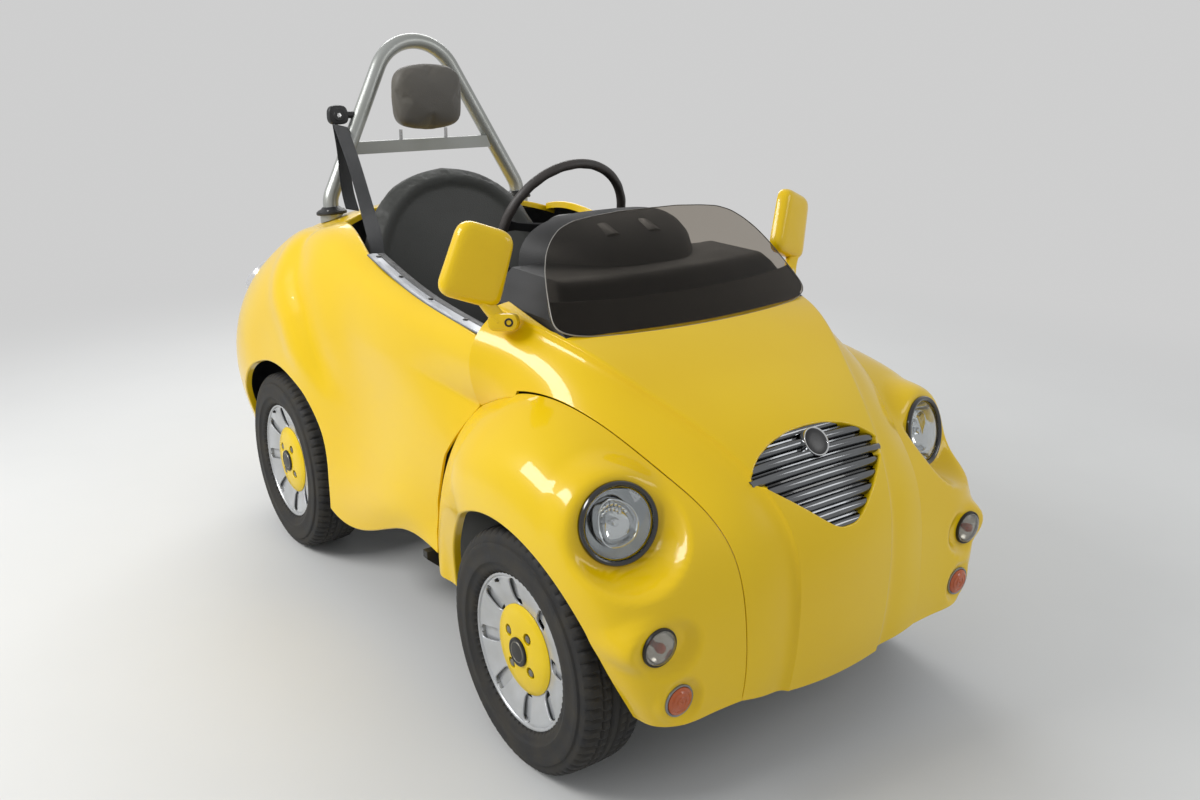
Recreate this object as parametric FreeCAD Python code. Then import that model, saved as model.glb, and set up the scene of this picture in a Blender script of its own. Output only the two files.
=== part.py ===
import FreeCAD, Part

import math
import os

V = FreeCAD.Vector

# Axes: front of the car faces -Y, its left side is +X, up is +Z, the ground is z = 0
# Driving dimensions of the whole car, in millimetres
WHEELBASE = 1250.0
FRONT_AXLE_Y = -670.0
REAR_AXLE_Y = FRONT_AXLE_Y + WHEELBASE
HALF_WIDTH = 545.0
TABLE_HALF_WIDTH = 545.0
WHEEL_INSET = 102.0
TRACK = 2.0 * (HALF_WIDTH - WHEEL_INSET)
COCKPIT_FRONT_Y = -388.0
WALL = 5.0
SEAM = 0.7
GAP = 0.3
PIVOT_PLAY = 0.05

# Wheels and tyres
TYRE_RADIUS = 254.0
TYRE_WIDTH = 145.0
TYRE_SHOULDER = 26.0
TYRE_BORE = 152.4
RIM_WIDTH = 118.0
RIM_FLANGE_RADIUS = 162.0
RIM_BARREL_WALL = 5.0
DISC_THICKNESS = 10.0
DISC_FACE_INSET = 2.0
DISC_DISH = 16.0
COVER_RADIUS = 95.0
CAP_RADIUS = 29.0
CAP_RISE = 4.0
WHEEL_SLOTS = 8
SLOT_PHASE = 36.0
SLOT_PITCH_RADIUS = 121.5
SLOT_LENGTH = 48.0
SLOT_WIDTH = 25.0
HUB_RADIUS = 42.0
HUB_LENGTH = 58.0
SPINDLE_RADIUS = 14.0

# Steering: kingpins, arms and tie rod
KINGPIN_INSET = 71.0
KINGPIN_X = TRACK / 2.0 - KINGPIN_INSET
KINGPIN_RADIUS = 9.0
KNUCKLE_BARREL_RADIUS = 17.0
KNUCKLE_HALF_HEIGHT = 48.0
BACKPLATE_RADIUS = 88.0
BACKPLATE_THICKNESS = 4.0
ARM_LENGTH = 95.0
ARM_DROP = 80.0
ARM_THICKNESS = 12.0
ARM_WIDTH = 22.0
TIE_ROD_RADIUS = 6.0
TIE_EYE_RADIUS = 13.0
TIE_EYE_HEIGHT = 14.0
TIE_PIN_RADIUS = 5.0
STEER_SIDE_CLEARANCE = 1.0

# Chassis
RAIL_X = KINGPIN_X - 192.0
RAIL_SIZE = 38.0
RAIL_BOTTOM = TYRE_RADIUS - 79.0
RAIL_WALL = 3.0
RAIL_FRONT_Y = -950.0
RAIL_REAR_Y = REAR_AXLE_Y + 380.0
AXLE_BEAM_HEIGHT = 36.0
AXLE_BEAM_WIDTH = 44.0
REAR_TUBE_RADIUS = 30.0
TOW_EYE_BORE = 12.0
TOW_EYE_THICKNESS = 12.0
JACK_PAD_DEPTH = 5.0
JACK_PAD_LENGTH = 80.0
JACK_PAD_Y = 100.0

# Cockpit
TUB_HALF_WIDTH = HALF_WIDTH - 183.0
TUB_FRONT_Y = -372.0
TUB_REAR_Y = REAR_AXLE_Y - 268.0
TUB_WALL = 4.0
TUB_CORNER = 40.0
TUB_DROP = 14.0
TUB_REAR_TOP = 800.0
FOOTWELL_HALF_WIDTH = KINGPIN_X - 157.0
FOOTWELL_FRONT_Y = -930.0
FOOTWELL_TOP = 560.0
SEAT_RISER_TOP = 350.0
SEAT_RISER_HALF_WIDTH = TUB_HALF_WIDTH - 112.0
SEAT_RISER_FRONT_Y = TUB_REAR_Y - 442.0
TRIM_WIDTH = 44.0
TRIM_THICKNESS = 4.0
TRIM_REAR_Y = REAR_AXLE_Y - 380.0
DASH_HALF_WIDTH = TUB_HALF_WIDTH - 34.0
DASH_WALL = 6.0
BINNACLE_RADIUS = 180.0
BINNACLE_WALL = 5.0
BINNACLE_AXIS_Z = 855.0
BINNACLE_FRONT_Y = -430.0
BINNACLE_REAR_Y = -262.0
OUTRIGGER_WIDTH = 20.0
OUTRIGGER_DEPTH = 18.0
OUTRIGGER_FOOT = 24.0
OUTRIGGER_SPARE = 2.6

# Seat
CUSHION_HALF_WIDTH = TUB_HALF_WIDTH - 122.0
CUSHION_THICKNESS = 110.0
BACKREST_RAKE = 20.4
BACKREST_THICKNESS = 60.0
BACKREST_HEIGHT = 772.0
BACKREST_HALF_WIDTH = TUB_HALF_WIDTH - 44.0
BACKREST_CROWN_RADIUS = 300.0
BACKREST_FOOT_Y = TUB_REAR_Y - 67.0
HEADREST_CENTRE = (0.0, REAR_AXLE_Y + 22.0, 1247.0)
HEADREST_WIDTH = 215.0
HEADREST_HEIGHT = 182.0
HEADREST_THICKNESS = 80.0
HEADREST_CORNER = 45.0
HEADREST_EDGE = 12.0
POST_X = 72.0
POST_RADIUS = 5.0
POST_SETBACK = 6.0

# Roll bar
BAR_RADIUS = 21.35
BAR_WALL = 2.6
BAR_FOOT = (TUB_HALF_WIDTH - 59.0, 936.0)
BAR_BEND_Z = 978.0
BAR_APEX_Z = 1395.0
BAR_CROWN_RADIUS = 132.0
BAR_BEND_RADIUS = 70.0
BAR_LEAN = 0.137
BAR_LEAN_REF = (REAR_AXLE_Y + 57.0, 1110.0)
CROSSBAR_Z = 1110.0
CROSSBAR_HEIGHT = 34.0
CROSSBAR_DEPTH = 24.0
FOOT_PLATE_RADIUS = 32.0
FOOT_PLATE_DEPTH = 34.0
ANCHOR_Z = 1199.0
ANCHOR_REACH = 67.76
ANCHOR_RADIUS = 30.0

# Steering wheel and column
WHEEL_CENTRE = (0.0, -88.0, 970.0)
WHEEL_TILT = 22.0
WHEEL_RIM_RADIUS = 172.0
WHEEL_TUBE_RADIUS = 11.0
WHEEL_BOSS_RADIUS = 38.0
COLUMN_RADIUS = 24.0
COLUMN_LENGTH = 280.0
COLUMN_GAP = 1.0

# Lamps and nose
HEADLAMP_CENTRE = (419.5, -886.6, 594.5)
HEADLAMP_RADIUS = 78.0
HEADLAMP_DEPTH = 60.0
HEADLAMP_AIM = (0.2155, -0.950, 0.225)
SIGNAL_CENTRE = (427.0, -1018.0, 411.0)
SIGNAL_RADIUS = 37.0
MARKER_CENTRE = (391.0, -1034.0, 299.0)
MARKER_RADIUS = 32.0
TAIL_LAMP_CENTRE = (408.0, REAR_AXLE_Y + 325.0, 720.0)
TAIL_LAMP_AIM = (0.35, 0.72, 0.60)
TAIL_LAMP_RADIUS = 62.0
LAMP_GAP = 0.6
GRILLE_GAP = 0.5
GRILLE_TOP_HALF = 176.0
GRILLE_TOP_BACK = 40.0
GRILLE_TIP_DOWN = 128.0
GRILLE_DEPTH = 22.0
GRILLE_AIM_TILT = 52.0
SCREEN_THICKNESS = 4.0
SCREEN_HALF_WIDTH = TUB_HALF_WIDTH - 18.0
SCREEN_BASE_Z = 858.0
SCREEN_TOP_Z = 1061.5

HEADLAMP_LENS_RADIUS = 66.0
HEADLAMP_DOME = 16.0

# Dashboard profile and its hollow, columns: y, z
DASH_OUTLINE = (
    (-590.0, 838.0),
    (-560.0, 852.0),
    (-420.0, 868.0),
    (-330.0, 862.0),
    (-312.0, 836.0),
    (-318.0, 772.0),
    (-352.0, 750.0),
    (-560.0, 742.0),
    (-590.0, 762.0),
)
DASH_HOLLOW = (
    (-582.0, 833.0),
    (-558.0, 845.0),
    (-420.0, 861.0),
    (-334.0, 855.0),
    (-320.0, 834.0),
    (-326.0, 776.0),
    (-354.0, 757.0),
    (-558.0, 749.0),
    (-582.0, 766.0),
)

# Mirrors
MIRROR_CENTRE = (433.0, -433.0, 991.0)
MIRROR_WIDTH = 122.0
MIRROR_HEIGHT = 150.0
MIRROR_DEPTH = 34.0
MIRROR_CORNER = 28.0
MIRROR_TOE = 16.0
MIRROR_LEAN = 6.0
MIRROR_LEFT_ROLL = -21.0
MIRROR_RIGHT_ROLL = 20.0
MIRROR_STEM_RADIUS = 8.0
MIRROR_PAD_RADIUS = 20.0
MIRROR_PAD_INNER = 60.0
MIRROR_PAD_OUTER = 9.0
MIRROR_BASE = (400.0, -460.0, 862.0)

# Belt runs
BELT_WIDTH = 46.0
BELT_THICKNESS = 1.6
BELT_REAR_FOOT = (-(TUB_HALF_WIDTH - 72.0), REAR_AXLE_Y - 75.0, 1000.0)
BELT_FRONT_FOOT = (-(TUB_HALF_WIDTH - 27.0), REAR_AXLE_Y - 330.0, 860.0)

# Drive and battery
MOTOR_RADIUS = 78.0
MOTOR_LENGTH = 2.0 * RAIL_X - 120.0
MOTOR_FACE_X = RAIL_X - 59.0
MOTOR_OFFSET = 130.0
MOTOR_RISE = 20.0
BATTERY_HALF_WIDTH = 200.0
BATTERY_LENGTH = 150.0
BATTERY_HEIGHT = 210.0
TOW_EYE_REACH = 25.0
PLATE_SETBACK = 21.0
PLATE_BRACKET_LAP = 4.0
PLATE_HOLE_SPACING = 210.0
PLATE_HOLE_RADIUS = 3.5
PEDAL_Y = -790.0
SHAFT_RADIUS = 9.0
OPEN_PIVOT_PLAY = 0.5

OPENING_MARGIN = 10.0
OPENING_CORNER = 46.0
OPENING_SIDE_Y = -560.0
OPENING_FRONT_Y = -598.0

# Windscreen sheet, columns: z, half width, side y, middle y
SCREEN_ROWS = (
    (800.0, SCREEN_HALF_WIDTH + 10.0, -642.0, -688.0),
    (1080.0, SCREEN_HALF_WIDTH + 10.0, -362.0, -408.0),
)

SCREEN_ARCH = (
    (1.0, 0.0),
    (0.998, 0.12),
    (0.965, 0.265),
    (0.936, 0.403),
    (0.895, 0.550),
    (0.843, 0.683),
    (0.773, 0.796),
    (0.692, 0.885),
    (0.581, 0.944),
    (0.436, 0.973),
    (0.230, 0.998),
    (0.0, 1.0),
)

# Wheel arches
FRONT_ARCH_RADIUS = TYRE_RADIUS + 46.0
REAR_ARCH_RADIUS = TYRE_RADIUS + 32.0

# Front cowl, columns: y, z, tilt from level in degrees, crease x, crease drop, skirt x, skirt drop
COWL_ROWS = (
    (-388.0, 915.0, 0.0, 365.0, 30.0, 432.0, 232.0),
    (-500.0, 893.0, 6.0, 345.0, 26.0, 420.0, 176.0),
    (-622.0, 856.0, 20.0, 322.0, 12.0, 402.0, 124.0),
    (-785.0, 782.0, 31.0, 255.0, 10.0, 368.0, 76.0),
    (-930.0, 703.0, 43.0, 185.0, 14.0, 310.0, 72.0),
    (-1050.0, 560.0, 74.0, 130.0, 12.0, 264.0, 46.0),
    (-1069.0, 400.0, 90.0, 120.0, 6.0, 250.0, 24.0),
    (-1058.0, 262.0, 98.0, 120.0, 4.0, 248.0, 12.0),
)

# Front fender about the axle, columns: angle from rearward, seam x, seam r, crown x, crown r, lip x, lip r
FENDER_ROWS = (
    (8.0, 476.0, 400.0, 486.0, 350.0, 480.0, 292.0),
    (36.0, 470.0, 430.0, 496.0, 372.0, 508.0, 292.0),
    (60.0, 420.0, 508.0, 484.0, 454.0, 538.0, 292.0),
    (90.0, 354.0, 486.0, 454.0, 460.0, 545.0, 292.0),
    (120.0, 288.0, 456.0, 452.0, 430.0, 536.0, 292.0),
    (145.0, 236.0, 424.0, 442.0, 400.0, 515.0, 292.0),
    (165.0, 214.0, 398.0, 418.0, 379.0, 484.0, 292.0),
    (181.0, 204.0, 386.0, 385.0, 368.0, 442.0, 300.0),
)

# Side panel, columns: share of the way from cockpit front to rear axle, edge x, z, waist x, z, sill x, z
SIDE_ROWS = (
    (0.0, 410.0, 828.0, 458.0, 620.0, 482.0, 300.0),
    (0.2975, 408.0, 852.0, 474.0, 625.0, 494.0, 300.0),
    (0.5868, 392.0, 896.0, 494.0, 650.0, 506.0, 246.0),
    (0.8140, 350.0, 944.0, 515.0, 690.0, 530.0, 240.0),
    (1.0, 336.0, 910.0, 522.0, 718.0, 545.0, 292.0),
)

# Rear quarter about the axle, columns: angle, seam x, seam r, crown x, crown r, lip x, lip r
QUARTER_ROWS = (
    (90.0, 336.0, 656.0, 430.0, 600.0, 545.0, 278.0),
    (62.0, 305.0, 612.0, 430.0, 574.0, 541.0, 278.0),
    (36.0, 275.0, 560.0, 412.0, 548.0, 530.0, 278.0),
    (18.0, 262.0, 502.0, 395.0, 500.0, 505.0, 278.0),
    (3.0, 255.0, 470.0, 375.0, 466.0, 480.0, 278.0),
)

# Rear deck, columns: distance behind the rear axle, z, tilt, edge x, edge drop
DECK_ROWS = (
    (-20.0, 968.0, 4.0, 384.0, 66.0),
    (110.0, 944.0, 16.0, 366.0, 60.0),
    (250.0, 876.0, 33.0, 348.0, 50.0),
    (380.0, 768.0, 50.0, 330.0, 42.0),
    (460.0, 636.0, 68.0, 312.0, 34.0),
    (488.0, 500.0, 83.0, 304.0, 28.0),
    (490.0, 390.0, 90.0, 298.0, 26.0),
    (484.0, 290.0, 94.0, 292.0, 24.0),
)

# Seam between cowl and fender in plan, columns: x, y
COWL_SEAM = (
    (424.0, -388.0),
    (412.0, -500.0),
    (388.0, -625.0),
    (338.0, -800.0),
    (282.0, -935.0),
    (256.0, -1010.0),
    (226.0, -1100.0),
)

# Seam between rear deck and quarter in plan, columns: x, distance behind the rear axle
DECK_SEAM = (
    (368.0, -60.0),
    (346.0, 60.0),
    (320.0, 280.0),
    (290.0, 420.0),
    (270.0, 540.0),
)


def save(name, shape):
    """Writes one node's solids to its own file."""
    shape.exportStep("parts/" + name + ".step")


def mirrored(shape):
    """The same piece on the other side of the car."""
    return shape.mirror(V(0, 0, 0), V(1, 0, 0))


def box(x0, x1, y0, y1, z0, z1):
    """A block between two corners."""
    return Part.makeBox(x1 - x0, y1 - y0, z1 - z0, V(x0, y0, z0))


def rod(radius, start, end):
    """A round bar from one point to another."""
    run = V(*end) - V(*start)
    return Part.makeCylinder(radius, run.Length, V(*start), run)


def wide(x):
    """A sideways distance from the tables, stretched to the car's own width."""
    return x * HALF_WIDTH / TABLE_HALF_WIDTH


def offset_run(points, wall):
    """The run moved by the wall to the right of its own direction, point by point."""
    moved = []
    last = len(points) - 1
    for i, (u, w) in enumerate(points):
        before = points[max(i - 1, 0)]
        after = points[min(i + 1, last)]
        du = after[0] - before[0]
        dw = after[1] - before[1]
        length = math.hypot(du, dw)
        moved.append((u + wall * dw / length, w - wall * du / length))
    return moved


def arc_chain(points):
    """Arcs through each end, middle, end triple of a run of 3-D points."""
    edges = []
    for i in range(0, len(points) - 2, 2):
        edges.append(Part.Arc(points[i], points[i + 1], points[i + 2]).toShape())
    return edges


def band(points, wall, place):
    """A closed section: the run of points, thickened inwards and placed in space."""
    outer = [place(u, w) for u, w in points]
    inner = [place(u, w) for u, w in offset_run(points, wall)]
    inner.reverse()
    edges = arc_chain(outer)
    edges.append(Part.makeLine(outer[-1], inner[0]))
    edges += arc_chain(inner)
    edges.append(Part.makeLine(inner[-1], outer[0]))
    return Part.Wire(edges)


def plan_prism(points, z0, z1):
    """A vertical prism over a plan outline of (x, y) corners."""
    corners = [V(x, y, z0) for x, y in points]
    face = Part.Face(Part.makePolygon(corners + corners[:1]))
    return face.extrude(V(0, 0, z1 - z0))


def side_prism(points, x0, x1):
    """A sideways prism over a side-view outline of (y, z) corners."""
    corners = [V(x0, y, z) for y, z in points]
    face = Part.Face(Part.makePolygon(corners + corners[:1]))
    return face.extrude(V(x1 - x0, 0, 0))


def between(a, b, across, along):
    """A middle point of an arc, part of the way across and along from a to b."""
    return (a[0] + (b[0] - a[0]) * across, a[1] + (b[1] - a[1]) * along)


def polar(axle_y, angle, r):
    """Side-view place at an angle and radius from an axle, the angle from rearward upwards."""
    a = math.radians(angle)
    return axle_y + r * math.cos(a), TYRE_RADIUS + r * math.sin(a)


def crowned_run(row, tail):
    """The run of one cross section of a centre panel, and the rule that places it."""
    y, z, tilt, crease_x, crease_drop, skirt_x, skirt_drop = row
    lean = math.radians(tilt)
    facing = 1.0 if tail else -1.0

    def place(x, up):
        return V(x, y + facing * up * math.sin(lean), z + up * math.cos(lean))

    skirt = (-wide(skirt_x), -skirt_drop)
    crease = (-wide(crease_x), -crease_drop)
    left = [skirt, between(skirt, crease, 0.44, 0.52), crease]
    right = [(-x, up) for x, up in reversed(left)]
    return left + [(0.0, 0.0)] + right, place


def crowned_wire(row, tail):
    """One cross section of a centre panel: two flanks and a crown."""
    run, place = crowned_run(row, tail)
    return band(run, WALL, place)


def fender_wire(row, axle_y):
    """One radial section of a wheel-arch panel, from its seam over its crown to its lip."""
    angle, seam_x, seam_r, crown_x, crown_r, lip_x, lip_r = row
    seam = (wide(seam_x), seam_r)
    crown = (wide(crown_x), crown_r)
    lip = (wide(lip_x), lip_r)
    run = [seam, between(seam, crown, 0.5, 0.38), crown, between(crown, lip, 0.80, 0.42), lip]

    def place(x, r):
        y, z = polar(axle_y, angle, r)
        return V(x, y, z)

    return band(run, WALL, place)


def side_y(share):
    """The place along the car that is a share of the way from the cockpit's front to the rear axle."""
    return COCKPIT_FRONT_Y + share * (REAR_AXLE_Y - COCKPIT_FRONT_Y)


def side_wire(row):
    """One upright section of a side panel, from the cockpit edge to the sill."""
    share, edge_x, edge_z, waist_x, waist_z, sill_x, sill_z = row
    y = side_y(share)
    edge = (wide(edge_x), edge_z)
    waist = (wide(waist_x), waist_z)
    sill = (wide(sill_x), sill_z)
    run = [edge, between(edge, waist, 0.62, 0.42), waist, between(waist, sill, 0.62, 0.5), sill]
    return band(run, WALL, lambda x, z: V(x, y, z))


def arch_cut(axle_y, radius):
    """The round wheel opening through the left panel."""
    inner = FOOTWELL_HALF_WIDTH + 5.0
    outer = HALF_WIDTH + 60.0
    return rod(radius, (inner, axle_y, TYRE_RADIUS), (outer, axle_y, TYRE_RADIUS))


def cowl_plan(shift):
    """Plan outline of the cowl inside its fender seams, moved outwards by a shift."""
    right = [(wide(x) + shift, y) for x, y in COWL_SEAM]
    front = COWL_SEAM[-1][1] - 40.0
    back = COWL_SEAM[0][1] + 60.0
    half = [(right[0][0], back)] + right + [(right[-1][0], front)]
    return half + [(-x, y) for x, y in reversed(half)]


def deck_plan(shift):
    """Plan outline of the rear deck inside its seams, moved outwards by a shift."""
    right = [(wide(x) + shift, REAR_AXLE_Y + back) for x, back in DECK_SEAM]
    return right + [(-x, y) for x, y in reversed(right)]


def fender_side_zone(shift):
    """Side-view outline of all that lies ahead of the seam between fender and side panel."""
    top_y = COWL_SEAM[0][1] + shift
    outline = [(top_y, 1000.0), (top_y, 690.0)]
    for angle in (34.0, 27.0, 20.0, 13.0, 6.0):
        y, z = polar(FRONT_AXLE_Y, angle, 376.0)
        outline.append((y + shift, z))
    outline.append((outline[-1][0], 100.0))
    outline += [(FRONT_AXLE_Y - 600.0, 100.0), (FRONT_AXLE_Y - 600.0, 1000.0)]
    return outline


def lamp_direction(aim, side):
    """The direction a lamp faces, for the left (1) or right (-1) side."""
    return V(aim[0] * side, aim[1], aim[2]).normalize()


def drum(centre, aim, side, radius, back, front):
    """A round plug about a lamp's axis, from behind its face to ahead of it."""
    direction = lamp_direction(aim, side)
    middle = V(wide(centre[0]) * side, centre[1], centre[2])
    return Part.makeCylinder(radius, back + front, middle - direction * back, direction)


def lamp_holes(side, spare):
    """The openings that one side's front lamps sit in."""
    holes = drum(HEADLAMP_CENTRE, HEADLAMP_AIM, side, HEADLAMP_RADIUS + spare, HEADLAMP_DEPTH, 60.0)
    for centre, radius in ((SIGNAL_CENTRE, SIGNAL_RADIUS), (MARKER_CENTRE, MARKER_RADIUS)):
        holes = holes.fuse(drum(centre, (0.0, -1.0, 0.0), side, radius + spare, 40.0, 60.0))
    return holes


def front_cowl():
    """The centre of the front body: scuttle sides, hood and nose."""
    skin = Part.makeLoft([crowned_wire(row, False) for row in COWL_ROWS], True, False)
    skin = skin.common(plan_prism(cowl_plan(-SEAM / 2.0), 0.0, 1200.0))
    side = DASH_HALF_WIDTH + OPENING_MARGIN
    corner = side - OPENING_CORNER
    opening = plan_prism(((-side, -300.0), (-side, OPENING_SIDE_Y), (-corner, OPENING_FRONT_Y),
                          (corner, OPENING_FRONT_Y), (side, OPENING_SIDE_Y), (side, -300.0)), 600.0, 1200.0)
    skin = skin.cut(opening)
    return skin.cut(grille_prism(GRILLE_GAP + 1.0, 60.0))


def grille_prism(grow, depth):
    """The rounded triangle of the grille, extruded along its own facing direction."""
    tilt = math.radians(GRILLE_AIM_TILT)
    facing = V(0.0, -math.sin(tilt), math.cos(tilt))
    downward = V(0.0, -math.cos(tilt), -math.sin(tilt))
    middle = V(0.0, -985.0, 640.0) - facing * (depth / 2.0)
    top = GRILLE_TOP_BACK + grow
    corners = ((-GRILLE_TOP_HALF + 22.0 - grow, -top), (GRILLE_TOP_HALF - 22.0 + grow, -top),
               (GRILLE_TOP_HALF + grow, -top + 20.0), (26.0 + grow, GRILLE_TIP_DOWN + grow),
               (-26.0 - grow, GRILLE_TIP_DOWN + grow), (-GRILLE_TOP_HALF - grow, -top + 20.0))
    points = [middle + V(x, 0, 0) + downward * d for x, d in corners]
    face = Part.Face(Part.makePolygon(points + points[:1]))
    return face.extrude(facing * depth)


def front_fender():
    """The left front fender with its arch and lamp openings."""
    skin = Part.makeLoft([fender_wire(row, FRONT_AXLE_Y) for row in FENDER_ROWS], True, False)
    skin = skin.cut(plan_prism(cowl_plan(SEAM / 2.0), 0.0, 1200.0))
    skin = skin.common(side_prism(fender_side_zone(-SEAM / 2.0), 150.0, 700.0))
    skin = skin.cut(arch_cut(FRONT_AXLE_Y, FRONT_ARCH_RADIUS))
    return skin.cut(lamp_holes(1.0, LAMP_GAP))


def side_panel():
    """The left side of the body from the front seam round to the tail."""
    flank = Part.makeLoft([side_wire(row) for row in SIDE_ROWS], True, False)
    quarter = Part.makeLoft([fender_wire(row, REAR_AXLE_Y) for row in QUARTER_ROWS], True, False)
    skin = flank.fuse(quarter)
    skin = skin.cut(side_prism(fender_side_zone(SEAM / 2.0), 150.0, 700.0))
    skin = skin.cut(plan_prism(deck_plan(SEAM / 2.0), 0.0, 1200.0))
    skin = skin.cut(arch_cut(REAR_AXLE_Y, REAR_ARCH_RADIUS))
    return skin.cut(drum(TAIL_LAMP_CENTRE, TAIL_LAMP_AIM, 1.0, TAIL_LAMP_RADIUS + LAMP_GAP, 80.0, 60.0))


def deck_rows():
    """The rear deck's sections, with a soft crease part of the way out."""
    rows = []
    for back, z, tilt, x, drop in DECK_ROWS:
        rows.append((REAR_AXLE_Y + back, z, tilt, x * 0.62, drop * 0.34, x, drop))
    return rows


def rear_deck():
    """The rounded cover behind the seat, down to the tail."""
    skin = Part.makeLoft([crowned_wire(row, True) for row in deck_rows()], True, False)
    return skin.common(plan_prism(deck_plan(-SEAM / 2.0), 0.0, 1200.0))


def crowned_core(row, tail, gap):
    """A closed section just outside a centre panel's skin, to fit other pieces onto it."""
    run, place = crowned_run(row, tail)
    points = [place(x, up) for x, up in offset_run(run, -gap)]
    return Part.Wire(arc_chain(points) + [Part.makeLine(points[-1], points[0])])


def cowl_core(gap):
    """All that lies under the cowl's skin, grown by a gap."""
    return Part.makeLoft([crowned_core(row, False, gap) for row in COWL_ROWS], True, False)


def deck_core(gap):
    """All that lies under the deck's skin, grown by a gap."""
    return Part.makeLoft([crowned_core(row, True, gap) for row in deck_rows()], True, False)


def wheel_section(corners, axle_x, axle_y):
    """A ring turned about a wheel's axis from (axial, radius) corners."""
    points = [V(axle_x + a, axle_y, TYRE_RADIUS + r) for a, r in corners]
    face = Part.Face(Part.makePolygon(points + points[:1]))
    return face.revolve(V(axle_x, axle_y, TYRE_RADIUS), V(1, 0, 0), 360.0)


def tyre(axle_y):
    """The left tyre: bead, rounded sidewalls and tread block."""
    half = TYRE_WIDTH / 2.0
    bead = RIM_WIDTH / 2.0 - 5.5
    shoulder = half - TYRE_SHOULDER * 0.45
    side = [(bead, TYRE_BORE), (bead, RIM_FLANGE_RADIUS + GAP), (half - 8.0, RIM_FLANGE_RADIUS + 12.0),
            (half, TYRE_BORE + 50.0), (half - 3.0, TYRE_RADIUS - TYRE_SHOULDER),
            (shoulder, TYRE_RADIUS - 6.0), (shoulder - 12.0, TYRE_RADIUS)]
    corners = side + [(-a, r) for a, r in reversed(side)]
    return wheel_section(corners, TRACK / 2.0, axle_y)


def rim(axle_y):
    """The left wheel: flanged barrel, dished and slotted disc, hub and centre cap."""
    half = RIM_WIDTH / 2.0
    seat = TYRE_BORE - GAP
    inner = seat - RIM_BARREL_WALL
    flange = RIM_FLANGE_RADIUS
    face = half - DISC_FACE_INSET
    back = face - DISC_THICKNESS
    dish = face - DISC_DISH
    hub_end = back - HUB_LENGTH
    bore = SPINDLE_RADIUS + PIVOT_PLAY
    corners = [(-half, inner), (-half, flange), (-half + 5.0, flange), (-half + 5.0, seat),
               (half - 5.0, seat), (half - 5.0, flange), (half, flange), (face, flange - 6.0),
               (dish, COVER_RADIUS), (face - 2.0, 52.0), (face, CAP_RADIUS),
               (face + CAP_RISE, CAP_RADIUS), (face + CAP_RISE, 0.0), (back, 0.0), (back, bore),
               (hub_end, bore), (hub_end, HUB_RADIUS), (dish - DISC_THICKNESS, HUB_RADIUS + 12.0),
               (dish - DISC_THICKNESS, COVER_RADIUS), (back, inner)]
    ring = wheel_section(corners, TRACK / 2.0, axle_y)
    for i in range(WHEEL_SLOTS):
        ring = ring.cut(wheel_slot(axle_y, SLOT_PHASE + 360.0 * i / WHEEL_SLOTS))
    return ring


def wheel_slot(axle_y, angle):
    """One long hole through the disc, its length along the wheel's radius."""
    x0 = TRACK / 2.0
    x1 = x0 + RIM_WIDTH
    half_run = (SLOT_LENGTH - SLOT_WIDTH) / 2.0
    middle = TYRE_RADIUS + SLOT_PITCH_RADIUS
    half = SLOT_WIDTH / 2.0
    cutter = box(x0, x1, axle_y - half, axle_y + half, middle - half_run, middle + half_run)
    for z in (middle - half_run, middle + half_run):
        cutter = cutter.fuse(rod(half, (x0, axle_y, z), (x1, axle_y, z)))
    return cutter.rotated(V(x0, axle_y, TYRE_RADIUS), V(1, 0, 0), angle)


def spindle(axle_y):
    """The left stub shaft and brake backplate."""
    tip = TRACK / 2.0 + RIM_WIDTH / 2.0 - DISC_FACE_INSET - DISC_THICKNESS - 3.0
    shaft = rod(SPINDLE_RADIUS, (KINGPIN_X, axle_y, TYRE_RADIUS), (tip, axle_y, TYRE_RADIUS))
    plate_x = KINGPIN_X + KNUCKLE_BARREL_RADIUS + 3.0
    plate = rod(BACKPLATE_RADIUS, (plate_x, axle_y, TYRE_RADIUS),
                (plate_x + BACKPLATE_THICKNESS, axle_y, TYRE_RADIUS))
    return shaft.fuse(plate)


def knuckle(pin_bore):
    """The left steering knuckle: kingpin, spindle, backplate and steering arm."""
    y = FRONT_AXLE_Y
    z = TYRE_RADIUS
    reach = KNUCKLE_HALF_HEIGHT
    body = rod(KNUCKLE_BARREL_RADIUS, (KINGPIN_X, y, z - reach), (KINGPIN_X, y, z + reach))
    body = body.fuse(rod(KINGPIN_RADIUS, (KINGPIN_X, y, z - reach - 18.0), (KINGPIN_X, y, z + reach + 18.0)))
    body = body.fuse(spindle(y))
    half = ARM_THICKNESS / 2.0
    eye_y = y + ARM_LENGTH
    eye_z = z - ARM_DROP
    arm = side_prism(((y, z - 14.0), (y, z - 38.0), (y + 34.0, z - 38.0), (eye_y - 6.0, eye_z - half),
                      (eye_y - 6.0, eye_z + half), (y + 40.0, z - 14.0)), KINGPIN_X - half, KINGPIN_X + half)
    eye = rod(TIE_EYE_RADIUS, (KINGPIN_X, eye_y, eye_z - half), (KINGPIN_X, eye_y, eye_z + half))
    hole = rod(pin_bore, (KINGPIN_X, eye_y, eye_z - 30.0), (KINGPIN_X, eye_y, eye_z + 30.0))
    return body.fuse(arm).fuse(eye).cut(hole).removeSplitter()


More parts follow.
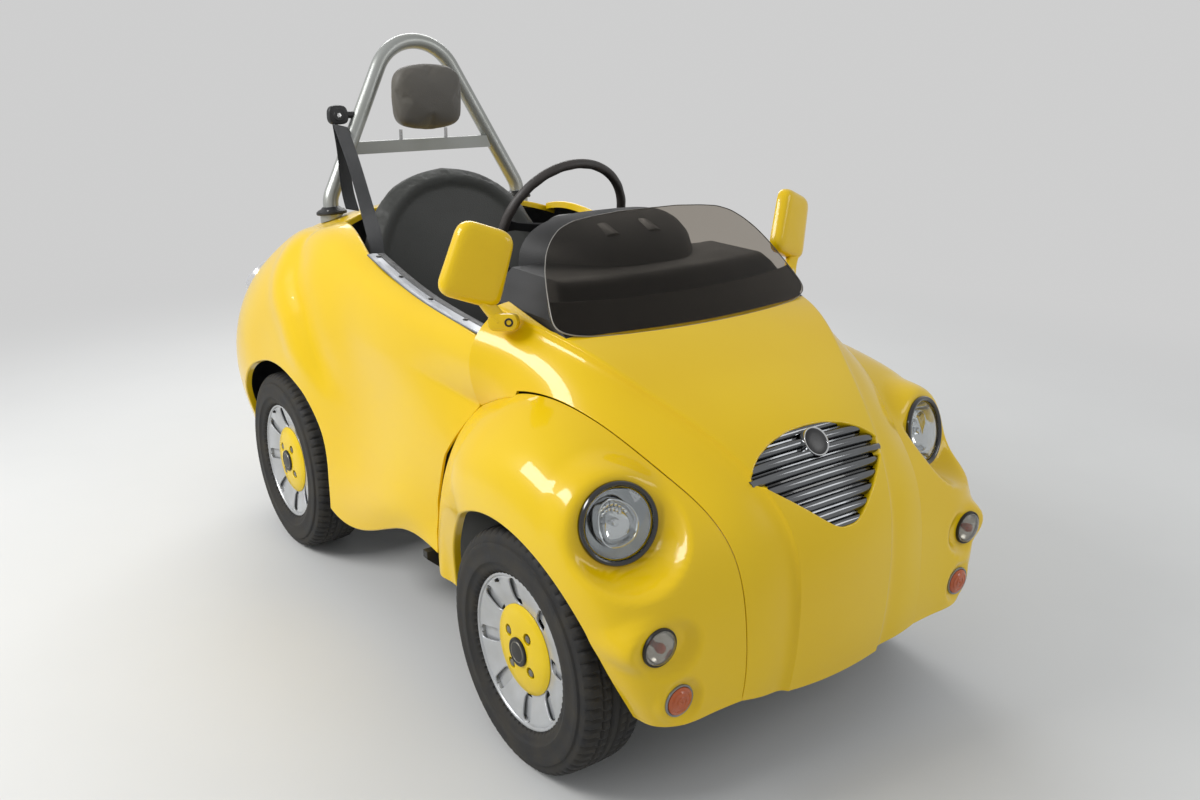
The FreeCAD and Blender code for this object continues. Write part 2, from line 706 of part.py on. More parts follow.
def tie_rod():
    """The bar that joins both steering arms, with a pin up into each arm."""
    y = FRONT_AXLE_Y + ARM_LENGTH
    top = TYRE_RADIUS - ARM_DROP - ARM_THICKNESS / 2.0 - STEER_SIDE_CLEARANCE
    middle = top - TIE_ROD_RADIUS
    bar = rod(TIE_ROD_RADIUS, (-KINGPIN_X, y, middle), (KINGPIN_X, y, middle))
    for x in (-KINGPIN_X, KINGPIN_X):
        bar = bar.fuse(rod(TIE_EYE_RADIUS, (x, y, top - 2.0 * TIE_ROD_RADIUS), (x, y, top)))
        bar = bar.fuse(rod(TIE_PIN_RADIUS, (x, y, top - 1.0), (x, y, top + ARM_THICKNESS)))
    return bar.removeSplitter()


def front_axle():
    """The dropped beam under the rails, with an upper and a lower eye at each kingpin."""
    y = FRONT_AXLE_Y
    z = TYRE_RADIUS
    low = RAIL_BOTTOM - AXLE_BEAM_HEIGHT
    width = AXLE_BEAM_WIDTH / 2.0
    eye_inner = KNUCKLE_HALF_HEIGHT + STEER_SIDE_CLEARANCE
    eye_outer = eye_inner + 20.0
    end = KINGPIN_X - KNUCKLE_BARREL_RADIUS - 10.0
    beam = box(-end, end, y - width, y + width, low, RAIL_BOTTOM)
    for side in (-1.0, 1.0):
        x = KINGPIN_X * side
        post = box(min(side * (end - 26.0), side * end), max(side * (end - 26.0), side * end),
                   y - 14.0, y + 14.0, low, z + eye_outer)
        beam = beam.fuse(post)
        for sense in (-1.0, 1.0):
            z0 = min(z + sense * eye_inner, z + sense * eye_outer)
            inner_x = side * (end - 4.0)
            link = box(min(inner_x, x), max(inner_x, x), y - 14.0, y + 14.0, z0, z0 + 20.0)
            eye = Part.makeCylinder(KNUCKLE_BARREL_RADIUS + 1.0, 20.0, V(x, y, z0))
            beam = beam.fuse(link).fuse(eye)
            bore = Part.makeCylinder(KINGPIN_RADIUS + PIVOT_PLAY, 22.0, V(x, y, z0 - 1.0))
            beam = beam.cut(bore)
    return beam.removeSplitter()


def rear_axle():
    """The straight rear tube with its spindles, spring pads and gear case."""
    y = REAR_AXLE_Y
    z = TYRE_RADIUS
    stub = KINGPIN_X + KNUCKLE_BARREL_RADIUS + 3.0
    tube = rod(REAR_TUBE_RADIUS, (-stub, y, z), (stub, y, z))
    end = spindle(y)
    tube = tube.fuse(end).fuse(mirrored(end))
    for side in (-1.0, 1.0):
        pad = box(RAIL_X * side - 14.0, RAIL_X * side + 14.0, y - 22.0, y + 22.0, RAIL_BOTTOM + RAIL_SIZE, z)
        tube = tube.fuse(pad)
    case = box(MOTOR_FACE_X, MOTOR_FACE_X + 30.0, y - 45.0, y + MOTOR_OFFSET + 70.0, z - 50.0, z + 90.0)
    return tube.fuse(case).removeSplitter()


def drive_motor():
    """The electric motor beside the gear case."""
    y = REAR_AXLE_Y + MOTOR_OFFSET
    z = TYRE_RADIUS + MOTOR_RISE
    return rod(MOTOR_RADIUS, (MOTOR_FACE_X - MOTOR_LENGTH, y, z), (MOTOR_FACE_X, y, z))


def chassis_frame():
    """Two rails, their cross-members, the jacking pads, the sill outriggers and the towing eyes."""
    top = RAIL_BOTTOM + RAIL_SIZE
    half = RAIL_SIZE / 2.0
    frame = box(RAIL_X - half, RAIL_X + half, RAIL_FRONT_Y, RAIL_REAR_Y, RAIL_BOTTOM, top)
    frame = frame.fuse(box(RAIL_X - half, RAIL_X + half, JACK_PAD_Y - JACK_PAD_LENGTH / 2.0,
                           JACK_PAD_Y + JACK_PAD_LENGTH / 2.0, RAIL_BOTTOM - JACK_PAD_DEPTH, RAIL_BOTTOM))
    frame = frame.fuse(mirrored(frame))
    for y in (RAIL_FRONT_Y, FRONT_AXLE_Y + 180.0, -20.0, TUB_REAR_Y + 8.0, RAIL_REAR_Y - half):
        frame = frame.fuse(box(-RAIL_X, RAIL_X, y, y + half, RAIL_BOTTOM, top))
    for row, ahead in ((SIDE_ROWS[0], -138.0), (SIDE_ROWS[2], 0.0)):
        y = side_y(row[0]) - ahead
        sill_x = wide(row[5]) + 2.0
        sill_z = min(SIDE_ROWS[1][6], row[6])
        seat_z = sill_z - 3.0 * GAP - OUTRIGGER_SPARE
        knee_x = TUB_HALF_WIDTH + OUTRIGGER_DEPTH / 2.0
        low = RAIL_BOTTOM + OUTRIGGER_DEPTH
        bent = ((RAIL_X, RAIL_BOTTOM), (knee_x, RAIL_BOTTOM), (sill_x, seat_z - OUTRIGGER_DEPTH), (sill_x, seat_z),
                (sill_x - OUTRIGGER_FOOT, seat_z), (knee_x, low), (RAIL_X, low), (RAIL_X, RAIL_BOTTOM))
        edge = Part.makePolygon([V(x, y, z) for x, z in bent])
        arm = Part.Face(edge).extrude(V(0, OUTRIGGER_WIDTH, 0))
        frame = frame.fuse(arm).fuse(mirrored(arm))
    middle = RAIL_BOTTOM + half
    plate = TOW_EYE_THICKNESS / 2.0
    for y, sense in ((RAIL_FRONT_Y, -1.0), (RAIL_REAR_Y, 1.0)):
        tip = y + sense * TOW_EYE_REACH
        eye = box(-plate, plate, min(y, tip), max(y, tip), middle - 18.0, middle + 18.0)
        eye = eye.fuse(rod(18.0, (-plate, tip, middle), (plate, tip, middle)))
        frame = frame.fuse(eye).cut(rod(TOW_EYE_BORE, (-20.0, tip, middle), (20.0, tip, middle)))
    return frame.removeSplitter()


def cockpit_tub():
    """The one-piece inner tub: footwell, floor, side walls and seat riser."""
    z0 = RAIL_BOTTOM + RAIL_SIZE
    wall = TUB_WALL
    outer = box(-TUB_HALF_WIDTH, TUB_HALF_WIDTH, TUB_FRONT_Y, TUB_REAR_Y, z0, 900.0)
    inner = box(-TUB_HALF_WIDTH + wall, TUB_HALF_WIDTH - wall, TUB_FRONT_Y + wall, TUB_REAR_Y - wall,
                z0 + wall, 950.0)
    foot = box(-FOOTWELL_HALF_WIDTH, FOOTWELL_HALF_WIDTH, FOOTWELL_FRONT_Y, TUB_FRONT_Y + wall,
               z0, FOOTWELL_TOP)
    foot_inner = box(-FOOTWELL_HALF_WIDTH + wall, FOOTWELL_HALF_WIDTH - wall, FOOTWELL_FRONT_Y + wall,
                     TUB_FRONT_Y + wall + 1.0, z0 + wall, FOOTWELL_TOP - wall)
    riser = box(-SEAT_RISER_HALF_WIDTH, SEAT_RISER_HALF_WIDTH, SEAT_RISER_FRONT_Y, TUB_REAR_Y - 1.0,
                z0 + 1.0, SEAT_RISER_TOP)
    hollow = box(-SEAT_RISER_HALF_WIDTH + wall, SEAT_RISER_HALF_WIDTH - wall, SEAT_RISER_FRONT_Y + wall,
                 TUB_REAR_Y - wall - 1.0, z0 - 1.0, SEAT_RISER_TOP - wall)
    tub = outer.cut(inner).fuse(foot).cut(foot_inner).fuse(riser).cut(hollow)
    rows = SIDE_ROWS
    front_y = side_y(rows[0][0]) - 20.0
    above = [(front_y, rows[0][2] - TUB_DROP), (side_y(rows[1][0]), rows[1][2] - TUB_DROP),
             (TRIM_REAR_Y - 80.0, rows[1][2] + 14.0), (TRIM_REAR_Y, TUB_REAR_TOP),
             (TUB_REAR_Y - 14.0, TUB_REAR_TOP),
             (TUB_REAR_Y - 14.0, SEAT_RISER_TOP), (TUB_REAR_Y + 20.0, SEAT_RISER_TOP),
             (TUB_REAR_Y + 20.0, 1000.0), (front_y, 1000.0)]
    tub = tub.cut(side_prism(above, -TUB_HALF_WIDTH - 10.0, TUB_HALF_WIDTH + 10.0))
    lowered = [(y, z - GAP) for y, z in DASH_OUTLINE]
    side = DASH_HALF_WIDTH + GAP
    tub = tub.cut(side_prism(lowered, -side, side))
    dash_low = lowered[6][1] + 20.0
    tub = tub.cut(box(-side, side, TUB_FRONT_Y - 10.0, TUB_FRONT_Y + wall + 6.0, dash_low, 1000.0))
    return tub.removeSplitter()


def sill_trim():
    """The left metal strip along the cockpit edge."""
    wires = []
    for row in SIDE_ROWS:
        y = side_y(row[0])
        x = wide(row[1])
        z0 = row[2] + 2.0 * GAP
        corners = [V(x - TRIM_WIDTH, y, z0), V(x + 2.0, y, z0), V(x + 2.0, y, z0 + TRIM_THICKNESS),
                   V(x - TRIM_WIDTH, y, z0 + TRIM_THICKNESS)]
        wires.append(Part.makePolygon(corners + corners[:1]))
    strip = Part.makeLoft(wires, True, False)
    return strip.common(box(0.0, HALF_WIDTH, -700.0, TRIM_REAR_Y, 500.0, 1200.0))


def seat_cushion():
    """The seat's base pad, closed and plain."""
    z0 = SEAT_RISER_TOP + GAP
    pad = box(-CUSHION_HALF_WIDTH, CUSHION_HALF_WIDTH, SEAT_RISER_FRONT_Y - 20.0, BACKREST_FOOT_Y - 22.0,
              z0, z0 + CUSHION_THICKNESS)
    return pad.makeFillet(28.0, [e for e in pad.Edges if e.BoundBox.ZMin > z0 + 1.0])


def seat_back():
    """The wide rounded backrest, leaning back to the roll bar."""
    half = BACKREST_HALF_WIDTH
    radius = BACKREST_CROWN_RADIUS
    top = BACKREST_HEIGHT
    shoulder = top - radius
    foot_half = CUSHION_HALF_WIDTH + 6.0
    hip = [V(-foot_half, 0, 0), V(foot_half, 0, 0), V(half, 0, shoulder)]
    edges = [Part.makeLine(hip[0], hip[1]), Part.makeLine(hip[1], hip[2]),
             Part.Arc(hip[2], V(0, 0, top), V(-half, 0, shoulder)).toShape(),
             Part.makeLine(V(-half, 0, shoulder), hip[0])]
    pad = Part.Face(Part.Wire(edges)).extrude(V(0, BACKREST_THICKNESS, 0))
    pad = pad.makeFillet(18.0, pad.Edges)
    pad.rotate(V(0, 0, 0), V(1, 0, 0), -BACKREST_RAKE)
    pad.translate(V(0, BACKREST_FOOT_Y, SEAT_RISER_TOP + GAP - pad.optimalBoundingBox().ZMin))
    return pad


def bar_y(z):
    """Where the leaning roll bar's plane lies at a height."""
    return BAR_LEAN_REF[0] + (z - BAR_LEAN_REF[1]) * BAR_LEAN


def bar_leg_x(z):
    """Half the distance between the roll bar's legs at a height."""
    slope, tangent = bar_leg_angle()
    return tangent[0] + (tangent[1] - z) * math.tan(slope)


def bar_leg_angle():
    """The legs' lean inwards, and the point where a leg meets the crown arc."""
    crown = BAR_APEX_Z - BAR_CROWN_RADIUS
    reach = math.hypot(BAR_FOOT[0], crown - BAR_BEND_Z)
    slope = math.atan2(BAR_FOOT[0], crown - BAR_BEND_Z) - math.asin(BAR_CROWN_RADIUS / reach)
    tangent = (BAR_CROWN_RADIUS * math.cos(slope), crown + BAR_CROWN_RADIUS * math.sin(slope))
    return slope, tangent


def anchor_x():
    """Where the belt's guide hangs, outside the right leg of the roll bar."""
    return -(bar_leg_x(ANCHOR_Z) + ANCHOR_REACH)


def roll_bar():
    """The tube hoop with its crossbar and foot plates."""
    slope, tangent = bar_leg_angle()
    setback = BAR_BEND_RADIUS * math.tan(slope / 2.0)

    def at(x, z):
        return V(x, bar_y(z), z)

    def half(side):
        foot = at(BAR_FOOT[0] * side, BAR_FOOT[1])
        low = at(BAR_FOOT[0] * side, BAR_BEND_Z - setback)
        bend_x = BAR_FOOT[0] - BAR_BEND_RADIUS * (1.0 - math.cos(slope / 2.0))
        bend_z = BAR_BEND_Z - setback + BAR_BEND_RADIUS * math.sin(slope / 2.0)
        high_x = BAR_FOOT[0] - BAR_BEND_RADIUS * (1.0 - math.cos(slope))
        high_z = BAR_BEND_Z - setback + BAR_BEND_RADIUS * math.sin(slope)
        high = at(high_x * side, high_z)
        top = at(tangent[0] * side, tangent[1])
        return [Part.makeLine(foot, low), Part.Arc(low, at(bend_x * side, bend_z), high).toShape(),
                Part.makeLine(high, top)], top

    left, left_top = half(1.0)
    right, right_top = half(-1.0)
    crown = Part.Arc(left_top, at(0.0, BAR_APEX_Z), right_top).toShape()
    path = Part.Wire(left + [crown] + [e for e in reversed(right)])
    start = at(BAR_FOOT[0], BAR_FOOT[1])
    along = V(0, BAR_LEAN, 1.0)
    ring = Part.Wire(Part.makeCircle(BAR_RADIUS, start, along))
    tube = path.makePipeShell([ring], True, False)
    cross_x = bar_leg_x(CROSSBAR_Z)
    y = bar_y(CROSSBAR_Z)
    cross = box(-cross_x, cross_x, y - CROSSBAR_DEPTH / 2.0, y + CROSSBAR_DEPTH / 2.0,
                CROSSBAR_Z - CROSSBAR_HEIGHT / 2.0, CROSSBAR_Z + CROSSBAR_HEIGHT / 2.0)
    tube = tube.fuse(cross)
    core = deck_core(GAP)
    for side in (-1.0, 1.0):
        x = BAR_FOOT[0] * side
        y = bar_y(BAR_FOOT[1])
        low = BAR_FOOT[1] - FOOT_PLATE_DEPTH + 6.0
        tube = tube.fuse(Part.makeCylinder(FOOT_PLATE_RADIUS, FOOT_PLATE_DEPTH, V(x, y, low)))
    return tube.cut(core).removeSplitter()


def headrest():
    """The padded headrest as one closed pad."""
    x, y, z = HEADREST_CENTRE
    pad = box(x - HEADREST_WIDTH / 2.0, x + HEADREST_WIDTH / 2.0, y - HEADREST_THICKNESS / 2.0,
              y + HEADREST_THICKNESS / 2.0, z - HEADREST_HEIGHT / 2.0, z + HEADREST_HEIGHT / 2.0)
    upright = [e for e in pad.Edges if e.BoundBox.YLength > HEADREST_THICKNESS - 1.0]
    pad = pad.makeFillet(HEADREST_CORNER, upright)
    return pad.makeFillet(HEADREST_EDGE, pad.Edges)


def headrest_posts():
    """Two steel posts from the crossbar up to the headrest."""
    y = bar_y(CROSSBAR_Z) - POST_SETBACK
    low = CROSSBAR_Z + CROSSBAR_HEIGHT / 2.0 + GAP
    high = HEADREST_CENTRE[2] - HEADREST_HEIGHT / 2.0 - GAP
    posts = [rod(POST_RADIUS, (x, y, low), (x, y, high)) for x in (-POST_X, POST_X)]
    return Part.makeCompound(posts)


def belt_hardware():
    """The belt's upper guide on its arm, and the buckle stalk by the seat."""
    y = bar_y(ANCHOR_Z)
    leg = -bar_leg_x(ANCHOR_Z)
    slope = bar_leg_angle()[0]
    arm_radius = 9.0
    outside = leg - BAR_RADIUS / math.cos(slope) - arm_radius * math.tan(slope) - GAP
    arm = rod(arm_radius, (outside, y, ANCHOR_Z), (anchor_x(), y, ANCHOR_Z))
    guide = rod(ANCHOR_RADIUS, (anchor_x(), y - 11.0, ANCHOR_Z), (anchor_x(), y + 11.0, ANCHOR_Z))
    stalk = box(CUSHION_HALF_WIDTH + 12.0, CUSHION_HALF_WIDTH + 30.0, 150.0, 180.0,
                RAIL_BOTTOM + RAIL_SIZE + TUB_WALL + GAP, 520.0)
    return Part.makeCompound([arm.fuse(guide).removeSplitter(), stalk])


def strap(points, width, thickness):
    """A flat belt through a run of points, its width along X."""
    pieces = None
    for a, b in zip(points, points[1:]):
        run = V(*b) - V(*a)
        normal = run.cross(V(1, 0, 0)).normalize() * thickness
        corners = [V(*a) - V(width / 2.0, 0, 0), V(*a) + V(width / 2.0, 0, 0),
                   V(*b) + V(width / 2.0, 0, 0), V(*b) - V(width / 2.0, 0, 0)]
        piece = Part.Face(Part.makePolygon(corners + corners[:1])).extrude(normal)
        pieces = piece if pieces is None else pieces.fuse(piece)
    return pieces


def seat_belt():
    """The two webbing runs that hang from the guide."""
    y = bar_y(ANCHOR_Z)
    low = ANCHOR_Z - ANCHOR_RADIUS - 2.0 * GAP
    top = (anchor_x(), y - 2.0, low)
    rear = strap((top, BELT_REAR_FOOT), BELT_WIDTH, BELT_THICKNESS)
    top_front = (anchor_x(), y - 8.0, low - BELT_THICKNESS)
    front = strap((top_front, BELT_FRONT_FOOT), BELT_WIDTH, BELT_THICKNESS)
    return Part.makeCompound([rear, front])


def dashboard():
    """The dark scuttle top and fascia as a hollow moulding."""
    shell = side_prism(DASH_OUTLINE, -DASH_HALF_WIDTH, DASH_HALF_WIDTH)
    hollow = side_prism(DASH_HOLLOW, -DASH_HALF_WIDTH + DASH_WALL, DASH_HALF_WIDTH - DASH_WALL)
    return shell.cut(hollow)


def binnacle_solid(radius, front_y, rear_y):
    """A round bar along the car, the outer or inner shape of the binnacle."""
    return Part.makeCylinder(radius, rear_y - front_y, V(0, front_y, BINNACLE_AXIS_Z), V(0, 1, 0))


def instrument_hood():
    """The rounded instrument binnacle over the column."""
    dome = binnacle_solid(BINNACLE_RADIUS, BINNACLE_FRONT_Y, BINNACLE_REAR_Y)
    inner = BINNACLE_RADIUS - BINNACLE_WALL
    dome = dome.cut(binnacle_solid(inner, BINNACLE_FRONT_Y + 35.0, BINNACLE_REAR_Y + 1.0))
    lid = [(y, z + GAP) for y, z in DASH_OUTLINE[1:4]]
    below = lid + [(BINNACLE_REAR_Y + 10.0, lid[-1][1]), (BINNACLE_REAR_Y + 10.0, 500.0), (lid[0][0], 500.0)]
    return dome.cut(side_prism(below, -BINNACLE_RADIUS - 5.0, BINNACLE_RADIUS + 5.0))


def wheel_axis():
    """The steering column's direction, towards the driver."""
    tilt = math.radians(WHEEL_TILT)
    return V(0.0, math.cos(tilt), math.sin(tilt))


def steering_wheel():
    """Rim, three spokes, boss and the shaft that runs in the column."""
    centre = V(*WHEEL_CENTRE)
    axis = wheel_axis()
    up = V(1, 0, 0).cross(axis)
    wheel = Part.makeTorus(WHEEL_RIM_RADIUS, WHEEL_TUBE_RADIUS, centre, axis)
    boss_base = centre - axis * 24.0
    wheel = wheel.fuse(Part.makeCylinder(WHEEL_BOSS_RADIUS, 30.0, boss_base, axis))
    for x, u in ((0.0, -1.0), (-1.0, 0.12), (1.0, 0.12)):
        toward = (V(1, 0, 0) * x + up * u).normalize()
        start = centre - axis * 10.0
        wheel = wheel.fuse(Part.makeCylinder(7.0, WHEEL_RIM_RADIUS, start, toward + axis * 0.05))
    shaft = Part.makeCylinder(SHAFT_RADIUS, 60.0, boss_base - axis * 59.0, axis)
    return wheel.fuse(shaft).removeSplitter()


def steering_column():
    """The column tube from the fascia up to the wheel's boss."""
    axis = wheel_axis()
    top = V(*WHEEL_CENTRE) - axis * (24.0 + COLUMN_GAP)
    tube = Part.makeCylinder(COLUMN_RADIUS, COLUMN_LENGTH, top - axis * COLUMN_LENGTH, axis)
    bore = Part.makeCylinder(SHAFT_RADIUS + PIVOT_PLAY, 64.0, top - axis * 62.0, axis)
    lid = [(y + GAP, z + GAP) for y, z in DASH_OUTLINE[1:5]]
    fascia = side_prism(lid + [(lid[-1][0], 500.0), (lid[0][0], 500.0)], -DASH_HALF_WIDTH, DASH_HALF_WIDTH)
    return tube.cut(bore).cut(fascia)


def windscreen():
    """The small curved screen, with an arched outline."""
    wires = []
    for z, half, side_y, mid_y in SCREEN_ROWS:
        run = [(-half, side_y), (0.0, mid_y), (half, side_y)]
        radial = band(run, -SCREEN_THICKNESS, lambda x, y, z=z: V(x, y, z))
        wires.append(radial)
    sheet = Part.makeLoft(wires, True, True)
    rise = SCREEN_TOP_Z - SCREEN_BASE_Z
    side = [V(SCREEN_HALF_WIDTH * u, -800.0, SCREEN_BASE_Z + rise * w) for u, w in SCREEN_ARCH]
    arch = side + [V(-p.x, p.y, p.z) for p in side[-2::-1]]
    curve = Part.BSplineCurve()
    curve.interpolate(arch)
    foot = [arch[-1], V(-SCREEN_HALF_WIDTH, -800.0, 800.0), V(SCREEN_HALF_WIDTH, -800.0, 800.0), arch[0]]
    outline = Part.Wire([curve.toShape()] + Part.makePolygon(foot).Edges)
    return sheet.common(Part.Face(outline).extrude(V(0, 700.0, 0))).cut(cowl_core(GAP))


def mirror(roll):
    """One door mirror, on the left: head, stem and the pad on the cowl."""
    x, y, z = MIRROR_CENTRE
    x = wide(x)
    base = (wide(MIRROR_BASE[0]), MIRROR_BASE[1], MIRROR_BASE[2])
    head = box(-MIRROR_WIDTH / 2.0, MIRROR_WIDTH / 2.0, -MIRROR_DEPTH / 2.0, MIRROR_DEPTH / 2.0,
               -MIRROR_HEIGHT / 2.0, MIRROR_HEIGHT / 2.0)
    upright = [e for e in head.Edges if e.BoundBox.YLength > MIRROR_DEPTH - 1.0]
    head = head.makeFillet(MIRROR_CORNER, upright)
    hand = -1.0 if roll > 0.0 else 1.0
    low = Part.Vertex(V(hand * (MIRROR_WIDTH / 2.0 - MIRROR_CORNER), 0, MIRROR_CORNER - MIRROR_HEIGHT / 2.0))
    for shape in (head, low):
        shape.rotate(V(0, 0, 0), V(0, 1, 0), -roll)
        shape.rotate(V(0, 0, 0), V(1, 0, 0), -MIRROR_LEAN)
        shape.rotate(V(0, 0, 0), V(0, 0, 1), MIRROR_TOE)
        shape.translate(V(x, y, z))
    stem = rod(MIRROR_STEM_RADIUS, base, (low.Point.x, low.Point.y, low.Point.z))
    pad = rod(MIRROR_PAD_RADIUS, (base[0] - MIRROR_PAD_INNER, base[1], base[2]),
              (base[0] + MIRROR_PAD_OUTER, base[1], base[2]))
    return head.fuse(stem).fuse(pad).cut(cowl_core(GAP)).removeSplitter()


def grille():
    """The grille insert in its opening."""
    return grille_prism(1.0, GRILLE_DEPTH)


def both_sides(make):
    """One node that holds the same piece on the left and on the right."""
    left = make()
    return Part.makeCompound([left, mirrored(left)])


def headlight_unit():
    """The left headlight's bowl."""
    return drum(HEADLAMP_CENTRE, HEADLAMP_AIM, 1.0, HEADLAMP_RADIUS, HEADLAMP_DEPTH - 8.0, 0.0)


def headlight_lens():
    """The left headlight's domed glass."""
    direction = lamp_direction(HEADLAMP_AIM, 1.0)
    middle = V(wide(HEADLAMP_CENTRE[0]), HEADLAMP_CENTRE[1], HEADLAMP_CENTRE[2])
    radius = (HEADLAMP_LENS_RADIUS ** 2 + HEADLAMP_DOME ** 2) / (2.0 * HEADLAMP_DOME)
    ball = Part.makeSphere(radius, middle + direction * (HEADLAMP_DOME - radius))
    return ball.common(drum(HEADLAMP_CENTRE, HEADLAMP_AIM, 1.0, HEADLAMP_LENS_RADIUS, -GAP, 60.0))


def turn_signal():
    """The left clear turn signal."""
    return drum(SIGNAL_CENTRE, (0.0, -1.0, 0.0), 1.0, SIGNAL_RADIUS, 20.0, 14.0)


def front_marker():
    """The left amber marker."""
    return drum(MARKER_CENTRE, (0.0, -1.0, 0.0), 1.0, MARKER_RADIUS, 20.0, 12.0)


def tail_lamp():
    """The left tail lamp in the rear quarter."""
    return drum(TAIL_LAMP_CENTRE, TAIL_LAMP_AIM, 1.0, TAIL_LAMP_RADIUS, 40.0, 22.0)


def battery_pack():
    """The battery box on the rear of the rails."""
    z0 = RAIL_BOTTOM + RAIL_SIZE
    return box(-BATTERY_HALF_WIDTH, BATTERY_HALF_WIDTH, RAIL_REAR_Y - BATTERY_LENGTH, RAIL_REAR_Y,
               z0, z0 + BATTERY_HEIGHT)


def plate_bracket():
    """The number-plate bracket below the tail, with its two screw holes."""
    y = RAIL_REAR_Y + TOW_EYE_REACH + PLATE_SETBACK
    z = RAIL_BOTTOM + RAIL_SIZE - PLATE_BRACKET_LAP
    half = PLATE_HOLE_SPACING / 2.0 + 20.0
    plate = box(-half, half, y, y + 4.0, z, z + 60.0)
    for side in (-1.0, 1.0):
        x = side * PLATE_HOLE_SPACING / 2.0
        plate = plate.cut(rod(PLATE_HOLE_RADIUS, (x, y - 10.0, z + 40.0), (x, y + 10.0, z + 40.0)))
        plate = plate.fuse(box(x - 12.0, x + 12.0, RAIL_REAR_Y + GAP, y, z, z + 6.0))
    return plate.removeSplitter()


def pedals():
    """The accelerator and brake pedals on the footwell floor."""
    floor = RAIL_BOTTOM + RAIL_SIZE + TUB_WALL
    pieces = []
    for x, width in ((-70.0, 46.0), (30.0, 74.0)):
        lever = side_prism(((PEDAL_Y - 14.0, floor), (PEDAL_Y + 14.0, floor), (PEDAL_Y - 20.0, floor + 150.0),
                            (PEDAL_Y - 32.0, floor + 150.0)), x - 7.0, x + 7.0)
        pad = side_prism(((PEDAL_Y - 24.0, floor + 90.0), (PEDAL_Y + 2.0, floor + 90.0),
                          (PEDAL_Y - 22.0, floor + 165.0), (PEDAL_Y - 34.0, floor + 165.0)),
                         x - width / 2.0, x + width / 2.0)
        pieces.append(lever.fuse(pad).removeSplitter())
    return Part.makeCompound(pieces)


def build_body():
    """Writes the painted panels."""
    save("front_cowl", front_cowl())
    fender = front_fender()
    save("front_fender_left", fender)
    save("front_fender_right", mirrored(fender))
    side = side_panel()
    save("side_panel_left", side)
    save("side_panel_right", mirrored(side))
    save("rear_deck", rear_deck())


def build_chassis():
    """Writes the frame, the axles and what they carry."""
    save("chassis_frame", chassis_frame())
    save("front_axle", front_axle())
    save("rear_axle", rear_axle())
    save("drive_motor", drive_motor())
    save("battery_pack", battery_pack())
    save("plate_bracket", plate_bracket())
    save("knuckle_left", knuckle(TIE_PIN_RADIUS + PIVOT_PLAY))
    save("knuckle_right", mirrored(knuckle(TIE_PIN_RADIUS + OPEN_PIVOT_PLAY)))
    save("tie_rod", tie_rod())
    for end, axle_y in (("front", FRONT_AXLE_Y), ("rear", REAR_AXLE_Y)):
        rubber = tyre(axle_y)
        wheel = rim(axle_y)
        save("tyre_" + end + "_left", rubber)
        save("tyre_" + end + "_right", mirrored(rubber))
        save("rim_" + end + "_left", wheel)
        save("rim_" + end + "_right", mirrored(wheel))


def build_cockpit():
    """Writes the tub, the seat, the controls and the roll bar."""
    save("cockpit_tub", cockpit_tub())
    save("sill_trims", both_sides(sill_trim))
    save("seat_cushion", seat_cushion())
    save("seat_back", seat_back())
    save("roll_bar", roll_bar())
    save("headrest", headrest())
    save("headrest_posts", headrest_posts())
    save("belt_hardware", belt_hardware())
    save("seat_belt", seat_belt())
    save("dashboard", dashboard())
    save("instrument_hood", instrument_hood())
    save("steering_column", steering_column())
    save("steering_wheel", steering_wheel())
    save("pedals", pedals())


def build_fittings():
    """Writes the screen, mirrors, grille and lamps."""
    save("windscreen", windscreen())
    save("mirror_left", mirror(MIRROR_LEFT_ROLL))
    save("mirror_right", mirrored(mirror(MIRROR_RIGHT_ROLL)))
    save("grille", grille())
    save("headlight_units", both_sides(headlight_unit))
    save("headlight_lenses", both_sides(headlight_lens))
    save("turn_signals", both_sides(turn_signal))
    save("front_markers", both_sides(front_marker))
    save("tail_lamps", both_sides(tail_lamp))


def main():
    """Builds every piece of the car."""
    os.makedirs("parts", exist_ok=True)
    build_body()
    build_chassis()
    build_cockpit()
    build_fittings()


main()
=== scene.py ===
"""The looks of a small open single-seat car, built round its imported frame."""

import logging
import math
from dataclasses import dataclass, field
from enum import Enum
from typing import Callable, Sequence

import bpy
import numpy as np
from mathutils import Matrix, Vector


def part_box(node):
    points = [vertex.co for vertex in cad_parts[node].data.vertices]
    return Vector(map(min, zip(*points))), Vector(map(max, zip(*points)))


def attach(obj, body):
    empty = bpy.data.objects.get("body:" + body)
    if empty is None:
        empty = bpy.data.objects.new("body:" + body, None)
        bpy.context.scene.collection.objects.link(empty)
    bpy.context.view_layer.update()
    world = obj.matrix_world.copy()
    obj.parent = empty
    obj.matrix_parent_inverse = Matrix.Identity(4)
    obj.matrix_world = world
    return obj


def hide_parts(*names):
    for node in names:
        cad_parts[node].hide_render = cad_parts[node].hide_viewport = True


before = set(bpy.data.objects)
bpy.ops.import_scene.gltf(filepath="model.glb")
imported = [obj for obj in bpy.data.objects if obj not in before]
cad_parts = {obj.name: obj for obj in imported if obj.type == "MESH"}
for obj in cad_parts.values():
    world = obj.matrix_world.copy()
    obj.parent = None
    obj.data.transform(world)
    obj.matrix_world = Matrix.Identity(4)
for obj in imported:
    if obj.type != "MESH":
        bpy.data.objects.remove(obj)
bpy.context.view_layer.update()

LOG = logging.getLogger("car")
Array = np.ndarray
Point = tuple[float, float, float]

TYRE_RADIUS = 0.254
FRONT_AXLE_Y = -0.67
REAR_AXLE_Y = 0.58
WHEEL_X = 0.443
HANDS = ((False, "left"), (True, "right"))
FLIP = np.array([-1.0, 1.0])


# Finishes


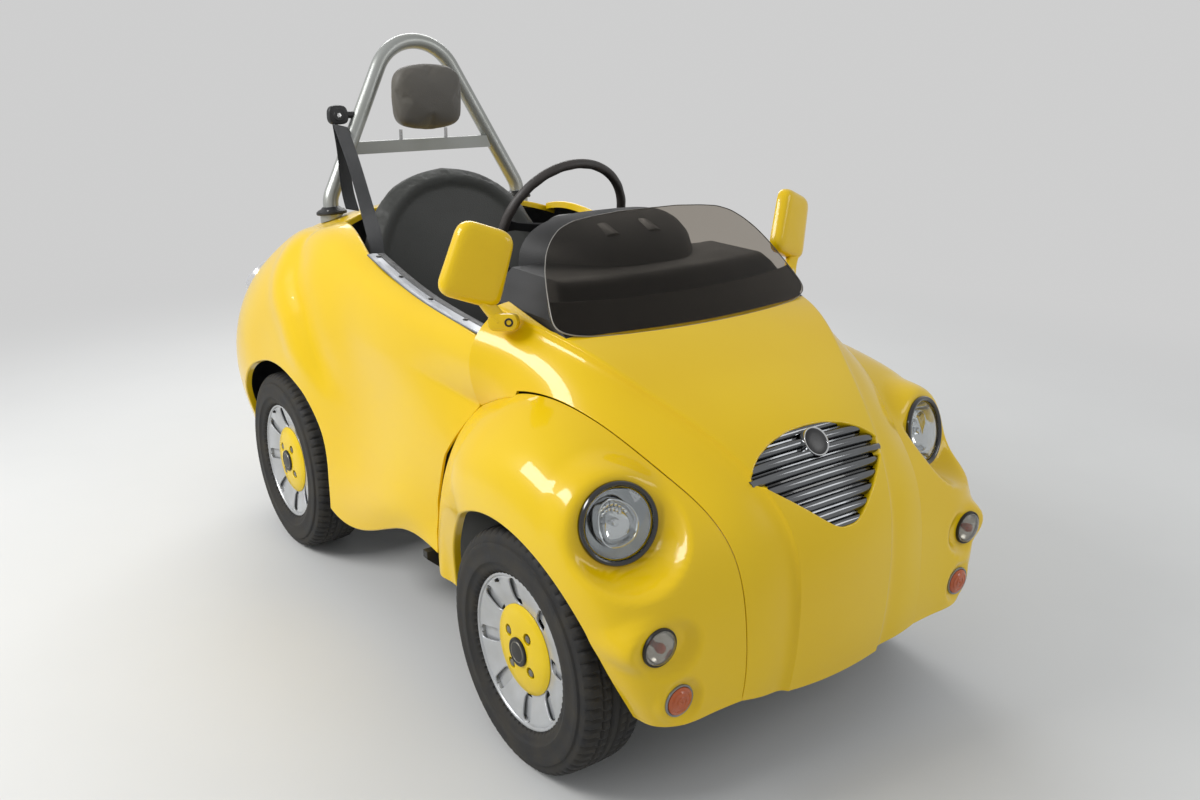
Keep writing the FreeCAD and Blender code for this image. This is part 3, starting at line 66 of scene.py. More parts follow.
class Grain(Enum):
    """How a finish breaks up close to."""

    PEEL = "orange peel of sprayed paint"
    CAST = "fine even grain of moulded plastic"
    HIDE = "pebbled leathercloth"
    WEAVE = "woven webbing"
    BRUSHED = "fine lines of drawn metal"
    DUSTY = "rubber with dust in it"
    CLEAR = "smooth glass"


def linear(colour: str) -> tuple[float, float, float, float]:
    """Turns a display colour into the renderer's own numbers.

    Args:
        colour: Six hexadecimal digits, red first.

    Returns:
        Red, green, blue and a full alpha.
    """
    parts = [int(colour[i:i + 2], 16) / 255.0 for i in (0, 2, 4)]
    red, green, blue = ((c / 12.92) if c <= 0.04045 else ((c + 0.055) / 1.055) ** 2.4 for c in parts)
    return red, green, blue, 1.0


@dataclass(frozen=True)
class Finish:
    """One surface of the car, from its colour down to its grain."""

    name: str
    colour: str
    grain: Grain = Grain.CAST
    second: str = ""
    patch_scale: float = 6.0
    patch_share: float = 0.5
    roughness: float = 0.5
    roughness_spread: float = 0.08
    metallic: float = 0.0
    coat: float = 0.0
    coat_roughness: float = 0.03
    sheen: float = 0.0
    transmission: float = 0.0
    ior: float = 1.5
    specular: float = 0.5
    relief: float = 0.15

    def material(self) -> bpy.types.Material:
        """Makes the node material once, and gives the same one after that.

        Returns:
            The Blender material of this finish.
        """
        found = bpy.data.materials.get(self.name)
        if found is not None:
            return found
        made = bpy.data.materials.new(self.name)
        made.use_nodes = True
        nodes = made.node_tree.nodes
        links = made.node_tree.links
        shader = nodes["Principled BSDF"]
        shader.inputs["Metallic"].default_value = self.metallic
        shader.inputs["Coat Weight"].default_value = self.coat
        shader.inputs["Coat Roughness"].default_value = self.coat_roughness
        shader.inputs["Sheen Weight"].default_value = self.sheen
        shader.inputs["Transmission Weight"].default_value = self.transmission
        shader.inputs["IOR"].default_value = self.ior
        shader.inputs["Specular IOR Level"].default_value = self.specular
        place = nodes.new("ShaderNodeTexCoord").outputs["Object"]
        patches = nodes.new("ShaderNodeTexNoise")
        patches.inputs["Scale"].default_value = self.patch_scale
        patches.inputs["Detail"].default_value = 6.0
        links.new(place, patches.inputs["Vector"])
        self._tint(nodes, links, patches, shader)
        self._polish(nodes, links, patches, shader)
        self._relief(nodes, links, place, shader)
        return made

    def _tint(self, nodes: bpy.types.Nodes, links: bpy.types.NodeLinks, patches: bpy.types.Node,
              shader: bpy.types.Node) -> None:
        """Colours the shader, with the second colour in soft patches over the first.

        Args:
            nodes: The tree's nodes.
            links: The tree's links.
            patches: The soft patches.
            shader: The shader to colour.
        """
        ramp = nodes.new("ShaderNodeValToRGB")
        ramp.color_ramp.elements[0].color = linear(self.colour)
        ramp.color_ramp.elements[0].position = 0.35
        ramp.color_ramp.elements[1].color = linear(self.second or self.colour)
        ramp.color_ramp.elements[1].position = 0.35 + self.patch_share
        links.new(patches.outputs["Fac"], ramp.inputs["Fac"])
        links.new(ramp.outputs["Color"], shader.inputs["Base Color"])

    def _polish(self, nodes: bpy.types.Nodes, links: bpy.types.NodeLinks, patches: bpy.types.Node,
                shader: bpy.types.Node) -> None:
        """Lets the roughness wander a little across the surface.

        Args:
            nodes: The tree's nodes.
            links: The tree's links.
            patches: The soft patches.
            shader: The shader to set.
        """
        spread = nodes.new("ShaderNodeMapRange")
        spread.inputs["From Min"].default_value = 0.3
        spread.inputs["From Max"].default_value = 0.7
        spread.inputs["To Min"].default_value = max(0.0, self.roughness - self.roughness_spread)
        spread.inputs["To Max"].default_value = self.roughness + self.roughness_spread
        links.new(patches.outputs["Fac"], spread.inputs["Value"])
        links.new(spread.outputs["Result"], shader.inputs["Roughness"])

    def _relief(self, nodes: bpy.types.Nodes, links: bpy.types.NodeLinks, place: bpy.types.NodeSocket,
                shader: bpy.types.Node) -> None:
        """Adds the grain as bump.

        Args:
            nodes: The tree's nodes.
            links: The tree's links.
            place: The object's own coordinates.
            shader: The shader to bump.
        """
        if self.grain is Grain.CLEAR:
            return
        height = self._grain_height(nodes, links, place)
        bump = nodes.new("ShaderNodeBump")
        bump.inputs["Strength"].default_value = self.relief
        bump.inputs["Distance"].default_value = 0.001
        links.new(height, bump.inputs["Height"])
        links.new(bump.outputs["Normal"], shader.inputs["Normal"])

    def _grain_height(self, nodes: bpy.types.Nodes, links: bpy.types.NodeLinks,
                      place: bpy.types.NodeSocket) -> bpy.types.NodeSocket:
        """Builds the texture that the grain's bump is read from.

        Args:
            nodes: The material's nodes.
            links: The material's links.
            place: Where on the car the surface is.

        Returns:
            The socket that carries the grain's height.
        """
        if self.grain is Grain.HIDE:
            texture = nodes.new("ShaderNodeTexVoronoi")
            texture.feature = "SMOOTH_F1"
            texture.inputs["Scale"].default_value = 420.0
            links.new(place, texture.inputs["Vector"])
            return texture.outputs["Distance"]
        if self.grain is Grain.WEAVE:
            texture = nodes.new("ShaderNodeTexWave")
            texture.bands_direction = "DIAGONAL"
            texture.inputs["Scale"].default_value = 150.0
            texture.inputs["Distortion"].default_value = 1.2
            links.new(place, texture.inputs["Vector"])
            return texture.outputs["Fac"]
        texture = nodes.new("ShaderNodeTexNoise")
        sizes = {Grain.PEEL: 260.0, Grain.CAST: 900.0, Grain.BRUSHED: 500.0, Grain.DUSTY: 160.0}
        texture.inputs["Scale"].default_value = sizes[self.grain]
        texture.inputs["Detail"].default_value = 3.0
        if self.grain is Grain.BRUSHED:
            stretch = nodes.new("ShaderNodeMapping")
            stretch.inputs["Scale"].default_value = (1.0, 0.08, 1.0)
            links.new(place, stretch.inputs["Vector"])
            links.new(stretch.outputs["Vector"], texture.inputs["Vector"])
        else:
            links.new(place, texture.inputs["Vector"])
        return texture.outputs["Fac"]


BODY_YELLOW = Finish("body_yellow", "E3BB00", Grain.PEEL, "E7C200", 2.5, 0.4, roughness=0.32,
                     roughness_spread=0.05, coat=0.55, coat_roughness=0.04, specular=0.2, relief=0.012)
UNDERSEAL = Finish("black_underseal", "17171A", Grain.DUSTY, "26251F", 9.0, roughness=0.85, relief=0.6)
COVER_YELLOW = Finish("wheel_cover_yellow", "E6C400", Grain.PEEL, "DDBB00", 14.0, roughness=0.4,
                      coat=0.4, coat_roughness=0.08, specular=0.25, relief=0.02)
WHEEL_SILVER = Finish("wheel_silver", "B9BBBD", Grain.PEEL, "A6A7A6", 18.0, roughness=0.36,
                      metallic=0.35, coat=0.3, coat_roughness=0.15, relief=0.03)
TYRE_BLACK = Finish("tyre_rubber", "1B1B1C", Grain.DUSTY, "35322C", 22.0, 0.35, roughness=0.78,
                    roughness_spread=0.12, relief=0.35)
CAP_BLACK = Finish("cap_black", "101011", Grain.CAST, "18181A", 30.0, roughness=0.35, relief=0.05)
BOLT_STEEL = Finish("bolt_steel", "8A8880", Grain.BRUSHED, "5E5A50", 60.0, roughness=0.38, metallic=0.9,
                    relief=0.1)
FRAME_BLACK = Finish("frame_black", "1C1D1F", Grain.PEEL, "2E2A25", 11.0, roughness=0.5, relief=0.12)
AXLE_STEEL = Finish("worn_steel", "5A5752", Grain.DUSTY, "4A3A2E", 16.0, roughness=0.55, metallic=0.75,
                    relief=0.3)
TUB_GREY = Finish("tub_liner", "2B2D29", Grain.CAST, "33352F", 7.0, roughness=0.62, relief=0.3)
TRIM_SILVER = Finish("trim_silver", "8F9195", Grain.BRUSHED, "7E8083", 12.0, roughness=0.34, metallic=0.85,
                     relief=0.06)
SEAT_GREY = Finish("seat_leathercloth", "343532", Grain.HIDE, "3C3D39", 5.0, roughness=0.58,
                   sheen=0.12, relief=0.4)
BASE_GREEN = Finish("base_leathercloth", "31342D", Grain.HIDE, "383B33", 6.0, roughness=0.6,
                    sheen=0.12, relief=0.4)
HEADREST_GREY = Finish("headrest_leathercloth", "55514A", Grain.HIDE, "5E5A52", 8.0, roughness=0.55,
                       sheen=0.15, relief=0.45)
BAR_SILVER = Finish("bar_silver", "A3A5A2", Grain.PEEL, "94968F", 9.0, roughness=0.36, metallic=0.55,
                    coat=0.25, coat_roughness=0.2, relief=0.03)
BRIGHT_STEEL = Finish("polished_steel", "C4C4C4", Grain.BRUSHED, "ABABAB", 40.0, roughness=0.18,
                      roughness_spread=0.05, metallic=1.0, relief=0.03)
WEBBING = Finish("belt_webbing", "17181A", Grain.WEAVE, "222326", 30.0, roughness=0.75, sheen=0.25,
                 relief=0.5)
BLACK_PLASTIC = Finish("grained_black", "19191A", Grain.CAST, "222223", 12.0, roughness=0.45, relief=0.25)
DASH_BLACK = Finish("dash_black", "1D1D1E", Grain.HIDE, "252524", 9.0, roughness=0.6, relief=0.3)
GLOSS_BLACK = Finish("gloss_black", "070708", Grain.PEEL, "0C0C0D", 20.0, roughness=0.15,
                     roughness_spread=0.03, coat=0.8, relief=0.01)
GRIP_GREY = Finish("rim_cover", "2E2A28", Grain.HIDE, "3B3532", 24.0, roughness=0.5, relief=0.3)
SMOKED = Finish("smoked_screen", "B5AEA4", Grain.CLEAR, "B0A89E", 3.0, roughness=0.02,
                roughness_spread=0.01, transmission=1.0, ior=1.2)
SCREEN_EDGE = Finish("screen_edge", "8E8B86", Grain.PEEL, "99958F", 30.0, roughness=0.3, relief=0.02)
CLEAR_GLASS = Finish("clear_glass", "F4F6F6", Grain.CLEAR, "EEF1F1", 5.0, roughness=0.02,
                     roughness_spread=0.01, transmission=1.0, ior=1.25)
MIRROR_FACE = Finish("mirror_face", "D8DADB", Grain.CLEAR, "CFD2D3", 8.0, roughness=0.03,
                     roughness_spread=0.01, metallic=1.0)
CHROME = Finish("chrome", "DADBDC", Grain.CLEAR, "CFD0D1", 16.0, roughness=0.07, roughness_spread=0.03,
                metallic=1.0)
GRILLE_CHROME = Finish("dark_chrome", "77797B", Grain.CLEAR, "68696B", 16.0, roughness=0.13,
                       roughness_spread=0.03, metallic=1.0)
BOWL_CHROME = Finish("bowl_chrome", "E4E5E6", Grain.CLEAR, "D5D6D7", 26.0, roughness=0.1,
                     roughness_spread=0.04, metallic=1.0)
SIGNAL_CLEAR = Finish("signal_clear", "D9D6CF", Grain.CLEAR, "CECBC4", 20.0, roughness=0.12,
                      transmission=0.9, ior=1.3)
BULB_ORANGE = Finish("bulb_orange", "E8621A", Grain.CLEAR, "DD5614", 30.0, roughness=0.2, transmission=0.2)
MARKER_AMBER = Finish("amber_lens", "CC5A12", Grain.PEEL, "B94E0E", 40.0, roughness=0.22,
                      transmission=0.25, coat=0.5, relief=0.05)
TAIL_GREY = Finish("tail_lens_grey", "C3C4C8", Grain.PEEL, "B4B5BA", 15.0, roughness=0.22, metallic=0.2,
                   coat=0.8, relief=0.02)
TAIL_RED = Finish("red_lens", "A01414", Grain.PEEL, "8C1010", 30.0, roughness=0.2, transmission=0.25,
                  coat=0.6, relief=0.03)
CASE_GREY = Finish("battery_case", "3A3D42", Grain.CAST, "33363A", 14.0, roughness=0.55, relief=0.25)
MOTOR_GREY = Finish("motor_casting", "6B6D6C", Grain.DUSTY, "57544E", 20.0, roughness=0.5, metallic=0.6,
                    relief=0.3)
PLATE_STEEL = Finish("bracket_steel", "4A4B4C", Grain.PEEL, "3E3B37", 18.0, roughness=0.48, metallic=0.6,
                     relief=0.08)
FLOOR_GREY = Finish("floor", "D6D6D4", Grain.CAST, "D2D2D0", 1.5, roughness=0.75, relief=0.02)


# Curves and grids


def unit(vectors: Array) -> Array:
    """Scales vectors to length one."""
    return vectors / np.maximum(np.linalg.norm(vectors, axis=-1, keepdims=True), 1e-12)


def spline(knots: Array, values: Array, at: Array) -> Array:
    """Reads a smooth curve that passes through every value.

    Args:
        knots: Increasing places of the values, n of them.
        values: The values, n by any number of columns.
        at: Where to read the curve.

    Returns:
        One row of values for each place in at.
    """
    knots = np.asarray(knots, float)
    values = np.asarray(values, float)
    at = np.asarray(at, float)
    flat = values.reshape(len(knots), -1)
    h = np.diff(knots)
    system = np.eye(len(knots))
    right = np.zeros_like(flat)
    for i in range(1, len(knots) - 1):
        system[i, i - 1:i + 2] = h[i - 1], 2.0 * (h[i - 1] + h[i]), h[i]
        right[i] = 6.0 * ((flat[i + 1] - flat[i]) / h[i] - (flat[i] - flat[i - 1]) / h[i - 1])
    bend = np.linalg.solve(system, right)
    i = np.clip(np.searchsorted(knots, at, side="right") - 1, 0, len(knots) - 2)
    step = h[i][:, None]
    past = (at - knots[i])[:, None]
    ahead = (knots[i + 1] - at)[:, None]
    curve = (bend[i] * ahead ** 3 + bend[i + 1] * past ** 3) / (6.0 * step)
    curve += (flat[i] / step - bend[i] * step / 6.0) * ahead
    curve += (flat[i + 1] / step - bend[i + 1] * step / 6.0) * past
    return curve.reshape((len(at),) + values.shape[1:])


def run_lengths(points: Array) -> Array:
    """The distance along a run of points, from its first one."""
    steps = np.linalg.norm(np.diff(points, axis=0), axis=1)
    return np.concatenate([[0.0], np.cumsum(steps)])


def evened(points: Array, count: int) -> Array:
    """Moves along a dense run of points in even steps.

    Args:
        points: The dense run.
        count: How many points to give back.

    Returns:
        The run again, with its points evenly spread.
    """
    far = run_lengths(points)
    at = np.linspace(0.0, far[-1], count)
    return np.stack([np.interp(at, far, points[:, k]) for k in range(points.shape[1])], axis=1)


def smooth_run(points: Sequence[Sequence[float]], count: int) -> Array:
    """A smooth run through a few points, in even steps.

    Args:
        points: The points to pass through.
        count: How many points to make.

    Returns:
        The run's points.
    """
    corners = np.asarray(points, float)
    far = run_lengths(corners)
    dense = spline(far, corners, np.linspace(0.0, far[-1], count * 8))
    return evened(dense, count)


def bow(start: Array, middle: Array, end: Array, count: int) -> Array:
    """A shallow arc through three points, without its last point."""
    t = np.linspace(0.0, 1.0, count, endpoint=False)[:, None]
    return start * (1 - t) * (1 - 2 * t) + middle * 4 * t * (1 - t) + end * t * (2 * t - 1)


def lofted(rows: Array, count: int) -> Array:
    """Stretches a smooth skin over cross sections.

    Args:
        rows: Sections with equal numbers of points, rows by points by three.
        count: How many sections the skin has in the end.

    Returns:
        A grid of points, count by points by three.
    """
    gaps = np.linalg.norm(np.diff(rows, axis=0), axis=2).mean(axis=1)
    knots = np.concatenate([[0.0], np.cumsum(gaps)])
    dense = spline(knots, rows, np.linspace(0.0, knots[-1], count))
    return dense


def grid_normals(grid: Array) -> Array:
    """The direction each grid point faces, from its neighbours.

    Args:
        grid: The grid of points.

    Returns:
        A unit vector for each point.
    """
    across = np.gradient(grid, axis=1)
    along = np.gradient(grid, axis=0)
    return unit(np.cross(along, across))


def eased(low: float, high: float, value: Array) -> Array:
    """Rises smoothly from 0 at low to 1 at high."""
    t = np.clip((value - low) / (high - low), 0.0, 1.0)
    return t * t * (3.0 - 2.0 * t)


def outline_distance(spots: Array, outline: Array) -> Array:
    """How far flat spots lie outside a closed outline.

    Args:
        spots: Points in the outline's plane, n by 2.
        outline: Corners in order, m by 2.

    Returns:
        The distance to the outline, below zero inside it.
    """
    nearest = np.full(len(spots), np.inf)
    inside = np.zeros(len(spots), bool)
    for a, b in zip(outline, np.roll(outline, -1, axis=0)):
        edge = b - a
        t = np.clip(((spots - a) @ edge) / max(edge @ edge, 1e-18), 0.0, 1.0)
        nearest = np.minimum(nearest, np.linalg.norm(spots - a - t[:, None] * edge, axis=1))
        crosses = (a[1] > spots[:, 1]) != (b[1] > spots[:, 1])
        rise = b[1] - a[1] if abs(b[1] - a[1]) > 1e-15 else 1e-15
        inside ^= crosses & (spots[:, 0] < a[0] + edge[0] * (spots[:, 1] - a[1]) / rise)
    return np.where(inside, -nearest, nearest)


def softened(corners: Sequence[Sequence[float]], radius: float, steps: int = 6) -> Array:
    """Rounds the corners of a closed outline.

    Args:
        corners: The outline's corners, in order.
        radius: How far from each corner the rounding starts.
        steps: How many points each rounded corner gets.

    Returns:
        The rounded outline.
    """
    points = np.asarray(corners, float)
    made = []
    for i, corner in enumerate(points):
        before = points[i - 1] - corner
        after = points[(i + 1) % len(points)] - corner
        start = corner + unit(before) * min(radius, np.linalg.norm(before) * 0.48)
        end = corner + unit(after) * min(radius, np.linalg.norm(after) * 0.48)
        for t in np.linspace(0.0, 1.0, steps):
            made.append(start * (1 - t) ** 2 + corner * 2 * t * (1 - t) + end * t * t)
    return np.array(made)


def closed_evened(outline: Array, count: int) -> Array:
    """Spreads a closed outline's points evenly."""
    return evened(np.vstack([outline, outline[:1]]), count + 1)[:-1]


def rounded(corners: Sequence[Sequence[float]], radius: float, steps: int, count: int) -> Array:
    """A closed outline with round corners and evenly spread points.

    Args:
        corners: The outline's corners, in order.
        radius: How far from each corner the rounding starts.
        steps: How many points each corner gets before they are spread.
        count: How many points the outline gets.

    Returns:
        The outline.
    """
    return closed_evened(softened(corners, radius, steps), count)


def tapered(half_low: float, low: float, half_high: float, high: float) -> list[tuple[float, float]]:
    """The corners of a flat shape with two level ends, anticlockwise."""
    return [(-half_low, low), (half_low, low), (half_high, high), (-half_high, high)]


def oblong(half_wide: float, half_high: float) -> list[tuple[float, float]]:
    """The corners of an oblong about the origin, anticlockwise."""
    return tapered(half_wide, -half_high, half_wide, half_high)


def circle(radius: float, count: int) -> Array:
    """A flat circle about the origin, anticlockwise."""
    turn = np.linspace(0.0, 2.0 * math.pi, count, endpoint=False)
    return np.stack([np.cos(turn), np.sin(turn)], axis=1) * radius


@dataclass(frozen=True)
class Place:
    """A spot on the car with its own across, up and outward directions."""

    origin: Point
    out: Point
    up: Point = (0.0, 0.0, 1.0)

    def axes(self) -> Array:
        """The across, up and outward directions as the rows of a matrix.

        Returns:
            A three by three matrix.
        """
        out = unit(np.array(self.out, float))
        across = unit(np.cross(np.array(self.up, float), out))
        return np.array([across, np.cross(out, across), out])

    def at(self, local: Array) -> Array:
        """Local points as points of the car."""
        return np.array(self.origin) + np.asarray(local, float) @ self.axes()

    def local(self, points: Array) -> Array:
        """Points of the car as local points."""
        return (points - np.array(self.origin)) @ self.axes().T

    def spot(self, across: float, up: float, out: float) -> Array:
        """One local point as a point of the car."""
        return self.at(np.array([[across, up, out]]))[0]

    def moved(self, across: float, up: float, out: float) -> "Place":
        """The same directions from another local point."""
        return Place(tuple(self.spot(across, up, out)), self.out, self.up)

    def around(self, radius: float, turn: float, out: float = 0.0) -> "Place":
        """The same directions from a point at an angle round the middle."""
        return self.moved(radius * math.cos(turn), radius * math.sin(turn), out)


def facing_up(x: float, y: float, z: float) -> Place:
    """A place that faces straight up."""
    return Place((x, y, z), (0.0, 0.0, 1.0), (0.0, 1.0, 0.0))


TAIL_LAMP = Place((0.408, 0.905, 0.72), (0.35, 0.72, 0.6))


# Meshes


@dataclass
class Draft:
    """The faces of one piece before Blender gets them."""

    points: list[Array] = field(default_factory=list)
    normals: list[Array] = field(default_factory=list)
    faces: list[list[int]] = field(default_factory=list)
    finish_ids: list[int] = field(default_factory=list)
    count: int = 0

    def add(self, points: Array, faces: Array, finish_id: int = 0, normals: Array | None = None) -> None:
        """Puts more faces in the piece.

        Args:
            points: The new points, n by 3.
            faces: The new faces, by number among the new points.
            finish_id: Which of the piece's finishes they get.
            normals: The way each point faces, where that is known.
        """
        points = np.asarray(points, float).reshape(-1, 3)
        self.points.append(points)
        if normals is not None:
            self.normals.append(np.asarray(normals, float).reshape(-1, 3))
        rows = (np.asarray(faces, int) + self.count).tolist()
        self.faces.extend(rows)
        self.finish_ids.extend([finish_id] * len(rows))
        self.count += len(points)

    def skin(self, rings: Array, finish_id: int = 0, joined: bool = False, capped: bool = True) -> None:
        """Covers a row of closed rings.

        Args:
            rings: The rings, each with the same number of points.
            finish_id: Which of the piece's finishes it gets.
            joined: Whether the last ring meets the first again.
            capped: Whether both ends are closed with a face.
        """
        rings = np.asarray(rings, float)
        rows, around = rings.shape[:2]
        index = np.arange(rows * around).reshape(rows, around)
        if joined:
            index = np.vstack([index, index[:1]])
        a = index[:-1]
        b = index[1:]
        quads = np.stack([a, np.roll(a, -1, 1), np.roll(b, -1, 1), b], axis=2).reshape(-1, 4)
        self.add(rings, quads, finish_id)
        if capped and not joined:
            base = self.count - rows * around
            self.faces.append([base + i for i in range(around - 1, -1, -1)])
            self.faces.append([base + (rows - 1) * around + i for i in range(around)])
            self.finish_ids.extend([finish_id] * 2)

    def turned(self, profile: Sequence[Sequence[float]], place: Place, finish_id: int = 0,
               around: int = 48, joined: bool = False, capped: bool = True) -> None:
        """Turns a profile about a place's outward direction.

        Args:
            profile: Pairs of radius and height along the outward direction.
            place: Where the turned piece stands.
            finish_id: Which of the piece's finishes it gets.
            around: How many points each ring has.
            joined: Whether the profile is a closed loop.
            capped: Whether its open ends are closed.
        """
        rings = []
        for radius, height in profile:
            ring = circle(max(radius, 1e-5), around)
            rings.append(place.at(np.column_stack([ring, np.full(around, height)])))
        self.skin(np.array(rings), finish_id, joined, capped)

    def slab(self, outline: Array, profile: Sequence[Sequence[float]], place: Place,
             finish_id: int = 0) -> None:
        """Builds a closed pad from a flat outline and the profile of its edge.

        Args:
            outline: The flat outline, anticlockwise.
            profile: Pairs of inset from the outline and height along the outward direction.
            place: Where the pad sits.
            finish_id: Which of the piece's finishes it gets.
        """
        step = np.roll(outline, -1, axis=0) - np.roll(outline, 1, axis=0)
        inward = unit(np.column_stack([-step[:, 1], step[:, 0]]))
        middle = outline.mean(axis=0)
        reach = np.linalg.norm(outline - middle, axis=1).min()
        rings = []
        for inset, height in profile:
            if inset < reach * 0.35:
                ring = outline + inward * inset
            else:
                ring = middle + (outline - middle) * max(1.0 - inset / reach, 0.001)
            rings.append(place.at(np.column_stack([ring, np.full(len(ring), height)])))
        self.skin(np.array(rings), finish_id)

    def swept(self, path: Array, section: Array, side: Array, finish_id: int = 0) -> None:
        """Carries a cross section along a path.

        Args:
            path: The points to follow.
            section: The section's flat outline, first column to the side.
            side: The sideways direction, one for all or one for each point.
            finish_id: Which of the piece's finishes it gets.
        """
        ahead = unit(np.gradient(path, axis=0))
        side = np.broadcast_to(np.asarray(side, float), path.shape)
        side = unit(side - ahead * np.sum(side * ahead, axis=1, keepdims=True))
        over = np.cross(ahead, side)
        rings = path[:, None] + section[None, :, :1] * side[:, None] + section[None, :, 1:] * over[:, None]
        self.skin(rings, finish_id)

    def take(self, other: "Draft", finish_id: int = 0) -> None:
        """Copies every face of another draft.

        Args:
            other: The draft to copy.
            finish_id: Which of this piece's finishes the copied faces get.
        """
        self.points += other.points
        self.normals += other.normals
        self.faces += [[corner + self.count for corner in row] for row in other.faces]
        self.finish_ids += [finish_id] * len(other.faces)
        self.count += other.count

    def piece(self, name: str, finishes: Sequence[Finish], body: str, mirror: bool = False,
              slot: str = "", stands_for: Sequence[str] = (), sharp: float = 38.0) -> bpy.types.Object:
        """Makes the Blender piece and puts it on its body.

        Args:
            name: The piece's name.
            finishes: The finishes that the faces' numbers mean.
            body: The CAD body it moves with.
            mirror: Whether to make it for the car's other side.
            slot: The record's material slot; not used.
            stands_for: The CAD nodes that it is shown instead of.
            sharp: The angle above which an edge stays crisp, in degrees.

        Returns:
            The Blender object.
        """
        points = np.vstack(self.points)
        faces = self.faces
        if mirror:
            points = points * np.array([-1.0, 1.0, 1.0])
            faces = [row[::-1] for row in faces]
        mesh = bpy.data.meshes.new(name)
        mesh.from_pydata(points.tolist(), [], faces)
        for finish in finishes:
            mesh.materials.append(finish.material())
        mesh.polygons.foreach_set("material_index", self.finish_ids)
        mesh.polygons.foreach_set("use_smooth", [True] * len(faces))
        mesh.update()
        if self.normals:
            normals = np.vstack(self.normals)
            if mirror:
                normals = normals * np.array([-1.0, 1.0, 1.0])
            mesh.normals_split_custom_set_from_vertices(normals.tolist())
        else:
            mesh.set_sharp_from_angle(angle=math.radians(sharp))
        made = bpy.data.objects.new(name, mesh)
        bpy.context.scene.collection.objects.link(made)
        return seated(made, body, stands_for)


def seated(made: bpy.types.Object, body: str,
           stands_for: Sequence[str] = ()) -> bpy.types.Object:
    """Rides a piece on its body and hides the nodes that it stands for.

    Args:
        made: The piece, in place.
        body: The CAD body it moves with.
        stands_for: The CAD nodes that it is shown instead of.

    Returns:
        The same piece.
    """
    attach(made, body)
    if stands_for:
        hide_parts(*stands_for)
    LOG.info("piece %s on %s, %d faces", made.name, body, len(made.data.polygons))
    return made


@dataclass(frozen=True)
class Roll:
    """How a panel's edge turns inwards: the radius of the bend and the depth of the flange."""

    radius: float = 0.0012
    depth: float = 0.006


@dataclass(frozen=True)
class Cut:
    """An edge cut in a panel: metal stays where the measure is below zero."""

    measure: Callable[[Array], Array]
    roll: Roll = Roll()


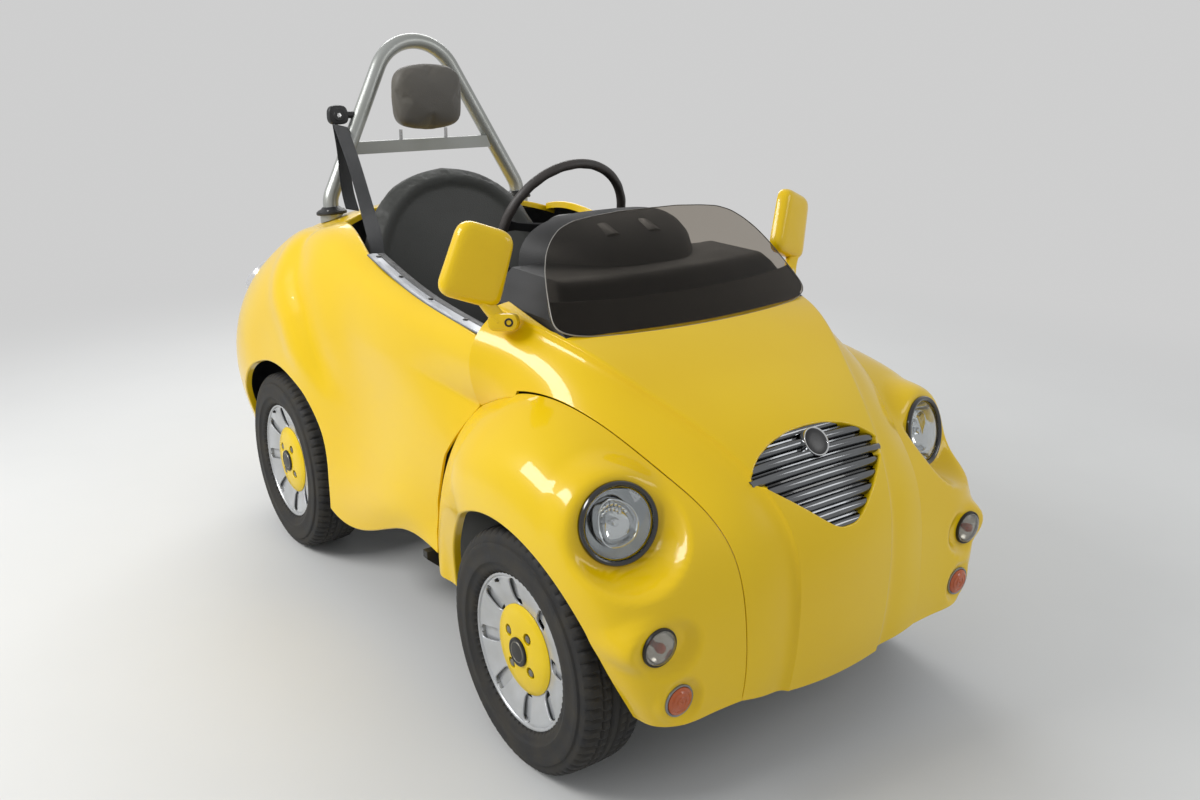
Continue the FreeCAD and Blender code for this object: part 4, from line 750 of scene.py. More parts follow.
@dataclass
class Panel:
    """A sheet pressed over a grid of points, cut to shape, with turned edges."""

    grid: Array
    cuts: Sequence[Cut] = ()
    edge: Roll = Roll()
    wall: float = 0.004
    inner_id: int = 1
    bend_steps: int = 4
    rim_id: int = 0

    def draft(self) -> Draft:
        """Cuts the sheet, turns its edges and gives it an inner face.

        Returns:
            The panel's faces, outer ones first.
        """
        points, normals, rolls, faces = self._sheet()
        for cut in self.cuts:
            points, normals, rolls, faces = self._cut(points, normals, rolls, faces, cut)
        used, faces = np.unique(faces, return_inverse=True)
        faces = faces.reshape(-1, 3)
        points, normals, rolls = points[used], normals[used], rolls[used]
        made = Draft()
        made.add(points, faces, 0, normals)
        made.add(points - normals * self.wall, faces[:, ::-1], self.inner_id, -normals)
        self._turn_edges(made, points, normals, rolls, faces)
        return made

    def _sheet(self) -> tuple[Array, Array, Array, Array]:
        """The uncut sheet: its points, normals, edge rolls and triangles.

        Returns:
            Points, normals, edge rolls and triangles.
        """
        rows, columns = self.grid.shape[:2]
        index = np.arange(rows * columns).reshape(rows, columns)
        a, b = index[:-1, :-1].ravel(), index[:-1, 1:].ravel()
        c, d = index[1:, 1:].ravel(), index[1:, :-1].ravel()
        faces = np.concatenate([np.stack([a, d, c], 1), np.stack([a, c, b], 1)])
        points = self.grid.reshape(-1, 3)
        rolls = np.tile([self.edge.radius, self.edge.depth], (len(points), 1))
        return points, grid_normals(self.grid).reshape(-1, 3), rolls, faces

    def _cut(self, points: Array, normals: Array, rolls: Array, faces: Array,
             cut: Cut) -> tuple[Array, Array, Array, Array]:
        """Takes away all that lies outside one cut.

        Args:
            points: The sheet's points.
            normals: The way each point faces.
            rolls: The turned edge each point gets if it ends up on the border.
            faces: The sheet's triangles.
            cut: What to cut.

        Returns:
            The same four after the cut.
        """
        level = cut.measure(points)
        level = np.where(np.abs(level) < 1e-7, -1e-7, level)
        kept = level < 0.0
        inside = kept[faces].sum(axis=1)
        whole = faces[inside == 3]
        one = self._first(faces[inside == 1], kept)
        two = self._first(faces[inside == 2], ~kept)
        pairs = np.concatenate([one[:, [0, 1]], one[:, [0, 2]], two[:, [0, 1]], two[:, [0, 2]]])
        if not len(pairs):
            return points, normals, rolls, whole
        unique, back = np.unique(np.sort(pairs, axis=1), axis=0, return_inverse=True)
        back = back.reshape(-1)
        low, high = unique[:, 0], unique[:, 1]
        t = (level[low] / (level[low] - level[high]))[:, None]
        fresh = points[low] + (points[high] - points[low]) * t
        facing = unit(normals[low] + (normals[high] - normals[low]) * t)
        number = back + len(points)
        n, m = len(one), len(two)
        ab, ac = number[:n], number[n:2 * n]
        cd, ce = number[2 * n:2 * n + m], number[2 * n + m:]
        faces = np.concatenate([whole, np.stack([one[:, 0], ab, ac], 1),
                                np.stack([cd, two[:, 1], two[:, 2]], 1),
                                np.stack([cd, two[:, 2], ce], 1)])
        roll = np.tile([cut.roll.radius, cut.roll.depth], (len(fresh), 1))
        return (np.vstack([points, fresh]), np.vstack([normals, facing]),
                np.vstack([rolls, roll]), faces)

    @staticmethod
    def _first(faces: Array, chosen: Array) -> Array:
        """Turns each triangle so that its one chosen corner comes first.

        Args:
            faces: The triangles.
            chosen: Which corner of each is the chosen one.

        Returns:
            The turned triangles.
        """
        turned = faces.copy()
        for k in (1, 2):
            picked = chosen[faces[:, k]]
            turned[picked] = np.roll(faces[picked], -k, axis=1)
        return turned

    def _turn_edges(self, made: Draft, points: Array, normals: Array, rolls: Array, faces: Array) -> None:
        """Adds the bend, the flange and its back along every border.

        Args:
            made: Where the faces go.
            points: The sheet's points.
            normals: Their normals.
            rolls: Their edge rolls.
            faces: The sheet's triangles.
        """
        edges = np.concatenate([faces[:, [0, 1]], faces[:, [1, 2]], faces[:, [2, 0]]])
        key = edges.min(axis=1) * len(points) + edges.max(axis=1)
        _, first, times = np.unique(key, return_index=True, return_counts=True)
        border = edges[first[times == 1]]
        corners, local = np.unique(border, return_inverse=True)
        local = local.reshape(-1, 2)
        run = unit(points[border[:, 1]] - points[border[:, 0]])
        away = np.zeros((len(corners), 3))
        for k in (0, 1):
            np.add.at(away, local[:, k], np.cross(run, normals[border[:, k]]))
        base, facing = points[corners], normals[corners]
        away = unit(away - facing * np.sum(away * facing, axis=1, keepdims=True))
        radius, depth = rolls[corners, :1], rolls[corners, 1:]
        rings = []
        for angle in np.linspace(0.0, math.pi / 2.0, self.bend_steps + 1):
            spot = base + away * radius * math.sin(angle) - facing * radius * (1.0 - math.cos(angle))
            rings.append((spot, facing * math.cos(angle) + away * math.sin(angle)))
        outer = base + away * radius - facing * depth
        rings.append((outer, away))
        self._strips(made, rings, local, self.rim_id)
        back = outer - away * 0.0015
        self._strips(made, [(outer, -facing), (back, -facing)], local, self.rim_id)
        skin = base - facing * self.wall
        self._strips(made, [(back, -away), (skin, -away)], local, self.inner_id)

    @staticmethod
    def _strips(made: Draft, rings: Sequence[tuple[Array, Array]], local: Array, finish_id: int) -> None:
        """Joins rows of border points with faces.

        Args:
            made: Where the faces go.
            rings: Rows of points with their normals.
            local: The border's edges as pairs of places in a row.
            finish_id: Which of the piece's finishes they get.
        """
        size = len(rings[0][0])
        quads = []
        for k in range(len(rings) - 1):
            a = local[:, 0] + k * size
            b = local[:, 1] + k * size
            quads.append(np.stack([b, a, a + size, b + size], axis=1))
        made.add(np.vstack([r[0] for r in rings]), np.concatenate(quads), finish_id,
                 np.vstack([r[1] for r in rings]))


# Painted body


# Angle about the front axle in degrees, then place across and radius of seam, crown and lip
FENDER_ROWS = (
    (2.0, 0.474, 0.402, 0.484, 0.345, 0.478, 0.292),
    (13.0, 0.464, 0.428, 0.488, 0.352, 0.486, 0.292),
    (24.0, 0.462, 0.448, 0.492, 0.364, 0.496, 0.292),
    (38.0, 0.459, 0.48, 0.495, 0.392, 0.509, 0.292),
    (48.0, 0.446, 0.492, 0.492, 0.422, 0.522, 0.292),
    (57.0, 0.412, 0.509, 0.486, 0.448, 0.535, 0.292),
    (72.0, 0.385, 0.506, 0.47, 0.462, 0.543, 0.292),
    (90.0, 0.354, 0.486, 0.454, 0.46, 0.545, 0.292),
    (120.0, 0.288, 0.456, 0.452, 0.43, 0.536, 0.292),
    (145.0, 0.236, 0.424, 0.442, 0.4, 0.515, 0.292),
    (165.0, 0.214, 0.398, 0.418, 0.379, 0.484, 0.292),
    (181.0, 0.204, 0.386, 0.385, 0.368, 0.442, 0.3),
)

# Place, height, tilt in degrees, crease across and down, skirt across and down, flank's bulge
COWL_ROWS = (
    (-0.388, 0.915, 0.0, 0.365, 0.03, 0.411, 0.24, 0.043),
    (-0.5, 0.893, 6.0, 0.345, 0.026, 0.413, 0.176, 0.014),
    (-0.622, 0.856, 20.0, 0.322, 0.012, 0.402, 0.124, 0.004),
    (-0.785, 0.782, 31.0, 0.255, 0.01, 0.368, 0.076, 0.0),
    (-0.93, 0.703, 43.0, 0.185, 0.014, 0.31, 0.072, 0.0),
    (-1.05, 0.56, 74.0, 0.13, 0.012, 0.264, 0.046, 0.0),
    (-1.069, 0.4, 90.0, 0.12, 0.006, 0.25, 0.024, 0.0),
    (-1.058, 0.262, 98.0, 0.12, 0.004, 0.248, 0.012, 0.0),
    (-1.044, 0.19, 101.0, 0.12, 0.004, 0.248, 0.01, 0.0),
)

# The seam between front fender and side panel: places across, along and up
VALLEY = (
    (0.411, -0.388, 0.675),
    (0.441, -0.35, 0.616),
    (0.457, -0.303, 0.546),
    (0.46, -0.268, 0.427),
    (0.463, -0.264, 0.351),
    (0.472, -0.279, 0.306),
)

# Place along the car, then places across and up from the cockpit's edge to the sill
SIDE_SECTIONS = (
    (-0.1, (0.408, 0.852), (0.434, 0.828), (0.451, 0.78), (0.459, 0.71), (0.46, 0.62),
     (0.466, 0.52), (0.48, 0.42), (0.489, 0.35), (0.48, 0.3)),
    (0.18, (0.392, 0.896), (0.426, 0.872), (0.45, 0.822), (0.463, 0.75), (0.468, 0.66),
     (0.474, 0.54), (0.489, 0.4), (0.506, 0.3), (0.51, 0.222)),
    (0.4, (0.35, 0.944), (0.41, 0.918), (0.456, 0.856), (0.49, 0.776), (0.511, 0.69),
     (0.52, 0.6), (0.525, 0.48), (0.529, 0.36), (0.53, 0.24)),
    (0.58, (0.336, 0.91), (0.4, 0.896), (0.452, 0.85), (0.494, 0.788), (0.519, 0.718),
     (0.529, 0.62), (0.536, 0.51), (0.541, 0.4), (0.545, 0.292)),
)

# The valley ahead of the rear fender: places along and up
FOLD = (
    (0.52, 0.905),
    (0.503, 0.863),
    (0.465, 0.808),
    (0.389, 0.741),
    (0.327, 0.647),
    (0.276, 0.565),
    (0.245, 0.52),
)

# Angle about the rear axle in degrees, and the arch's radius there
REAR_ARCH = (
    (-30.0, 0.28),
    (20.0, 0.281),
    (45.0, 0.284),
    (80.0, 0.299),
    (97.0, 0.313),
    (112.0, 0.328),
    (128.0, 0.34),
    (150.0, 0.341),
    (170.0, 0.338),
    (190.0, 0.345),
    (230.0, 0.35),
)

# Angle about the rear axle in degrees, then place across and radius of seam, crown and lip
QUARTER_ROWS = (
    (62.0, 0.305, 0.612, 0.43, 0.574, 0.541, 0.278),
    (36.0, 0.275, 0.56, 0.412, 0.548, 0.53, 0.278),
    (18.0, 0.262, 0.502, 0.395, 0.5, 0.505, 0.278),
    (3.0, 0.255, 0.47, 0.375, 0.466, 0.48, 0.278),
)

# Place, height, tilt in degrees, skirt across and down
DECK_ROWS = (
    (0.5, 0.972, 0.0, 0.392, 0.07),
    (0.56, 0.968, 4.0, 0.384, 0.066),
    (0.69, 0.944, 16.0, 0.366, 0.06),
    (0.83, 0.876, 33.0, 0.348, 0.05),
    (0.96, 0.768, 50.0, 0.33, 0.042),
    (1.04, 0.636, 68.0, 0.312, 0.034),
    (1.068, 0.5, 83.0, 0.304, 0.028),
    (1.07, 0.39, 90.0, 0.298, 0.026),
    (1.064, 0.29, 94.0, 0.292, 0.024),
)

# Places across and along
COWL_SEAM = (
    (0.424, -0.388),
    (0.412, -0.5),
    (0.388, -0.625),
    (0.338, -0.8),
    (0.282, -0.935),
    (0.256, -1.01),
    (0.226, -1.1),
)

# Places across and along
DECK_SEAM = (
    (0.374, 0.49),
    (0.368, 0.52),
    (0.346, 0.64),
    (0.32, 0.86),
    (0.29, 1.0),
    (0.27, 1.12),
)


def between(a: Array, b: Array, across: float, along: float) -> Array:
    """A point part of the way from a to b, by its own share in each direction."""
    return a + (b - a) * np.array([across, along])


def side_zone_y(z: Array) -> Array:
    """Where the seam between the front fender and the side panel runs, by height.

    Args:
        z: The heights.

    Returns:
        The seam's place along the car at each height.
    """
    line = np.array(VALLEY[::-1])
    heights = np.concatenate([[0.2], line[:, 2], [1.2]])
    places = np.concatenate([[line[0, 1]], line[:, 1], [line[-1, 1]]])
    return np.interp(z, heights, places)


def behind_line(spots: Array, line: Sequence[Sequence[float]]) -> Array:
    """How far flat spots lie behind an open line that runs downwards and forwards.

    Args:
        spots: Places along the car and heights, n by 2.
        line: The line's corners, highest first.

    Returns:
        The distance to the line, below zero in front of it.
    """
    corners = np.array(line)
    nearest = np.full(len(spots), np.inf)
    sign = np.ones(len(spots))
    for a, b in zip(corners[:-1], corners[1:]):
        edge = b - a
        t = np.clip(((spots - a) @ edge) / (edge @ edge), 0.0, 1.0)
        away = spots - a - t[:, None] * edge
        distance = np.linalg.norm(away, axis=1)
        turn = edge[0] * away[:, 1] - edge[1] * away[:, 0]
        closer = distance < nearest
        nearest = np.where(closer, distance, nearest)
        sign = np.where(closer, np.where(turn > 0.0, 1.0, -1.0), sign)
    return nearest * sign


def plan_x(seam: Sequence[Sequence[float]], y: Array) -> Array:
    """Where a seam seen from above lies across the car, by place along it."""
    table = np.array(sorted(seam, key=lambda spot: spot[1]))
    return spline(table[:, 1], table[:, :1], np.clip(y, table[0, 1], table[-1, 1]))[:, 0]


@dataclass(frozen=True)
class Dish:
    """A soft hollow pressed round a lamp, in the plane that the lamp faces."""

    place: Place
    flat: float
    fade: float
    offset: float = 0.0
    stretch: tuple[float, float] = (1.0, 1.0)
    shift: tuple[float, float] = (0.0, 0.0)

    def press(self, grid: Array) -> Array:
        """Presses the hollow into a grid of points.

        Args:
            grid: The panel's points.

        Returns:
            The panel's points with the hollow in them.
        """
        local = self.place.local(grid.reshape(-1, 3))
        u = (local[:, 0] - self.shift[0]) / self.stretch[0]
        v = (local[:, 1] - self.shift[1]) / self.stretch[1]
        share = 1.0 - eased(self.flat, self.fade, np.hypot(u, v))
        share = np.where(np.abs(local[:, 2]) < 0.1, share, 0.0)
        local[:, 2] += (self.offset - local[:, 2]) * share
        return self.place.at(local).reshape(grid.shape)


def over_wheel(row: Array, axle_y: float, turn: float, count: int) -> Array:
    """A section of the bodywork over a wheel, from the seam over the crown to the lip.

    Args:
        row: The place across the car and the radius of the seam, of the crown and of the lip.
        axle_y: Where the wheel's axle is along the car.
        turn: The section's angle about the axle.
        count: How many points it gets.

    Returns:
        The section's points.
    """
    seam, crown, lip = row[0:2], row[2:4], row[4:6]
    corners = [seam, between(seam, crown, 0.5, 0.38), crown, between(crown, lip, 0.8, 0.42), lip]
    run = smooth_run(corners, count)
    return np.column_stack([run[:, 0], axle_y + run[:, 1] * math.cos(turn),
                            TYRE_RADIUS + run[:, 1] * math.sin(turn)])


@dataclass
class Bodywork:
    """The painted panels."""

    seam: float = 0.0024
    groove: float = 0.0085
    groove_width: float = 0.02
    nose_round: float = 0.0055
    tail_round: float = 0.05
    scuttle_end: float = -0.52
    front_arch: float = 0.3
    arch_roll: Roll = Roll(0.005, 0.018)
    rim_roll: Roll = Roll(0.006, 0.02)
    rear_arch: float = 0.278
    tail_hole: float = 0.0672
    deck_line: Array = field(default_factory=lambda: np.zeros((2, 2)))

    def build(self, lamps: "FrontLamps", grille: "Grille") -> None:
        """Builds every painted panel.

        Args:
            lamps: The front lamps that the fenders are cut and dished for.
            grille: The grille that the cowl is cut for.
        """
        finishes = [BODY_YELLOW, UNDERSEAL]
        skin = lofted(np.array([self.crowned(row, False) for row in COWL_ROWS]), 140)
        grille.settle(skin)
        cowl = self.cowl(skin, grille)
        cowl.piece("front_cowl_panel", finishes, "car_body", slot="body_paint", stands_for=["front_cowl"])
        fender = self.fender(lamps, self._seam_line(skin))
        deck = self.deck()
        side = self.side()
        for mirror, hand in HANDS:
            fender.piece(f"front_fender_panel_{hand}", finishes, "car_body", mirror, "body_paint",
                         [f"front_fender_{hand}"])
            side.piece(f"side_panel_skin_{hand}", finishes, "car_body", mirror, "body_paint",
                       [f"side_panel_{hand}"])
        deck.piece("rear_deck_panel", finishes, "car_body", slot="body_paint", stands_for=["rear_deck"])

    def _past_seam(self, points: Array) -> Array:
        """How far points of the cowl lie outside its side seams.

        Args:
            points: The cowl's points.

        Returns:
            The distance across the car, below zero inside the seams.
        """
        beyond = np.abs(points[:, 0]) - plan_x(COWL_SEAM, points[:, 1])
        return np.where(points[:, 1] > self.scuttle_end, -1.0, beyond)

    def _seam_line(self, skin: Array) -> Array:
        """Finds the cowl's left seam as the front axle sees it.

        Args:
            skin: The cowl's grid of points.

        Returns:
            Rows of angle from rearward in degrees, x and radius, by rising angle.
        """
        made = []
        for row in skin:
            right = row[row[:, 0] > 0.0]
            beyond = self._past_seam(right)
            crossing = np.nonzero((beyond[:-1] < 0.0) & (beyond[1:] >= 0.0))[0]
            spot = right[-1]
            if len(crossing):
                k = crossing[-1]
                spot = right[k] + (right[k + 1] - right[k]) * beyond[k] / (beyond[k] - beyond[k + 1])
            up, back = spot[2] - TYRE_RADIUS, spot[1] - FRONT_AXLE_Y
            made.append((math.degrees(math.atan2(up, back)), spot[0], math.hypot(up, back)))
        return np.array(sorted(made))

    def fender(self, lamps: "FrontLamps", seam_line: Array) -> Draft:
        """The left front fender.

        Args:
            lamps: The lamps it carries.
            seam_line: The cowl's seam about the front axle: angle, x and radius.

        Returns:
            The fender's faces.
        """
        table = np.array(FENDER_ROWS)
        angles = np.linspace(table[0, 0], table[-1, 0], 125)
        columns = spline(table[:, 0], table[:, 1:], angles)
        beside = angles >= seam_line[0, 0]
        columns[beside, 0] = np.interp(angles[beside], seam_line[:, 0], seam_line[:, 1])
        columns[beside, 1] = np.interp(angles[beside], seam_line[:, 0], seam_line[:, 2]) - self.seam / 2.0
        rows = []
        for angle, row in zip(np.radians(angles), columns):
            rows.append(over_wheel(row, FRONT_AXLE_Y, angle, 76))
        grid = np.array(rows)
        for dish in lamps.dishes():
            grid = dish.press(grid)
        half = self.seam / 2.0
        cuts = [
            Cut(lambda p: np.where(p[:, 1] > self.scuttle_end, -1.0,
                                   plan_x(COWL_SEAM, p[:, 1]) + half - p[:, 0])),
            Cut(lambda p: p[:, 1] - side_zone_y(p[:, 2]) + half),
            Cut(lambda p: self.front_arch - np.hypot(p[:, 1] - FRONT_AXLE_Y, p[:, 2] - TYRE_RADIUS),
                self.arch_roll),
        ]
        cuts += lamps.cuts()
        return Panel(grid, cuts).draft()

    def crowned(self, row: Sequence[float], tail: bool) -> Array:
        """One section of a centre panel, from its left skirt over both creases to its right one.

        Args:
            row: Place, height, tilt, crease and skirt of the section, and its flank's bulge.
            tail: Whether it faces backwards.

        Returns:
            The section's points.
        """
        y, z, tilt, crease_x, crease_drop, skirt_x, skirt_drop, bulge = row
        lean = math.radians(tilt)
        facing = 1.0 if tail else -1.0
        skirt = np.array([-skirt_x, -skirt_drop])
        crease = np.array([-crease_x, -crease_drop])
        crown = np.array([0.0, 0.0])
        run = unit(crease - skirt)
        middle = between(skirt, crease, 0.44, 0.52) + np.array([-run[1], run[0]]) * bulge
        flank = bow(skirt, middle, crease, 60)
        top = bow(crease, crown, crease * FLIP, 240)
        round_over = self.tail_round if tail else self.nose_round
        flank = np.vstack([flank, crease])
        far = run_lengths(flank)
        start = np.array([np.interp(far[-1] - round_over, far, flank[:, k]) for k in (0, 1)])
        flank = evened(np.vstack([flank[far < far[-1] - round_over], start]), 34)
        if not tail:
            away = (far[-1] - round_over - run_lengths(flank)) / self.groove_width
            flank = flank - np.array([-run[1], run[0]]) * (self.groove * away * np.exp(1.0 - away))[:, None]
        distance = run_lengths(top)
        end = np.array([np.interp(round_over, distance, top[:, k]) for k in (0, 1)])
        inner = top[(distance > round_over) & (top[:, 0] < 0.0)]
        inner = evened(np.vstack([end, inner, crown]), 32)
        t = np.linspace(0.0, 1.0, 7)[1:-1, None]
        bend = start * (1 - t) ** 2 + crease * 2 * t * (1 - t) + end * t * t
        half = np.vstack([flank, bend, inner])
        run = np.vstack([half, half[-2::-1] * FLIP])
        return np.column_stack([run[:, 0], y + facing * run[:, 1] * math.sin(lean),
                                z + run[:, 1] * math.cos(lean)])

    def cowl(self, skin: Array, grille: "Grille") -> Draft:
        """The hood, scuttle and nose in one panel.

        Args:
            skin: The cowl's grid of points.
            grille: The grille that it is cut for.

        Returns:
            The cowl's faces.
        """
        half = self.seam / 2.0
        opening = softened([(-0.338, -0.3), (0.338, -0.3), (0.338, -0.56), (0.292, -0.598),
                            (-0.292, -0.598), (-0.338, -0.56)], 0.03)
        cuts = [
            Cut(lambda p: self._past_seam(p) + half),
            Cut(lambda p: np.where(p[:, 2] < 0.4, 0.217 + 0.033 * (p[:, 0] / 0.25) ** 2 - p[:, 2], -1.0),
                Roll(0.004, 0.014)),
            Cut(lambda p: np.where(p[:, 2] > 0.6, -outline_distance(p[:, :2], opening), -1.0),
                Roll(0.004, 0.015)),
            Cut(grille.measure, Roll(0.003, 0.016)),
        ]
        return Panel(skin, cuts).draft()

    def deck(self) -> Draft:
        """The rounded cover behind the seat, with its front edge curved round the seat's back.

        Returns:
            The deck's faces.
        """
        rows = []
        for y, z, tilt, x, drop in DECK_ROWS:
            rows.append(self.crowned((y, z, tilt, x * 0.62, drop * 0.34, x, drop, 0.0), True))
        grid = lofted(np.array(rows), 85)[::-1]
        self.deck_line = self._deck_seam(grid)
        half = self.seam / 2.0
        cuts = [
            Cut(lambda p: np.abs(p[:, 0]) - plan_x(DECK_SEAM, p[:, 1]) + half),
            Cut(lambda p: 0.56 - 0.052 * eased(0.2, 0.33, np.abs(p[:, 0])) - p[:, 1], Roll(0.005, 0.016)),
        ]
        return Panel(grid, cuts, edge=Roll(0.004, 0.014)).draft()

    @staticmethod
    def _deck_crossing(row: Array) -> tuple[float, float, float] | None:
        """Where a run of points crosses the deck's left seam.

        Args:
            row: The points, from the middle of the car outwards.

        Returns:
            The place along the run, and the angle and radius about the rear axle, or None.
        """
        beyond = row[:, 0] - plan_x(DECK_SEAM, row[:, 1])
        crossing = np.nonzero((beyond[:-1] < 0.0) & (beyond[1:] >= 0.0))[0]
        if not len(crossing) or row[crossing[0], 1] < 0.48:
            return None
        k = crossing[0]
        share = beyond[k] / (beyond[k] - beyond[k + 1])
        spot = row[k] + (row[k + 1] - row[k]) * share
        far = run_lengths(row)
        up, back = spot[2] - TYRE_RADIUS, spot[1] - REAR_AXLE_Y
        return float(far[k] + (far[k + 1] - far[k]) * share), math.atan2(up, back), math.hypot(up, back)

    def _deck_seam(self, skin: Array) -> Array:
        """The deck's left seam as rows of angle and radius about the rear axle, by rising angle.

        Args:
            skin: The deck's grid of points.

        Returns:
            The rows.
        """
        found = [self._deck_crossing(row[row[:, 0] > 0.0]) for row in skin]
        return np.array(sorted(spot[1:] for spot in found if spot))

    def _met(self, grid: Array) -> Array:
        """Lifts the side panel's grid so that it meets the deck along their seam.

        Args:
            grid: The side's grid of points.

        Returns:
            The lifted grid.
        """
        made = grid.copy()
        for row in made:
            found = self._deck_crossing(row)
            if found is None:
                continue
            at, turn, radius = found
            lift = np.interp(turn, self.deck_line[:, 0], self.deck_line[:, 1]) - radius
            lift *= float(eased(0.49, 0.54, np.array(REAR_AXLE_Y + radius * math.cos(turn))))
            weight = lift * np.exp(-((run_lengths(row) - at) / 0.1) ** 2)
            row[:, 1] += weight * math.cos(turn)
            row[:, 2] += weight * math.sin(turn)
        return made

    def _side_front(self) -> Array:
        """The side panel's first section: down the cowl's end, then along the fender's valley.

        Returns:
            The section's points, a little ahead of the seam.
        """
        end = self.crowned(COWL_ROWS[0], False)
        beside = end[(end[:, 0] > COWL_ROWS[0][3]) & (end[:, 2] < 0.827)]
        run = np.vstack([beside, np.array(VALLEY)])
        keep = np.concatenate([[True], np.linalg.norm(np.diff(run, axis=0), axis=1) > 1e-4])
        lower = smooth_run(np.array(VALLEY), 60)
        upper = run[keep][:len(beside)]
        return evened(np.vstack([upper[upper[:, 2] > 0.68], lower]), 80) - np.array([0.0, 0.005, 0.0])

    def side(self) -> Draft:
        """The left side, from the front seam over the sill and round to the tail.

        Returns:
            The side panel's faces.
        """
        flank_rows = [self._side_front()]
        for y, *corners in SIDE_SECTIONS:
            run = smooth_run(corners, 80)
            flank_rows.append(np.column_stack([run[:, 0], np.full(80, y), run[:, 1]]))
        flank = lofted(np.array(flank_rows), 200)
        rows = flank_rows[:3]
        for angle, top_y in ((172.0, 0.3), (150.0, 0.39), (120.0, 0.485), (90.0, 0.58)):
            turn = math.radians(angle)
            low = np.array([REAR_AXLE_Y + self.rear_arch * math.cos(turn),
                            TYRE_RADIUS + self.rear_arch * math.sin(turn)])
            rows.append(self._across_flank(flank, top_y, low))
        for angle, *row in QUARTER_ROWS:
            rows.append(over_wheel(np.array(row), REAR_AXLE_Y, math.radians(angle), 80))
        grid = self._met(self._folded(lofted(np.array(rows), 155)))
        half = self.seam / 2.0
        arch = np.array(REAR_ARCH)
        cuts = [
            Cut(lambda p: side_zone_y(p[:, 2]) + half - p[:, 1]),
            Cut(lambda p: np.where(p[:, 1] > 0.5, plan_x(DECK_SEAM, p[:, 1]) + half - p[:, 0], -1.0)),
            Cut(lambda p: self._inside_arch(p, arch), self.arch_roll),
            Cut(lambda p: np.where(p[:, 1] > 0.7,
                                   self.tail_hole - np.hypot(*TAIL_LAMP.local(p)[:, :2].T), -1.0)),
        ]
        return Panel(grid[::-1], cuts, edge=self.rim_roll).draft()

    @staticmethod
    def _inside_arch(points: Array, arch: Array) -> Array:
        """Above zero inside the rear arch.

        Args:
            points: Points of the side panel.
            arch: The arch's radius by angle from rearward, in degrees.

        Returns:
            How far each point is inside the arch.
        """
        back, up = points[:, 1] - REAR_AXLE_Y, points[:, 2] - TYRE_RADIUS
        turn = np.degrees(np.arctan2(up, back))
        turn = np.where(turn < -90.0, turn + 360.0, turn)
        return np.interp(turn, arch[:, 0], arch[:, 1]) - np.hypot(back, up)

    @staticmethod
    def _folded(grid: Array) -> Array:
        """Presses the soft valley ahead of the rear fender into the side.

        Args:
            grid: The side's grid of points.

        Returns:
            The grid with the valley and the swell behind it.
        """
        points = grid.reshape(-1, 3)
        behind = behind_line(points[:, 1:], FOLD)
        width = np.where(behind < 0.0, 0.06, 0.03)
        valley = -0.013 * np.exp(-(behind / width) ** 2)
        swell = 0.009 * np.exp(-((behind - 0.075) / 0.045) ** 2)
        share = eased(0.515, 0.63, points[:, 2]) * (1.0 - eased(0.84, 0.93, points[:, 2]))
        near = np.abs(points[:, 1] - 0.38) < 0.34
        moved = points.copy()
        moved[:, 0] += np.where(near, (valley + swell) * share, 0.0)
        return moved.reshape(grid.shape)

    @staticmethod
    def _across_flank(flank: Array, top_y: float, low: Array) -> Array:
        """Lays a section over the flank's skin from the cockpit edge to a point on the arch.

        Args:
            flank: The flank's grid, front to back and top to bottom.
            top_y: Where the section starts along the cockpit edge.
            low: Where it ends, along the car and in height.

        Returns:
            The section's points.
        """
        places = flank[:, 0, 1]
        shares = np.linspace(0.0, 1.0, 200)
        column = np.interp(low[0], places, np.arange(len(places)))
        section = flank[int(round(column))]
        depth = np.interp(-low[1], -section[:, 2], np.linspace(0.0, 1.0, len(section)))
        y = top_y + (low[0] - top_y) * shares
        rows = np.interp(y, places, np.arange(len(places)))
        columns = shares * depth * (flank.shape[1] - 1)
        i = np.clip(rows.astype(int), 0, flank.shape[0] - 2)
        j = np.clip(columns.astype(int), 0, flank.shape[1] - 2)
        fi, fj = (rows - i)[:, None], (columns - j)[:, None]
        run = (flank[i, j] * (1 - fi) * (1 - fj) + flank[i + 1, j] * fi * (1 - fj)
               + flank[i, j + 1] * (1 - fi) * fj + flank[i + 1, j + 1] * fi * fj)
        return evened(run, 80)


# Lamps and nose


